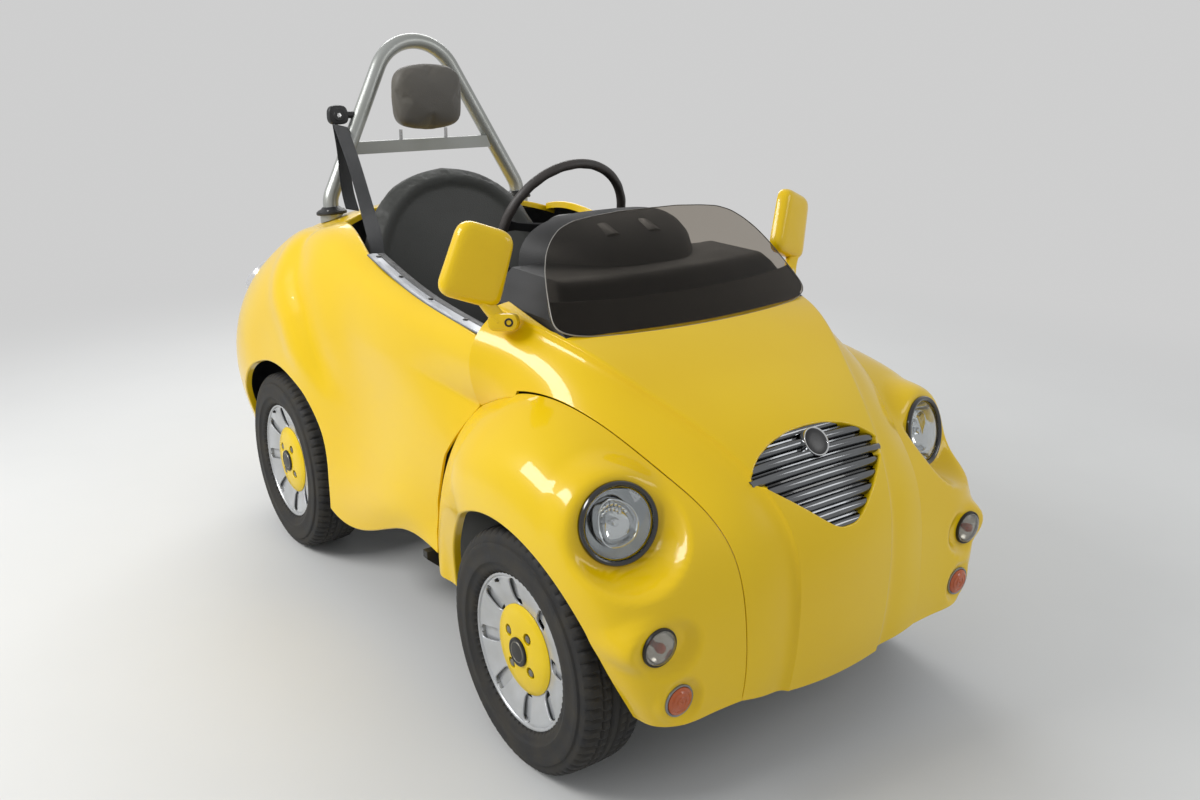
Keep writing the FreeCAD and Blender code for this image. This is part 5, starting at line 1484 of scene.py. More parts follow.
@dataclass
class FrontLamps:
    """Headlights, turn signals and markers."""

    head: Place = Place((0.4195, -0.8866, 0.5945), (0.2155, -0.95, 0.225))
    head_radius: float = 0.078
    signal: Place = Place((0.427, -1.02, 0.411), (0.0, -1.0, 0.0))
    signal_radius: float = 0.037
    marker: Place = Place((0.391, -1.034, 0.299), (0.0, -1.0, 0.0))
    marker_radius: float = 0.032

    def dishes(self) -> list[Dish]:
        """The hollows that the lamps sit in.

        Returns:
            One hollow for each lamp that has one.
        """
        return [
            Dish(self.head, 0.082, 0.125, -0.002, shift=(0.004, 0.0)),
            Dish(self.signal, 0.042, 0.066, -0.002, stretch=(1.35, 0.9)),
            Dish(self.marker, 0.034, 0.05, 0.0),
        ]

    def cuts(self) -> list[Cut]:
        """The holes that the lamps fill.

        Returns:
            One cut for each lamp.
        """
        made = []
        for place, radius in ((self.head, self.head_radius), (self.signal, self.signal_radius),
                              (self.marker, self.marker_radius)):
            made.append(Cut(lambda p, q=place, r=radius: self._hole(p, q, r), Roll(0.002, 0.012)))
        return made

    @staticmethod
    def _hole(points: Array, place: Place, radius: float) -> Array:
        """Above zero inside a round hole about a lamp's axis.

        Args:
            points: Points of the panel.
            place: The lamp's place.
            radius: The hole's radius.

        Returns:
            How far each point is inside the hole.
        """
        local = place.local(points)
        reach = radius - np.hypot(local[:, 0], local[:, 1])
        return np.where(np.abs(local[:, 2]) < 0.08, reach, -1.0)

    def build(self) -> None:
        """Builds the lamps of both sides."""
        units, lenses = Draft(), Draft()
        signals, markers = Draft(), Draft()
        self._headlight(units, lenses)
        self._signal(signals)
        self._marker(markers)
        for draft, name, finishes, slot, node in (
                (units, "headlight_unit", [GLOSS_BLACK, BOWL_CHROME, CHROME, BODY_YELLOW],
                 "lamp_bowl", "headlight_units"),
                (lenses, "headlight_glass", [CLEAR_GLASS], "lamp_glass", "headlight_lenses"),
                (signals, "turn_signal", [BLACK_PLASTIC, SIGNAL_CLEAR, BULB_ORANGE, BOWL_CHROME],
                 "signal_glass", "turn_signals"),
                (markers, "front_marker", [TRIM_SILVER, MARKER_AMBER], "marker_amber", "front_markers")):
            for mirror, hand in HANDS:
                draft.piece(f"{name}_{hand}", finishes, "car_body", mirror, slot, [node])

    def _headlight(self, units: Draft, lenses: Draft) -> None:
        """The headlight's ring, bowl, inner reflector and glass.

        Args:
            units: Where the opaque faces go.
            lenses: Where the glass goes.
        """
        place = self.head
        units.turned([(0.0775, -0.03), (0.0775, 0.001), (0.077, 0.0045), (0.075, 0.0068), (0.072, 0.0072),
                      (0.069, 0.0058), (0.0672, 0.003), (0.0666, -0.001), (0.0666, -0.03)],
                     place, 0, 72, capped=False)
        units.turned([(0.0668, -0.001), (0.066, 0.0004), (0.065, -0.0004), (0.0646, -0.004)], place, 3, 72,
                     capped=False)
        units.turned([(0.0666, -0.004), (0.064, -0.01), (0.06, -0.019), (0.054, -0.028), (0.045, -0.036),
                      (0.034, -0.042), (0.022, -0.046), (0.015, -0.047)], place, 1, 72, capped=False)
        cup = rounded([(-0.046, -0.006), (-0.036, -0.034), (-0.01, -0.047), (0.018, -0.046),
                       (0.033, -0.028), (0.037, 0.004), (0.031, 0.034), (0.012, 0.047),
                       (-0.014, 0.04), (-0.036, 0.022)], 0.014, 6, 96)
        units.slab(cup, [(0.0, -0.036), (0.0, -0.01), (0.0008, -0.008), (0.0024, -0.0076), (0.0038, -0.009),
                         (0.006, -0.019), (0.013, -0.029), (0.022, -0.035), (0.03, -0.037)], place, 2)
        for row, count, depth, spread in ((0.03, 9, -0.0255, 62.0), (0.021, 6, -0.03, 52.0)):
            for k in range(count):
                turn = math.radians(90.0 + spread * (2.0 * k / (count - 1) - 1.0))
                spot = place.spot(row * math.cos(turn), row * math.sin(turn), depth)
                tile = Place(tuple(spot), tuple(place.spot(0.0, 0.0, 0.03) - spot))
                outline = softened(oblong(0.0036, 0.0042), 0.001, 3)
                units.slab(outline, [(0.0, -0.006), (0.0, 0.0), (0.0008, 0.001), (0.002, 0.0014)], tile, 1)
        units.turned([(0.0085, -0.036), (0.0085, -0.02), (0.008, -0.014), (0.0055, -0.01), (0.0, -0.009)],
                     place, 2, 28)
        outer = []
        inner = []
        for radius in np.linspace(0.0662, 0.0001, 14):
            rise = 0.0155 * (1.0 - (radius / 0.0662) ** 2)
            outer.append((radius, 0.0005 + rise))
            inner.append((radius, -0.002 + rise))
        lenses.turned(outer + inner[::-1], place, 0, 72, capped=False, joined=True)

    def _signal(self, draft: Draft) -> None:
        """The clear turn signal with its orange bulb.

        Args:
            draft: Where its faces go.
        """
        place = self.signal
        draft.turned([(0.0366, -0.016), (0.0366, 0.002), (0.0358, 0.004), (0.0342, 0.0046), (0.0325, 0.0036),
                      (0.032, -0.016)], place, 0, 56, capped=False)
        draft.turned([(0.0322, -0.002), (0.028, -0.01), (0.02, -0.014), (0.008, -0.016), (0.0, -0.016)],
                     place, 3, 40, capped=False)
        outer, inner = [], []
        for radius in np.linspace(0.033, 0.0001, 14):
            rise = 0.013 * math.sqrt(max(0.0, 1.0 - (radius / 0.0335) ** 2))
            ridge = 0.0004 * math.cos(radius * 2400.0)
            outer.append((radius, 0.0022 + rise + ridge))
            inner.append((radius, 0.0002 + rise))
        draft.turned(outer + inner[::-1], place, 1, 48, capped=False, joined=True)
        draft.turned([(0.005, -0.014), (0.006, -0.008), (0.0085, -0.003), (0.0095, 0.003), (0.0075, 0.008),
                      (0.0035, 0.0105), (0.0, 0.011)], place, 2, 28)

    def _marker(self, draft: Draft) -> None:
        """The small amber marker in its bright rim.

        Args:
            draft: Where its faces go.
        """
        place = self.marker
        draft.turned([(0.0316, -0.014), (0.0316, 0.001), (0.0308, 0.0032), (0.029, 0.004), (0.0272, 0.003),
                      (0.0268, -0.014)], place, 0, 52, capped=False)
        profile = [(0.027, -0.004)]
        for radius in np.linspace(0.0268, 0.0001, 26):
            rise = 0.0085 * math.sqrt(max(0.0, 1.0 - (radius / 0.0285) ** 2))
            profile.append((radius, 0.0012 + rise + 0.00035 * math.cos(radius * 2600.0)))
        draft.turned(profile, place, 1, 52, capped=False)


@dataclass
class TailLamps:
    """The grey tail clusters that bulge from the rear quarters."""

    radius: float = 0.0665
    lens: float = 0.05

    def build(self) -> None:
        """Builds both tail lamps."""
        draft = Draft()
        outline = circle(self.radius, 64)
        draft.slab(outline, [(0.0, -0.03), (0.0, 0.004), (0.001, 0.0075), (0.0035, 0.0105), (0.008, 0.0125),
                             (0.014, 0.0125), (0.0155, 0.011), (0.016, 0.006), (0.0165, 0.0)],
                   TAIL_LAMP, 0)
        profile = [(0.0502, 0.0)]
        for radius in np.linspace(self.lens, 0.0001, 32):
            rise = 0.02 * math.sqrt(max(0.0, 1.0 - (radius / 0.053) ** 2))
            profile.append((radius, 0.0035 + rise + 0.0004 * math.cos(radius * 2100.0)))
        draft.turned(profile, TAIL_LAMP, 1, 60, capped=False)
        for mirror, hand in HANDS:
            draft.piece(f"tail_lamp_{hand}", [TAIL_GREY, TAIL_RED], "car_body", mirror, "tail_red",
                        ["tail_lamps"])


@dataclass
class Grille:
    """The bright slatted grille in its rounded triangular opening."""

    middle: Point = (0.0, -0.985, 0.64)
    tilt: float = 52.0
    slats: int = 9
    recess: float = 0.0065
    top: float = 0.094
    tip: float = -0.123
    boss_height: float = 0.051
    half: tuple[tuple[float, float], ...] = (
        (0.0, 0.092), (0.05, 0.089), (0.1, 0.077), (0.14, 0.058), (0.168, 0.036), (0.177, 0.018),
        (0.171, 0.004), (0.14, -0.026), (0.1, -0.062), (0.062, -0.095), (0.036, -0.114), (0.017, -0.122),
    )
    lie: Array = field(default_factory=lambda: np.zeros(6))

    def settle(self, skin: Array) -> None:
        """Learns how the cowl's skin lies over the grille's own plane.

        Args:
            skin: The cowl's grid of points.
        """
        local = self.place().local(skin.reshape(-1, 3))
        near = (np.abs(local[:, 0]) < 0.2) & (np.abs(local[:, 1]) < 0.14) & (np.abs(local[:, 2]) < 0.06)
        self.lie = np.linalg.lstsq(self._terms(local[near, 0], local[near, 1]), local[near, 2], rcond=None)[0]

    @staticmethod
    def _terms(x: Array, y: Array) -> Array:
        """The terms of the surface that stands for the skin, a column each."""
        return np.column_stack([np.ones_like(x), y, y * y, x * x, x * x * y, x ** 4])

    def skin_height(self, x: Array, y: Array) -> Array:
        """How far the skin lies before the grille's plane at local points.

        Args:
            x: Places across the opening.
            y: Places up the opening.

        Returns:
            The heights.
        """
        x, y = np.broadcast_arrays(x, y)
        return (self._terms(x.ravel(), y.ravel()) @ self.lie).reshape(x.shape)

    def place(self) -> Place:
        """Where the grille faces from."""
        tilt = math.radians(self.tilt)
        return Place(self.middle, (0.0, -math.sin(tilt), math.cos(tilt)))

    def shape(self) -> Array:
        """The opening's outline, evenly spread, anticlockwise.

        Returns:
            The outline in the grille's own plane.
        """
        right = np.array(self.half)
        left = right[:0:-1] * FLIP
        return closed_evened(softened(np.vstack([right, left]), 0.01, 4), 150)[::-1]

    def measure(self, points: Array) -> Array:
        """Above zero inside the opening.

        Args:
            points: Points of the cowl.

        Returns:
            How far each point is inside the opening.
        """
        local = self.place().local(points)
        reach = -outline_distance(local[:, :2], self.shape())
        return np.where(np.abs(local[:, 2]) < 0.07, reach, -1.0)

    def _outside(self, points: Array) -> Array:
        """Above zero outside the opening."""
        return outline_distance(self.place().local(points)[:, :2], self.shape()) - 0.0022

    def build(self) -> None:
        """Builds the slats, the black plate behind them that is painted shade between them, and the plain
        boss.
        """
        place = self.place()
        draft = Draft()
        edges = np.linspace(self.top, self.tip, self.slats + 1)
        for high, low in zip(edges[:-1], edges[1:]):
            draft.take(self._slat(place, (high + low) / 2.0, (high - low) / 2.0), 0)
        # The black plate is painted shade: it darkens the gaps between the slats.
        draft.take(self._back(place), 1)
        draft.piece("grille_slats", [GRILLE_CHROME, GLOSS_BLACK], "car_body", slot="grille_chrome",
                    stands_for=["grille"])
        badge = Draft()
        lift = float(self.skin_height(np.zeros(1), np.full(1, self.boss_height))[0]) - 0.001
        boss = place.moved(0.0, self.boss_height, lift + 0.0015)
        badge.turned([(0.03, -0.014), (0.03, -0.001), (0.0294, 0.0008), (0.0282, 0.0014), (0.027, 0.0008),
                      (0.0264, -0.0004)], boss, 0, 64, capped=False)
        badge.turned([(0.0266, -0.0006), (0.024, 0.0004), (0.015, 0.0016), (0.007, 0.0021), (0.0, 0.0022)],
                     boss, 1, 64, capped=False)
        badge.piece("grille_boss", [CHROME, CAP_BLACK], "car_body", slot="grille_chrome")

    def _slat(self, place: Place, height: float, half: float) -> Draft:
        """One half-round bright slat, cut off along the opening's edge.

        Args:
            place: Where the grille faces from.
            height: The slat's height in the opening.
            half: Half of its pitch.

        Returns:
            The slat's faces.
        """
        turn = np.linspace(0.04, math.pi - 0.04, 15)
        across = np.linspace(-0.182, 0.182, 60)
        rise = (np.sin(turn) ** 0.8 - 1.0) * half * 1.1 - self.recess
        up = height + np.cos(turn) * half * 0.64
        over = self.skin_height(across[None, :], np.full((1, 1), height)) + rise[:, None]
        grid = self._laid(place, across, up, over)
        cut = Cut(self._outside, Roll(0.0003, 0.002))
        return Panel(grid[::-1], [cut], Roll(0.0003, 0.006), 0.003, 0, 1).draft()

    def _back(self, place: Place) -> Draft:
        """The gloss black plate behind the slats, painted shade that shows between them.

        Args:
            place: Where the grille faces from.

        Returns:
            The plate's faces.
        """
        across = np.linspace(-0.185, 0.185, 80)
        up = np.linspace(-0.128, 0.098, 60)
        over = self.skin_height(across[None, :], up[:, None]) - self.recess - 0.0125
        grid = self._laid(place, across, up, over)
        roll = Roll(0.0004, 0.001)
        return Panel(grid, [Cut(self._outside, roll)], roll, 0.002, 0, 1).draft()

    @staticmethod
    def _laid(place: Place, across: Array, up: Array, over: Array) -> Array:
        """A grid of points over the grille's plane.

        Args:
            place: Where the grille faces from.
            across: The columns' places.
            up: The rows' places.
            over: How far each point lies before the plane.

        Returns:
            The grid.
        """
        local = np.stack(np.broadcast_arrays(across[None, :], up[:, None], over), axis=2)
        return place.at(local.reshape(-1, 3)).reshape(local.shape)


# Wheels


@dataclass
class RoadWheel:
    """One wheel: tyre, slotted steel disc, yellow cover and plain cap."""

    axle_y: float
    hand: str
    end: str
    pitches: int = 68
    slots: int = 8
    slot_phase: float = 36.0
    slot_pitch: float = 0.1245
    slot_half_run: float = 0.015
    slot_half_width: float = 0.0168
    bolts: int = 4
    bolt_phase: float = 36.0
    bolt_circle: float = 0.05
    bolt_recess: float = 0.0135
    tread_grooves: tuple[float, ...] = (-0.0305, -0.01, 0.01, 0.0305)
    valve_turn: float = 58.5
    valve_circle: float = 0.1475

    @property
    def place(self) -> Place:
        """The wheel's middle, facing outwards on the car's left."""
        return Place((WHEEL_X, self.axle_y, TYRE_RADIUS), (1.0, 0.0, 0.0))

    def build(self) -> None:
        """Builds the tyre and the wheel on their body."""
        body = f"{self.end}_{self.hand}_wheel"
        mirror = self.hand == "right"
        tyre = Draft()
        self._tyre(tyre)
        tyre.piece(f"tread_tyre_{self.end}_{self.hand}", [TYRE_BLACK], body, mirror, "tyre",
                   [f"tyre_{self.end}_{self.hand}"], sharp=30.0)
        rim = Draft()
        self._barrel(rim)
        self._cap(rim)
        name = f"rim_{self.end}_{self.hand}"
        rim.turned([(0.148, 0.0462), (0.13, 0.043), (0.105, 0.0385)], self.place, 0, 96, capped=False)
        rim.piece(f"wheel_barrel_{self.end}_{self.hand}", [WHEEL_SILVER, CAP_BLACK, BOLT_STEEL, AXLE_STEEL],
                  body, mirror, "rim_paint", [name])
        disc = Panel(self._disc_grid(), self._slot_cuts(), Roll(0.001, 0.003), 0.0025, 0, 3).draft()
        disc.piece(f"wheel_disc_{self.end}_{self.hand}", [WHEEL_SILVER], body, mirror, "rim_paint", [name])
        cover = Panel(self._cover_grid(), self._bolt_cuts(), Roll(0.0015, 0.006), 0.0025, 1, 3).draft()
        cover.piece(f"wheel_cover_{self.end}_{self.hand}", [COVER_YELLOW, CAP_BLACK], body, mirror,
                    "rim_paint", [name])

    def _polar(self, profile: Sequence[Sequence[float]], rows: int, around: int) -> Array:
        """A grid of rings over a turned profile, closed on itself.

        Args:
            profile: Radius and height of the profile's points.
            rows: How many rings.
            around: How many steps round.

        Returns:
            The grid of points.
        """
        run = smooth_run(profile, rows)
        turn = np.linspace(0.0, 2.0 * math.pi, around + 1)
        local = np.stack([run[:, :1] * np.cos(turn), run[:, :1] * np.sin(turn),
                          np.repeat(run[:, 1:], around + 1, axis=1)], axis=2)
        return self.place.at(local)

    def _disc_grid(self) -> Array:
        """The dished disc between the cover and the rim."""
        return self._polar([(0.088, 0.0412), (0.0955, 0.043), (0.11, 0.0475), (0.128, 0.0525),
                            (0.146, 0.0558), (0.1545, 0.056), (0.1575, 0.0545)], 24, 208)

    def _cover_grid(self) -> Array:
        """The domed yellow cover."""
        return self._polar([(0.02, 0.0575), (0.036, 0.0572), (0.055, 0.056), (0.074, 0.053),
                            (0.087, 0.049), (0.0935, 0.0452)], 24, 120)

    def _slot_cuts(self) -> list[Cut]:
        """The long holes round the disc.

        Returns:
            One cut for each hole.
        """
        made = []
        for k in range(self.slots):
            turn = math.radians(self.slot_phase + 360.0 * k / self.slots)
            made.append(Cut(lambda p, a=turn: self._slot(p, a), Roll(0.002, 0.0035)))
        return made

    def _slot(self, points: Array, turn: float) -> Array:
        """Above zero inside the long hole at one angle.

        Args:
            points: Points of the disc.
            turn: The hole's angle.

        Returns:
            How far each point is inside the hole.
        """
        local = self.place.local(points)
        along = local[:, 0] * math.cos(turn) + local[:, 1] * math.sin(turn) - self.slot_pitch
        across = local[:, 1] * math.cos(turn) - local[:, 0] * math.sin(turn)
        past = np.maximum(np.abs(along) - self.slot_half_run, 0.0)
        return self.slot_half_width - np.hypot(past, across)

    def _bolt_cuts(self) -> list[Cut]:
        """The four bolt recesses in the cover.

        Returns:
            One cut for each recess.
        """
        made = []
        for turn in self._bolt_turns():
            centre = np.array([math.cos(turn), math.sin(turn)]) * self.bolt_circle
            made.append(Cut(
                lambda p, c=centre: self.bolt_recess - np.linalg.norm(self.place.local(p)[:, :2] - c, axis=1),
                Roll(0.0015, 0.008)))
        return made

    def _bolt_turns(self) -> list[float]:
        """The bolts' angles round the wheel."""
        return [math.radians(self.bolt_phase + 360.0 * k / self.bolts) for k in range(self.bolts)]

    def _tyre(self, draft: Draft) -> None:
        """The tyre's ribs, grooves and shoulder blocks over a rounded casing.

        Args:
            draft: Where its faces go.
        """
        half = [(0.0, 0.254), (0.015, 0.254), (0.032, 0.2536), (0.047, 0.2522), (0.0565, 0.2496),
                (0.0625, 0.2446), (0.0665, 0.237), (0.069, 0.227), (0.0697, 0.2268), (0.0722, 0.213),
                (0.0725, 0.198), (0.0712, 0.184), (0.07, 0.1832), (0.0672, 0.174), (0.0625, 0.1668),
                (0.057, 0.164), (0.054, 0.156)]
        side = smooth_run(half, 35)
        profile = np.vstack([side[::-1] * FLIP, side[1:]])
        axial, radius = profile[:, 0], profile[:, 1]
        tread = 1.0 - eased(0.05, 0.058, np.abs(axial))
        turns = np.arange(self.pitches * 4) / (self.pitches * 4) * 2.0 * math.pi
        rings = []
        for k, turn in enumerate(turns):
            depth = np.zeros(len(axial))
            for groove in self.tread_grooves:
                wander = groove + 0.0012 * math.sin(self.pitches * turn)
                depth += 0.006 * np.exp(-((axial - wander) / 0.0022) ** 4)
            shoulder = eased(0.034, 0.038, np.abs(axial)) * (1.0 - eased(0.06, 0.067, np.abs(axial)))
            if k % 4 == 0:
                depth += 0.0045 * shoulder
            if k % 4 == 2:
                depth += 0.003 * tread * (1.0 - eased(0.008, 0.01, np.abs(np.abs(axial) - 0.02)))
            r = radius - depth
            rings.append(self.place.at(np.column_stack([r * math.cos(turn), r * math.sin(turn), axial])))
        draft.skin(np.array(rings), 0, joined=True)
        inner = [(0.156, 0.0535), (0.153, 0.05), (0.153, -0.05), (0.156, -0.0535)]
        draft.turned(inner, self.place, 0, 96, capped=False)

    def _barrel(self, draft: Draft) -> None:
        """The rim's flanges, well and hub.

        Args:
            draft: Where its faces go.
        """
        draft.turned([(0.157, 0.048), (0.1555, 0.052), (0.1552, 0.056), (0.157, 0.0585), (0.16, 0.059),
                      (0.1618, 0.0583), (0.162, 0.056), (0.16, 0.0545), (0.1545, 0.0535), (0.152, 0.052),
                      (0.1515, 0.03), (0.144, 0.022), (0.144, -0.01), (0.1515, -0.02), (0.152, -0.052),
                      (0.1545, -0.0535), (0.16, -0.0545), (0.162, -0.057), (0.1605, -0.059),
                      (0.156, -0.0575), (0.149, -0.051), (0.148, -0.021), (0.1405, -0.011),
                      (0.1405, 0.021), (0.148, 0.029), (0.149, 0.045)], self.place, 0, 112, joined=True)
        draft.turned([(0.016, -0.029), (0.042, -0.029), (0.043, -0.027), (0.043, 0.018), (0.054, 0.025),
                      (0.078, 0.028), (0.09, 0.034), (0.093, 0.04), (0.09, 0.042), (0.084, 0.04),
                      (0.016, 0.04)], self.place, 3, 64, joined=True)

    def _cap(self, draft: Draft) -> None:
        """The plain centre cap, the bolts in their recesses and the valve.

        Args:
            draft: Where its faces go.
        """
        place = self.place
        draft.turned([(0.03, 0.053), (0.03, 0.06), (0.0294, 0.0615), (0.0278, 0.0624), (0.0245, 0.0622),
                      (0.0228, 0.0612)], place, 1, 52, capped=False)
        draft.turned([(0.0229, 0.0612), (0.022, 0.0624), (0.0206, 0.0626), (0.0196, 0.0618)], place, 2, 52,
                     capped=False)
        draft.turned([(0.0197, 0.0618), (0.011, 0.0627), (0.0, 0.0629)], place, 1, 52, capped=False)
        for turn in self._bolt_turns():
            seat = place.around(self.bolt_circle, turn)
            draft.turned([(0.014, 0.042), (0.0138, 0.049), (0.0128, 0.0495), (0.0122, 0.044), (0.0, 0.044)],
                         seat, 1, 28)
            draft.slab(circle(0.0088, 6), [(0.0, 0.044), (0.0, 0.054), (0.0008, 0.0552), (0.003, 0.0557)],
                       seat, 2)
        draft.turned([(0.004, 0.052), (0.0042, 0.058), (0.0032, 0.06), (0.003, 0.0625), (0.0, 0.063)],
                     place.around(self.valve_circle, math.radians(self.valve_turn)), 1, 20)


# Padding


@dataclass(frozen=True)
class Stuffing:
    """How a pad is blown up by the cloth simulation."""

    voxel: float = 0.006
    pressure: float = 4.0
    frames: int = 20
    cap: float = 0.014
    fill: float = 0.7

    def swell(self, pad: bpy.types.Object) -> None:
        """Fills the pad out and keeps the result in its mesh.

        Args:
            pad: The pad, slightly smaller than it will be.
        """
        bpy.context.view_layer.objects.active = pad
        for other in bpy.context.selected_objects:
            other.select_set(False)
        pad.select_set(True)
        remesh = pad.modifiers.new("Remesh", "REMESH")
        remesh.mode = "VOXEL"
        remesh.voxel_size = self.voxel
        remesh.use_smooth_shade = True
        bpy.ops.object.modifier_apply(modifier=remesh.name)
        before = self._corners(pad)
        self._blow(pad, before)
        pad.data.polygons.foreach_set("use_smooth", [True] * len(pad.data.polygons))

    def _blow(self, pad: bpy.types.Object, before: Array) -> None:
        """Runs the simulation and caps how far each point has moved.

        Args:
            pad: The pad.
            before: Its points before the simulation.
        """
        cloth = pad.modifiers.new("Cloth", "CLOTH")
        cloth.settings.use_pressure = True
        cloth.settings.uniform_pressure_force = self.pressure
        cloth.settings.effector_weights.gravity = 0.0
        cloth.point_cache.frame_start = 1
        cloth.point_cache.frame_end = self.frames
        scene = bpy.context.scene
        for number in range(1, self.frames + 1):
            scene.frame_set(number)
        bpy.ops.object.modifier_apply(modifier=cloth.name)
        after = self._corners(pad)
        move = after - before
        length = np.maximum(np.linalg.norm(move, axis=1, keepdims=True), 1e-9)
        capped = before + move * np.minimum(1.0, self.cap / length)
        pad.data.vertices.foreach_set("co", capped.ravel())
        pad.data.update()
        scene.frame_set(1)

    @staticmethod
    def _corners(pad: bpy.types.Object) -> Array:
        """The pad's points as they are now.

        Args:
            pad: The pad.

        Returns:
            The points, a row each.
        """
        flat = np.zeros(len(pad.data.vertices) * 3)
        pad.data.vertices.foreach_get("co", flat)
        return flat.reshape(-1, 3)


@dataclass
class Seat:
    """The wide padded liner of the cockpit: base, back and headrest."""

    base_half: float = 0.232
    base_front: float = -0.142
    base_rear: float = 0.214
    base_low: float = 0.353
    base_high: float = 0.448
    back_foot: float = 0.245
    back_rake: float = 20.4
    back_low: float = 0.352

    def build(self) -> None:
        """Builds the three pads."""
        self._base()
        self._back()
        self._headrest()

    def _finish(self, pad: bpy.types.Object, stuffing: Stuffing, body: str, node: str) -> None:
        """Swells a pad and puts it on its body.

        Args:
            pad: The pad.
            stuffing: How it is blown up.
            body: The body it moves with.
            node: The node it is shown instead of.
        """
        stuffing.swell(pad)
        seated(pad, body, [node])

    def _loose(self, draft: Draft, name: str, finish: Finish) -> bpy.types.Object:
        """Makes a plain mesh object that isn't on a body yet.

        Args:
            draft: The faces.
            name: The object's name.
            finish: Its finish.

        Returns:
            The object.
        """
        mesh = bpy.data.meshes.new(name)
        mesh.from_pydata(np.vstack(draft.points).tolist(), [], draft.faces)
        mesh.materials.append(finish.material())
        made = bpy.data.objects.new(name, mesh)
        bpy.context.scene.collection.objects.link(made)
        return made

    def _base(self) -> None:
        """The base pad with its sunken middle."""
        draft = Draft()
        outline = rounded(tapered(self.base_half, self.base_front, self.base_half, self.base_rear),
                          0.07, 10, 120)
        low, high = self.base_low, self.base_high
        draft.slab(outline, [(0.01, low), (0.002, low + 0.008), (0.0, low + 0.03), (0.0, high - 0.03),
                             (0.004, high - 0.012), (0.014, high - 0.001), (0.034, high + 0.001),
                             (0.05, high - 0.006), (0.075, high - 0.01), (0.12, high - 0.009)],
                   facing_up(0.0, 0.0, 0.0))
        pad = self._loose(draft, "seat_base_pad", BASE_GREEN)
        self._finish(pad, Stuffing(0.006, cap=0.008), "car_body", "seat_cushion")

    def _back(self) -> None:
        """The arched back with its raised border."""
        half = [(0.0, 0.0), (0.215, 0.0), (0.25, 0.06), (0.282, 0.22), (0.302, 0.4), (0.3, 0.485),
                (0.268, 0.58), (0.205, 0.672), (0.11, 0.735), (0.0, 0.757)]
        right = smooth_run(half[1:], 60)
        outline = np.vstack([[0.0, 0.0], right, right[-2::-1] * FLIP])
        outline = closed_evened(outline, 160)
        rake = math.radians(self.back_rake)
        place = Place((0.0, self.back_foot + 0.03, self.back_low), (0.0, -math.cos(rake), math.sin(rake)),
                      (0.0, math.sin(rake), math.cos(rake)))
        draft = Draft()
        draft.slab(outline, [(0.03, -0.026), (0.01, -0.026), (0.001, -0.018), (0.0, 0.0), (0.003, 0.014),
                             (0.014, 0.026), (0.034, 0.029), (0.052, 0.024), (0.07, 0.014), (0.105, 0.009),
                             (0.15, 0.01)], place)
        pad = self._loose(draft, "seat_back_pad", SEAT_GREY)
        self._finish(pad, Stuffing(0.006, cap=0.01), "car_body", "seat_back")

    def _headrest(self) -> None:
        """The headrest, a soft rounded block."""
        right = [(0.0, -0.0855), (0.06, -0.085), (0.092, -0.07), (0.1025, -0.03), (0.103, 0.02),
                 (0.096, 0.058), (0.07, 0.0785), (0.035, 0.085), (0.0, 0.086)]
        right = smooth_run(right, 60)
        outline = closed_evened(np.vstack([right, right[-2:0:-1] * FLIP]), 110)
        draft = Draft()
        place = Place((0.0, 0.602, 1.247), (0.0, -1.0, 0.0))
        draft.slab(outline, [(0.04, -0.032), (0.018, -0.031), (0.005, -0.024), (0.0, -0.012), (0.0, 0.01),
                             (0.004, 0.022), (0.016, 0.03), (0.036, 0.033), (0.07, 0.034)], place)
        pad = self._loose(draft, "headrest_pad", HEADREST_GREY)
        self._finish(pad, Stuffing(0.005, cap=0.006), "car_body", "headrest")


# Cockpit


@dataclass
class Screen:
    """The smoked windscreen with its black lower band."""

    foot_y: float = -0.637
    foot_z: float = 0.851
    slope: float = 1.0
    curve: float = 0.37
    wall: float = 0.004
    band_top: float = 0.908
    half: tuple[tuple[float, float], ...] = (
        (0.0, 1.0615), (0.079, 1.061), (0.15, 1.056), (0.2, 1.05), (0.238, 1.038), (0.266, 1.02),
        (0.29, 0.997), (0.308, 0.97), (0.322, 0.94), (0.333, 0.912), (0.342, 0.885), (0.341, 0.872),
        (0.33, 0.864), (0.312, 0.859), (0.283, 0.855), (0.205, 0.8515), (0.1, 0.851),
    )

    def _grid(self, lift: float = 0.0) -> Array:
        """The bent sheet.

        Args:
            lift: How far to move it outwards.

        Returns:
            Its grid of points.
        """
        across = np.linspace(0.352, -0.352, 104)
        up = np.linspace(0.845, 1.068, 46)
        x, z = np.meshgrid(across, up)
        grid = np.stack([x, self.foot_y + (z - self.foot_z) * self.slope + self.curve * x ** 2, z], axis=2)
        return grid + grid_normals(grid) * lift

    def _outside(self, points: Array) -> Array:
        """Above zero outside the screen's outline.

        Args:
            points: Points of the sheet.

        Returns:
            How far each point is outside the outline.
        """
        right = np.array(self.half)
        outline = softened(np.vstack([right, right[:0:-1] * FLIP]), 0.012, 4)
        return outline_distance(points[:, [0, 2]], outline)

    def build(self) -> None:
        """Builds the glass and the band behind its foot."""
        cuts = [Cut(self._outside, Roll(0.0012, 0.0035))]
        glass = Panel(self._grid(), cuts, Roll(0.001, 0.0035), self.wall, 0, rim_id=1).draft()
        glass.piece("windscreen_sheet", [SMOKED, SCREEN_EDGE], "car_body", slot="screen_glass",
                    stands_for=["windscreen"])
        shade = [Cut(self._outside, Roll(0.0004, 0.001)), Cut(self._above_band, Roll(0.0004, 0.001))]
        band = Panel(self._grid(-self.wall - 0.0006), shade, Roll(0.0004, 0.001), 0.0012, 0).draft()
        band.piece("windscreen_band", [GLOSS_BLACK], "car_body", slot="screen_glass")

    def _above_band(self, points: Array) -> Array:
        """Above zero over the band's upper edge, which lifts a little at the sides."""
        return points[:, 2] - self.band_top - 0.006 * (np.abs(points[:, 0]) / 0.33) ** 4


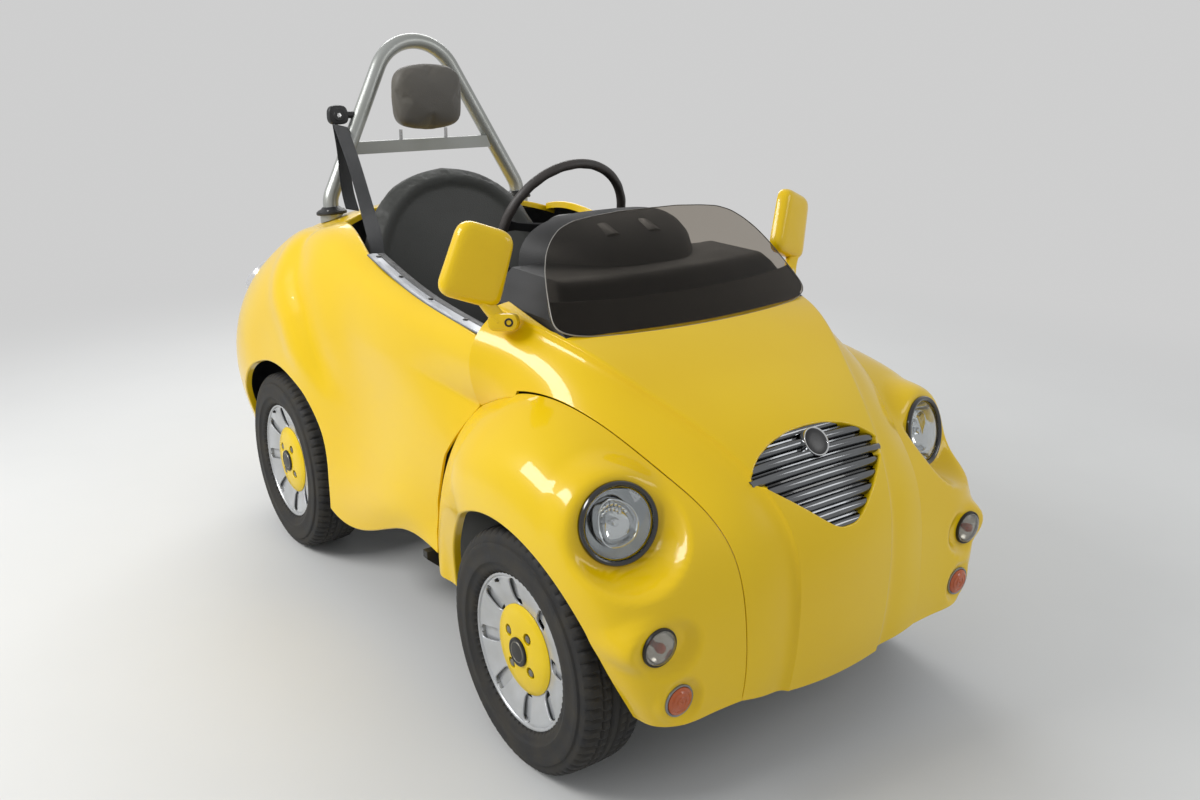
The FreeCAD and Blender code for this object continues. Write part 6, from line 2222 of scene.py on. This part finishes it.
@dataclass
class Dash:
    """The padded scuttle moulding, the hood over the instruments and what stands under it."""

    half: float = 0.327
    shoulder: float = 0.283
    edge_z: float = 0.876
    top_z: float = 0.943
    front_y: float = -0.586
    rear_y: float = -0.312
    hood: tuple[tuple[float, float, float], ...] = (
        (-0.462, 0.03, 0.925), (-0.455, 0.07, 0.938), (-0.44, 0.105, 0.952), (-0.41, 0.14, 0.978),
        (-0.37, 0.176, 1.002), (-0.32, 0.212, 1.022), (-0.28, 0.231, 1.034), (-0.262, 0.235, 1.037),
        (-0.257, 0.232, 1.033), (-0.262, 0.226, 1.028), (-0.3, 0.212, 1.014), (-0.38, 0.16, 0.984),
        (-0.42, 0.11, 0.958), (-0.435, 0.04, 0.935),
    )

    def build(self) -> None:
        """Builds the moulding, the hood and the instruments."""
        draft = Draft()
        xs = np.concatenate([[-self.half + 0.01], np.linspace(-self.half, self.half, 61), [self.half - 0.01]])
        rings = []
        for k, x in enumerate(xs):
            ring = self._section(abs(x))
            if k in (0, len(xs) - 1):
                ring = ring.mean(axis=0) + (ring - ring.mean(axis=0)) * 0.9
                x = math.copysign(self.half + 0.004, x)
            rings.append(np.column_stack([np.full(len(ring), x), ring]))
        draft.skin(np.array(rings)[::-1])
        for side in (-1.0, 1.0):
            screw = Place((side * (self.half + 0.003), -0.452, 0.828), (side, 0.0, 0.0))
            draft.turned([(0.006, -0.002), (0.006, 0.0012), (0.0045, 0.0024), (0.0, 0.0028)], screw, 1, 24)
        draft.piece("dash_moulding", [DASH_BLACK, BOLT_STEEL], "car_body", slot="black_plastic",
                    stands_for=["dashboard"])
        self._hood()
        self._instruments()

    def _section(self, x: float) -> Array:
        """The moulding's closed outline at one distance from the middle.

        Args:
            x: The distance from the middle of the car.

        Returns:
            The outline along the car and in height.
        """
        fall = eased(self.shoulder, self.half, np.array(x))
        plateau = self.edge_z + (self.top_z - self.edge_z) * (1.0 - fall)
        y = np.linspace(self.front_y, self.rear_y, 40)
        under_glass = Screen.foot_z + (y - Screen.foot_y - Screen.curve * x * x) - 0.016
        top = np.minimum(np.maximum(under_glass, 0.838), plateau)
        crowned = np.convolve(np.pad(top, 3, mode="edge"), np.ones(7) / 7.0, mode="valid")
        rear = [(self.rear_y + 0.01, crowned[-1] - 0.012), (self.rear_y + 0.008, 0.83), (-0.318, 0.772),
                (-0.352, 0.75), (-0.56, 0.742), (self.front_y - 0.002, 0.77)]
        return closed_evened(np.vstack([np.column_stack([y, crowned]), rear]), 120)

    def _hood(self) -> None:
        """The flattened arch over the instruments, open towards the driver."""
        draft = Draft()
        rows = np.array([self._arch(half, top, y) for y, half, top in self.hood])
        index = np.arange(rows.shape[0] * rows.shape[1]).reshape(rows.shape[:2])
        a, b, c, d = index[:-1, :-1], index[:-1, 1:], index[1:, 1:], index[1:, :-1]
        draft.add(rows, np.stack([a, d, c, b], axis=2).reshape(-1, 4))
        middle = rows[0].mean(axis=0)
        draft.add(np.vstack([rows[0], [middle]]), [[k + 1, k, len(rows[0])] for k in range(len(rows[0]) - 1)])
        draft.piece("instrument_cowl", [DASH_BLACK], "car_body", slot="black_plastic",
                    stands_for=["instrument_hood"])

    def _arch(self, half: float, top: float, y: float) -> Array:
        """One arch of the hood across the car.

        Args:
            half: Half of its width at the foot.
            top: The height of its middle.
            y: Where it stands along the car.

        Returns:
            The arch's points.
        """
        turn = np.linspace(0.0, math.pi, 61)
        foot = 0.93
        x = np.sign(np.cos(turn)) * np.abs(np.cos(turn)) ** 0.62 * half
        rise = np.sin(turn) ** 0.8 * (top - foot)
        sink = np.where(np.sin(turn) < 0.02, -0.02, 0.0)
        return np.column_stack([x, np.full(61, y), foot + rise + sink])

    def _instruments(self) -> None:
        """Two instrument pods with plain dials, and a strip of rocker switches."""
        draft = Draft()
        tilt = (0.0, 0.94, 0.34)
        for x, radius in ((-0.056, 0.047), (0.056, 0.047)):
            pod = Place((x, -0.322, 0.972), tilt)
            draft.turned([(radius * 0.7, -0.05), (radius, -0.04), (radius, 0.01), (radius - 0.002, 0.013),
                          (radius - 0.006, 0.012), (radius - 0.008, 0.002)], pod, 0, 56, capped=False)
            draft.turned([(radius - 0.008, 0.002), (0.0, 0.002)], pod, 1, 56, capped=False)
            for k in range(25):
                turn = math.radians(225.0 - 270.0 * k / 24.0)
                long = 0.006 if k % 4 == 0 else 0.003
                outer = radius - 0.011
                spot = pod.spot(math.cos(turn) * (outer - long / 2.0),
                                math.sin(turn) * (outer - long / 2.0), 0.0024)
                up = pod.axes()[0] * math.cos(turn) + pod.axes()[1] * math.sin(turn)
                tick = Place(tuple(spot), tuple(pod.axes()[2]), tuple(up))
                draft.slab(np.array(oblong(0.0006, long / 2.0)), [(0.0, 0.0), (0.0, 0.0005)], tick, 2)
            needle = Place(tuple(pod.spot(0.0, 0.0, 0.004)), tuple(pod.axes()[2]),
                           tuple(pod.axes()[0] * -0.7 - pod.axes()[1] * 0.7))
            hand = np.array(tapered(0.0012, -0.006, 0.0006, 0.03))
            draft.slab(hand, [(0.0, 0.0), (0.0, 0.0008)], needle, 3)
            draft.turned([(0.005, 0.002), (0.005, 0.006), (0.003, 0.0075), (0.0, 0.008)], pod, 0, 24)
        for k in range(4):
            spot = Place((-0.045 + 0.03 * k, -0.3135, 0.812), (0.0, 1.0, 0.0))
            key = softened(oblong(0.011, 0.018), 0.004, 4)
            draft.slab(key, [(0.0, -0.006), (0.0, 0.002), (0.0012, 0.0032), (0.004, 0.0036)], spot, 0)
        draft.piece("instrument_pods", [BLACK_PLASTIC, CAP_BLACK, BAR_SILVER, BULB_ORANGE], "car_body",
                    slot="black_plastic")


@dataclass
class HandWheel:
    """The steering wheel: padded rim, three flat spokes and a plain horn pad."""

    centre: Point = (0.0, -0.088, 0.97)
    axis: Point = (0.0, 0.9272, 0.3746)
    rim: float = 0.1715
    tube: float = 0.0118

    def build(self) -> None:
        """Builds the wheel on its body."""
        place = Place(self.centre, self.axis)
        draft = Draft()
        self._rim(draft, place)
        for angle in (-90.0, 172.0, 8.0):
            self._spoke(draft, place, math.radians(angle))
        pad = rounded([(-0.052, -0.04), (0.052, -0.04), (0.06, 0.012), (0.034, 0.038),
                       (-0.034, 0.038), (-0.06, 0.012)], 0.022, 7, 90)
        draft.slab(pad, [(0.01, -0.02), (0.002, -0.016), (0.0, -0.006), (0.002, 0.002), (0.008, 0.0065),
                         (0.02, 0.0085), (0.036, 0.009)], place, 1)
        draft.turned([(0.036, -0.024), (0.038, -0.022), (0.038, -0.01), (0.034, -0.006)], place, 1, 44)
        draft.turned([(0.009, -0.083), (0.009, -0.022)], place, 2, 24)
        draft.piece("hand_wheel", [GRIP_GREY, BLACK_PLASTIC, AXLE_STEEL], "steering_hand_wheel",
                    slot="wheel_grip", stands_for=["steering_wheel"])

    def _rim(self, draft: Draft, place: Place) -> None:
        """The rim, with shallow finger dents behind it.

        Args:
            draft: Where its faces go.
            place: Where the wheel faces.
        """
        turns = np.linspace(0.0, 2.0 * math.pi, 168, endpoint=False)
        section = circle(1.0, 20)
        rings = []
        for turn in turns:
            dent = 1.0 - 0.07 * (0.5 + 0.5 * math.cos(turn * 24.0)) * (section[:, 1] < -0.2)
            r = self.rim + section[:, 0] * self.tube * 0.95 * dent
            w = section[:, 1] * self.tube * 1.05 * dent
            rings.append(place.at(np.column_stack([r * math.cos(turn), r * math.sin(turn), w])))
        draft.skin(np.array(rings), 0, joined=True)

    def _spoke(self, draft: Draft, place: Place, turn: float) -> None:
        """One flat spoke from the pad out to the rim.

        Args:
            draft: Where its faces go.
            place: Where the wheel faces.
            turn: The spoke's angle.
        """
        reach = np.linspace(0.03, 0.165, 12)
        path = place.at(np.column_stack([reach * math.cos(turn), reach * math.sin(turn),
                                         -0.01 + 0.01 * eased(0.03, 0.165, reach)]))
        width = 0.017 - 0.005 * eased(0.03, 0.12, reach) + 0.006 * eased(0.14, 0.165, reach)
        side = -place.axes()[0] * math.sin(turn) + place.axes()[1] * math.cos(turn)
        section = rounded(oblong(1.0, 0.0035), 0.0034, 3, 24)
        rings = []
        over = np.cross(unit(path[-1] - path[0]), side)
        for spot, w in zip(path, width):
            rings.append(spot + section[:, :1] * w * side + section[:, 1:] * over)
        draft.skin(np.array(rings), 1)


@dataclass
class SideMirror:
    """A yellow mirror head on its clamp, at one corner of the screen."""

    hand: str
    roll: float
    centre: Point = (0.433, -0.433, 0.988)
    foot: Point = (0.402, -0.47, 0.866)
    toe: float = 16.0
    lean: float = 6.0

    @property
    def place(self) -> Place:
        """Where the head faces from, as if on the car's left.

        Returns:
            The head's place.
        """
        toe, lean, roll = (math.radians(v) for v in (self.toe, self.lean, self.roll))
        out = (math.sin(toe) * math.cos(lean), -math.cos(toe) * math.cos(lean), math.sin(lean))
        return Place(self.centre, out, (math.sin(roll), 0.0, math.cos(roll)))

    def build(self) -> None:
        """Builds the head, its glass, the neck and the clamp."""
        draft = Draft()
        place = self.place
        shell = rounded(tapered(0.067, -0.08, 0.059, 0.077), 0.034, 10, 120)
        draft.slab(shell, [(0.004, -0.015), (0.001, -0.0145), (0.0, -0.0115), (0.0, -0.006), (0.001, 0.001),
                           (0.004, 0.007), (0.009, 0.0115), (0.016, 0.014), (0.026, 0.0155)], place, 0)
        draft.slab(shell, [(0.007, -0.0146), (0.007, -0.0153), (0.0085, -0.0157)], place, 1)
        self._neck(draft, place)
        draft.piece(f"side_mirror_{self.hand}", [BODY_YELLOW, MIRROR_FACE, CAP_BLACK], "car_body",
                    self.hand == "right", "mirror_shell", [f"mirror_{self.hand}"])

    def _neck(self, draft: Draft, place: Place) -> None:
        """The short neck from the head's lowest corner, and the clamp with its bolt.

        Args:
            draft: Where its faces go.
            place: Where the head faces from.
        """
        corner = math.copysign(0.034, self.roll)
        start = place.spot(corner, -0.068, -0.002)
        end = np.array(self.foot) + np.array([0.002, 0.004, 0.008])
        path = smooth_run([start, (start + end) / 2.0 + np.array([0.0, 0.002, 0.0]), end], 14)
        section = rounded(oblong(0.015, 0.009), 0.007, 4, 28)
        draft.swept(path, section, np.array([1.0, 0.0, 0.0]), 0)
        clamp = Place((self.foot[0], self.foot[1], self.foot[2] + 0.006), (0.62, -0.76, 0.2))
        outline = rounded([(-0.026, -0.018), (0.024, -0.018), (0.032, 0.0), (0.024, 0.017),
                           (-0.026, 0.018), (-0.034, 0.0)], 0.012, 6, 64)
        draft.slab(outline, [(0.004, -0.03), (0.0, -0.026), (0.0, 0.006), (0.0016, 0.0095), (0.005, 0.011),
                             (0.012, 0.0115)], clamp, 0)
        bolt = clamp.moved(-0.014, 0.0, 0.0115)
        draft.turned([(0.0088, -0.004), (0.0088, 0.0006), (0.0078, 0.0014), (0.0056, 0.0014),
                      (0.0046, -0.001), (0.0, -0.001)], bolt, 2, 28)


@dataclass
class Belt:
    """The belt's guide on the bar and its two webbing runs."""

    guide: Point = (-0.252, 0.649, 1.199)

    def build(self) -> None:
        """Builds the two webbing runs, then the guide and the buckle."""
        straps = Draft()
        section = rounded(oblong(0.0225, 0.0008), 0.0007, 3, 28)
        x, y, z = self.guide
        rear = smooth_run([(x, y - 0.004, z - 0.026), (x - 0.012, 0.6, 1.11), (x - 0.03, 0.54, 1.0),
                           (x - 0.034, 0.508, 0.96)], 40)
        front = smooth_run([(x, y - 0.013, z - 0.026), (x - 0.018, 0.52, 1.085), (x - 0.045, 0.38, 0.965),
                            (x - 0.07, 0.29, 0.905), (x - 0.082, 0.252, 0.868)], 48)
        for path in (rear, front):
            straps.swept(path, section, np.array([0.8, 0.42, 0.1]), 0)
        straps.piece("belt_straps", [WEBBING], "car_body", slot="webbing", stands_for=["seat_belt"])
        self._hardware()

    def _hardware(self) -> None:
        """The guide loop, its arm and the buckle on its stalk."""
        draft = Draft()
        x, y, z = self.guide
        loop = rounded(tapered(0.03, -0.024, 0.027, 0.028), 0.022, 8, 64)
        place = Place((x, y, z), (0.0, -1.0, 0.12))
        draft.slab(loop, [(0.002, -0.01), (0.0, -0.0075), (0.0, 0.0055), (0.0018, 0.0088), (0.006, 0.01)],
                   place, 0)
        draft.turned([(0.016, -0.004), (0.016, 0.0105), (0.0145, 0.012), (0.0, 0.0126)], place, 0, 36)
        draft.turned([(0.007, 0.01), (0.007, 0.0132), (0.0058, 0.0142), (0.0, 0.0144)], place, 1, 6)
        arm = smooth_run([(x + 0.008, y, z), (x + 0.024, y, z + 0.001), (x + 0.048, y + 0.001, z)], 8)
        draft.swept(arm, circle(0.0095, 20), np.array([0.0, 1.0, 0.0]), 0)
        stalk = Place((0.261, 0.165, 0.44), (1.0, 0.0, 0.0), (0.0, 0.12, 1.0))
        outline = rounded(tapered(0.011, -0.222, 0.011, 0.02), 0.006, 4, 40)
        draft.slab(outline, [(0.001, -0.004), (0.0, -0.003), (0.0, 0.003), (0.001, 0.004)], stalk, 1)
        head = rounded(tapered(0.014, 0.012, 0.014, 0.078), 0.005, 5, 48)
        draft.slab(head, [(0.002, -0.009), (0.0, -0.007), (0.0, 0.007), (0.002, 0.009)], stalk, 0)
        button = rounded(tapered(0.01, 0.052, 0.01, 0.07), 0.003, 4, 32)
        draft.slab(button, [(0.0, 0.0085), (0.0006, 0.01), (0.003, 0.0104)], stalk, 2)
        draft.piece("belt_guide_and_buckle", [BLACK_PLASTIC, BRIGHT_STEEL, TAIL_RED], "car_body",
                    slot="black_plastic", stands_for=["belt_hardware"])


@dataclass
class Fittings:
    """Small pieces on the carried-over nodes: strips, screws, rings, motor and battery."""

    cockpit_edge: tuple[Point, ...] = ((0.41, -0.388, 0.828), (0.408, -0.1, 0.852), (0.392, 0.18, 0.896))

    def build(self) -> None:
        """Builds every small fitting."""
        self._foot_rings()
        self._trim_screws()
        self._motor()
        self._battery()

    def _foot_rings(self) -> None:
        """The rubber plates that the roll bar stands in."""
        draft = Draft()
        place = Place((0.303, 0.6155, 0.948), (0.03, 0.1, 1.0))
        draft.turned([(0.0225, -0.012), (0.04, -0.012), (0.042, -0.009), (0.0415, -0.004), (0.036, 0.0005),
                      (0.028, 0.004), (0.024, 0.0085), (0.0225, 0.009)], place, 0, 56, joined=True)
        for turn in (0.4, 2.5, 4.6):
            draft.turned([(0.0042, -0.004), (0.0042, 0.0018), (0.003, 0.0032), (0.0, 0.0036)],
                         place.around(0.034, turn, -0.001), 1, 20)
        for mirror, hand in HANDS:
            draft.piece(f"bar_foot_ring_{hand}", [BLACK_PLASTIC, BRIGHT_STEEL], "car_body", mirror,
                        "black_plastic")

    def _trim_screws(self) -> None:
        """The bright strips along the cockpit's edge, their rubber and their slotted screws."""
        low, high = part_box("sill_trims")
        edge = np.array(self.cockpit_edge)
        edge = spline(edge[:, 1], edge, np.linspace(max(low.y, -0.388), min(high.y, 0.186), 60))
        metal = [(-0.0235, 0.0008), (0.0015, 0.0008), (0.0028, 0.002), (0.0024, 0.0042), (0.0, 0.0056),
                 (-0.012, 0.006), (-0.0225, 0.0056), (-0.0235, 0.0045)]
        rubber = [(-0.044, 0.0004), (-0.0228, 0.0006), (-0.0228, 0.0044), (-0.026, 0.0056),
                  (-0.04, 0.005), (-0.044, 0.003)]
        strips = Draft()
        strips.swept(edge[::-1], np.array(metal), np.array([1.0, 0.0, 0.0]), 0)
        strips.swept(edge[::-1], np.array(rubber), np.array([1.0, 0.0, 0.0]), 1)
        for mirror, hand in HANDS:
            strips.piece(f"sill_strip_{hand}", [TRIM_SILVER, BLACK_PLASTIC], "car_body", mirror, "trim_metal",
                         ["sill_trims"])
        draft = Draft()
        for y in (-0.3, -0.14, 0.02, 0.16):
            x, z = (float(np.interp(y, edge[:, 1], edge[:, k])) for k in (0, 2))
            slope = float(np.interp(y, edge[:-1, 1], np.diff(edge[:, 2]) / np.diff(edge[:, 1])))
            place = Place((x - 0.018, y, z + 0.0056), (0.0, -slope, 1.0), (0.0, 1.0, slope))
            draft.turned([(0.0062, -0.001), (0.0062, 0.001), (0.005, 0.002), (0.0, 0.0024)], place, 0, 28)
            draft.slab(np.array(oblong(0.005, 0.0007)), [(0.0, 0.0015), (0.0, 0.0027)], place, 1)
        for mirror, hand in HANDS:
            draft.piece(f"trim_screws_{hand}", [CAP_BLACK, BOLT_STEEL], "car_body", mirror, "trim_metal")

    def _motor(self) -> None:
        """The drive motor: ribbed casing, end bells and a terminal box."""
        draft = Draft()
        low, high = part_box("drive_motor")
        middle = (low + high) / 2.0
        place = Place((low.x, middle.y, middle.z), (1.0, 0.0, 0.0))
        length = high.x - low.x
        draft.turned([(0.0, 0.0), (0.05, 0.0), (0.066, 0.006), (0.074, 0.018), (0.074, 0.03)], place, 0, 60,
                     capped=False)
        count = 36
        rings = []
        for w in (0.03, 0.033, length - 0.033, length - 0.03):
            ring = circle(0.0775, count * 4)
            inset = np.where((np.arange(count * 4) % 4) < 2, 0.0, 0.0055)
            if w in (0.03, length - 0.03):
                inset = inset + 0.003
            ring = ring * (1.0 - inset / 0.0775)[:, None]
            rings.append(place.at(np.column_stack([ring, np.full(count * 4, w)])))
        draft.skin(np.array(rings), 0)
        draft.turned([(0.074, length - 0.03), (0.074, length - 0.01), (0.068, length - 0.002), (0.0, length)],
                     place, 0, 60, capped=False)
        lid = rounded(oblong(0.035, 0.022), 0.006, 4, 40)
        draft.slab(lid, [(0.0, -0.01), (0.0, 0.01), (0.002, 0.0118), (0.006, 0.012)],
                   facing_up(middle.x, middle.y, high.z - 0.012), 1)
        draft.piece("motor_casing", [MOTOR_GREY, BLACK_PLASTIC], "car_body", slot="axle_steel",
                    stands_for=["drive_motor"])

    def _battery(self) -> None:
        """The battery case with its lid, hold-down strap and terminals."""
        draft = Draft()
        low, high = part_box("battery_pack")
        place = facing_up((low.x + high.x) / 2.0, (low.y + high.y) / 2.0, low.z)
        half_x, half_y, tall = (high.x - low.x) / 2.0, (high.y - low.y) / 2.0, high.z - low.z
        case = rounded(oblong(half_x, half_y), 0.012, 6, 120)
        draft.slab(case, [(0.004, 0.0), (0.002, 0.002), (0.002, tall - 0.04), (0.0, tall - 0.038),
                          (0.0, tall - 0.014), (0.003, tall - 0.01), (0.012, tall - 0.01)], place, 0)
        for share in (-0.6, -0.2, 0.2, 0.6):
            rib = rounded(oblong(0.01, 0.06), 0.004, 4, 36)
            draft.slab(rib, [(0.0, -0.001), (0.0, 0.004), (0.0015, 0.005)],
                       facing_up(share * half_x, low.y + half_y, high.z - 0.01), 0)
        for x in (-0.155, 0.155):
            post = facing_up(x, low.y + half_y, high.z - 0.01)
            draft.turned([(0.009, -0.002), (0.009, 0.007), (0.0075, 0.0095), (0.0, 0.0098)], post, 1, 28)
        draft.piece("battery_case", [CASE_GREY, BRIGHT_STEEL], "car_body", slot="black_plastic",
                    stands_for=["battery_pack"])


@dataclass
class CarriedNodes:
    """The CAD nodes that stay in view and what they are finished in."""

    finishes: dict[str, Finish] = field(default_factory=lambda: {
        "chassis_frame": FRAME_BLACK, "front_axle": FRAME_BLACK, "rear_axle": AXLE_STEEL,
        "plate_bracket": PLATE_STEEL, "knuckle_left": AXLE_STEEL, "knuckle_right": AXLE_STEEL,
        "tie_rod": AXLE_STEEL, "cockpit_tub": TUB_GREY, "roll_bar": BAR_SILVER,
        "headrest_posts": BRIGHT_STEEL, "steering_column": BLACK_PLASTIC, "pedals": BLACK_PLASTIC,
    })
    bevel: float = 0.002

    def dress(self) -> None:
        """Gives every carried node its finish and soft edges."""
        for name, finish in self.finishes.items():
            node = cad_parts[name]
            node.data.materials.clear()
            node.data.materials.append(finish.material())
            soft = node.modifiers.new("Edges", "BEVEL")
            soft.width = self.bevel
            soft.segments = 2
            soft.limit_method = "ANGLE"
            soft.angle_limit = math.radians(40.0)
            soft.harden_normals = True
            LOG.info("node %s in %s", name, finish.name)


# Stage


@dataclass
class Studio:
    """The floor, the lights and the camera at the photograph's angle."""

    eye: Point = (-1.4928, -2.309, 1.4241)
    yaw: float = -35.93
    elevation: float = 18.554
    roll: float = 0.434
    focal_px: float = 1097.5
    image_width: float = 1200.0
    sensor: float = 36.0
    floor_half: float = 40.0
    world_strength: float = 0.6
    backdrop: float = 0.62
    fade: tuple[float, float] = (1.7, 4.4)

    def build(self) -> None:
        """Builds the stage."""
        self._camera()
        self._world()
        self._lights()
        self._floor()

    def _camera(self) -> None:
        """The camera, where the photograph was taken from."""
        data = bpy.data.cameras.new("camera")
        data.sensor_width = self.sensor
        data.lens = self.sensor * self.focal_px / self.image_width
        camera = bpy.data.objects.new("camera", data)
        a, e = math.radians(self.yaw), math.radians(self.elevation)
        back = Vector((math.sin(a) * math.cos(e), -math.cos(a) * math.cos(e), math.sin(e)))
        right = Vector((math.cos(a), math.sin(a), 0.0))
        up = back.cross(right)
        s, c = math.sin(math.radians(self.roll)), math.cos(math.radians(self.roll))
        across = right * c + up * s
        above = up * c - right * s
        turn = Matrix((across, above, back)).transposed()
        camera.matrix_world = Matrix.Translation(self.eye) @ turn.to_4x4()
        bpy.context.scene.collection.objects.link(camera)
        bpy.context.scene.camera = camera

    def _world(self) -> None:
        """A pale backdrop that gives soft even light."""
        world = bpy.data.worlds.new("studio")
        bpy.context.scene.world = world
        world.use_nodes = True
        nodes, links = world.node_tree.nodes, world.node_tree.links
        light = nodes["Background"]
        light.inputs["Color"].default_value = (0.93, 0.96, 1.0, 1.0)
        light.inputs["Strength"].default_value = self.world_strength
        seen = nodes.new("ShaderNodeBackground")
        seen.inputs["Color"].default_value = (1.0, 1.0, 1.0, 1.0)
        seen.inputs["Strength"].default_value = self.backdrop
        mix = nodes.new("ShaderNodeMixShader")
        links.new(self._shown(nodes, links), mix.inputs[0])
        links.new(light.outputs[0], mix.inputs[1])
        links.new(seen.outputs[0], mix.inputs[2])
        links.new(mix.outputs[0], nodes["World Output"].inputs["Surface"])

    @staticmethod
    def _shown(nodes: bpy.types.Nodes, links: bpy.types.NodeLinks) -> bpy.types.NodeSocket:
        """One where the backdrop is looked at, straight, in a reflection or through glass.

        Args:
            nodes: The tree's nodes.
            links: The tree's links.

        Returns:
            The socket that carries it.
        """
        path = nodes.new("ShaderNodeLightPath")
        shown = path.outputs["Is Camera Ray"]
        for kind in ("Is Glossy Ray", "Is Transmission Ray"):
            either = nodes.new("ShaderNodeMath")
            either.operation = "MAXIMUM"
            links.new(shown, either.inputs[0])
            links.new(path.outputs[kind], either.inputs[1])
            shown = either.outputs[0]
        return shown

    def _lights(self) -> None:
        """Three soft boxes: one high, one to each side."""
        for name, spot, size, energy in (("key", (-3.4, 0.9, 3.2), (2.6, 1.2), 130.0),
                                         ("fill", (2.4, -3.2, 2.6), (1.6, 1.6), 24.0),
                                         ("back", (1.4, 3.2, 3.0), (2.6, 1.6), 60.0)):
            data = bpy.data.lights.new(name, "AREA")
            data.shape = "RECTANGLE"
            data.size, data.size_y = size
            data.energy = energy
            lamp = bpy.data.objects.new(name, data)
            lamp.location = spot
            aim = Vector((0.0, 0.0, 0.5)) - Vector(spot)
            lamp.rotation_mode = "QUATERNION"
            lamp.rotation_quaternion = aim.to_track_quat("-Z", "Y")
            bpy.context.scene.collection.objects.link(lamp)

    def _floor(self) -> None:
        """A wide plain floor that fades into the backdrop some metres from the car."""
        mesh = bpy.data.meshes.new("floor")
        far = self.floor_half
        mesh.from_pydata([(-far, -far, 0.0), (far, -far, 0.0), (far, far, 0.0), (-far, far, 0.0)], [],
                         [(0, 1, 2, 3)])
        material = FLOOR_GREY.material()
        nodes, links = material.node_tree.nodes, material.node_tree.links
        out = next(node for node in nodes if node.type == "OUTPUT_MATERIAL")
        lit = out.inputs["Surface"].links[0].from_socket
        place = nodes.new("ShaderNodeNewGeometry")
        apart = nodes.new("ShaderNodeVectorMath")
        apart.operation = "LENGTH"
        links.new(place.outputs["Position"], apart.inputs[0])
        share = nodes.new("ShaderNodeMapRange")
        share.interpolation_type = "SMOOTHSTEP"
        share.inputs["From Min"].default_value, share.inputs["From Max"].default_value = self.fade
        links.new(apart.outputs["Value"], share.inputs["Value"])
        both = nodes.new("ShaderNodeMath")
        both.operation = "MULTIPLY"
        links.new(share.outputs["Result"], both.inputs[0])
        links.new(self._shown(nodes, links), both.inputs[1])
        glow = nodes.new("ShaderNodeEmission")
        glow.inputs["Color"].default_value = (1.0, 1.0, 1.0, 1.0)
        glow.inputs["Strength"].default_value = self.backdrop
        mix = nodes.new("ShaderNodeMixShader")
        links.new(both.outputs[0], mix.inputs[0])
        links.new(lit, mix.inputs[1])
        links.new(glow.outputs[0], mix.inputs[2])
        links.new(mix.outputs[0], out.inputs["Surface"])
        mesh.materials.append(material)
        floor = bpy.data.objects.new("floor", mesh)
        bpy.context.scene.collection.objects.link(floor)


def main() -> None:
    """Builds the whole car in order."""
    logging.basicConfig(level=logging.INFO, format="%(name)s: %(message)s")
    Studio().build()
    CarriedNodes().dress()
    lamps = FrontLamps()
    grille = Grille()
    Bodywork().build(lamps, grille)
    lamps.build()
    TailLamps().build()
    grille.build()
    for end, axle_y in (("front", FRONT_AXLE_Y), ("rear", REAR_AXLE_Y)):
        for hand in ("left", "right"):
            RoadWheel(axle_y, hand, end).build()
    Screen().build()
    Dash().build()
    HandWheel().build()
    SideMirror("left", 21.0).build()
    SideMirror("right", -20.0).build()
    Belt().build()
    Seat().build()
    Fittings().build()
    scene = bpy.context.scene
    scene.view_settings.view_transform = "Standard"


if __name__ == "__main__":
    main()
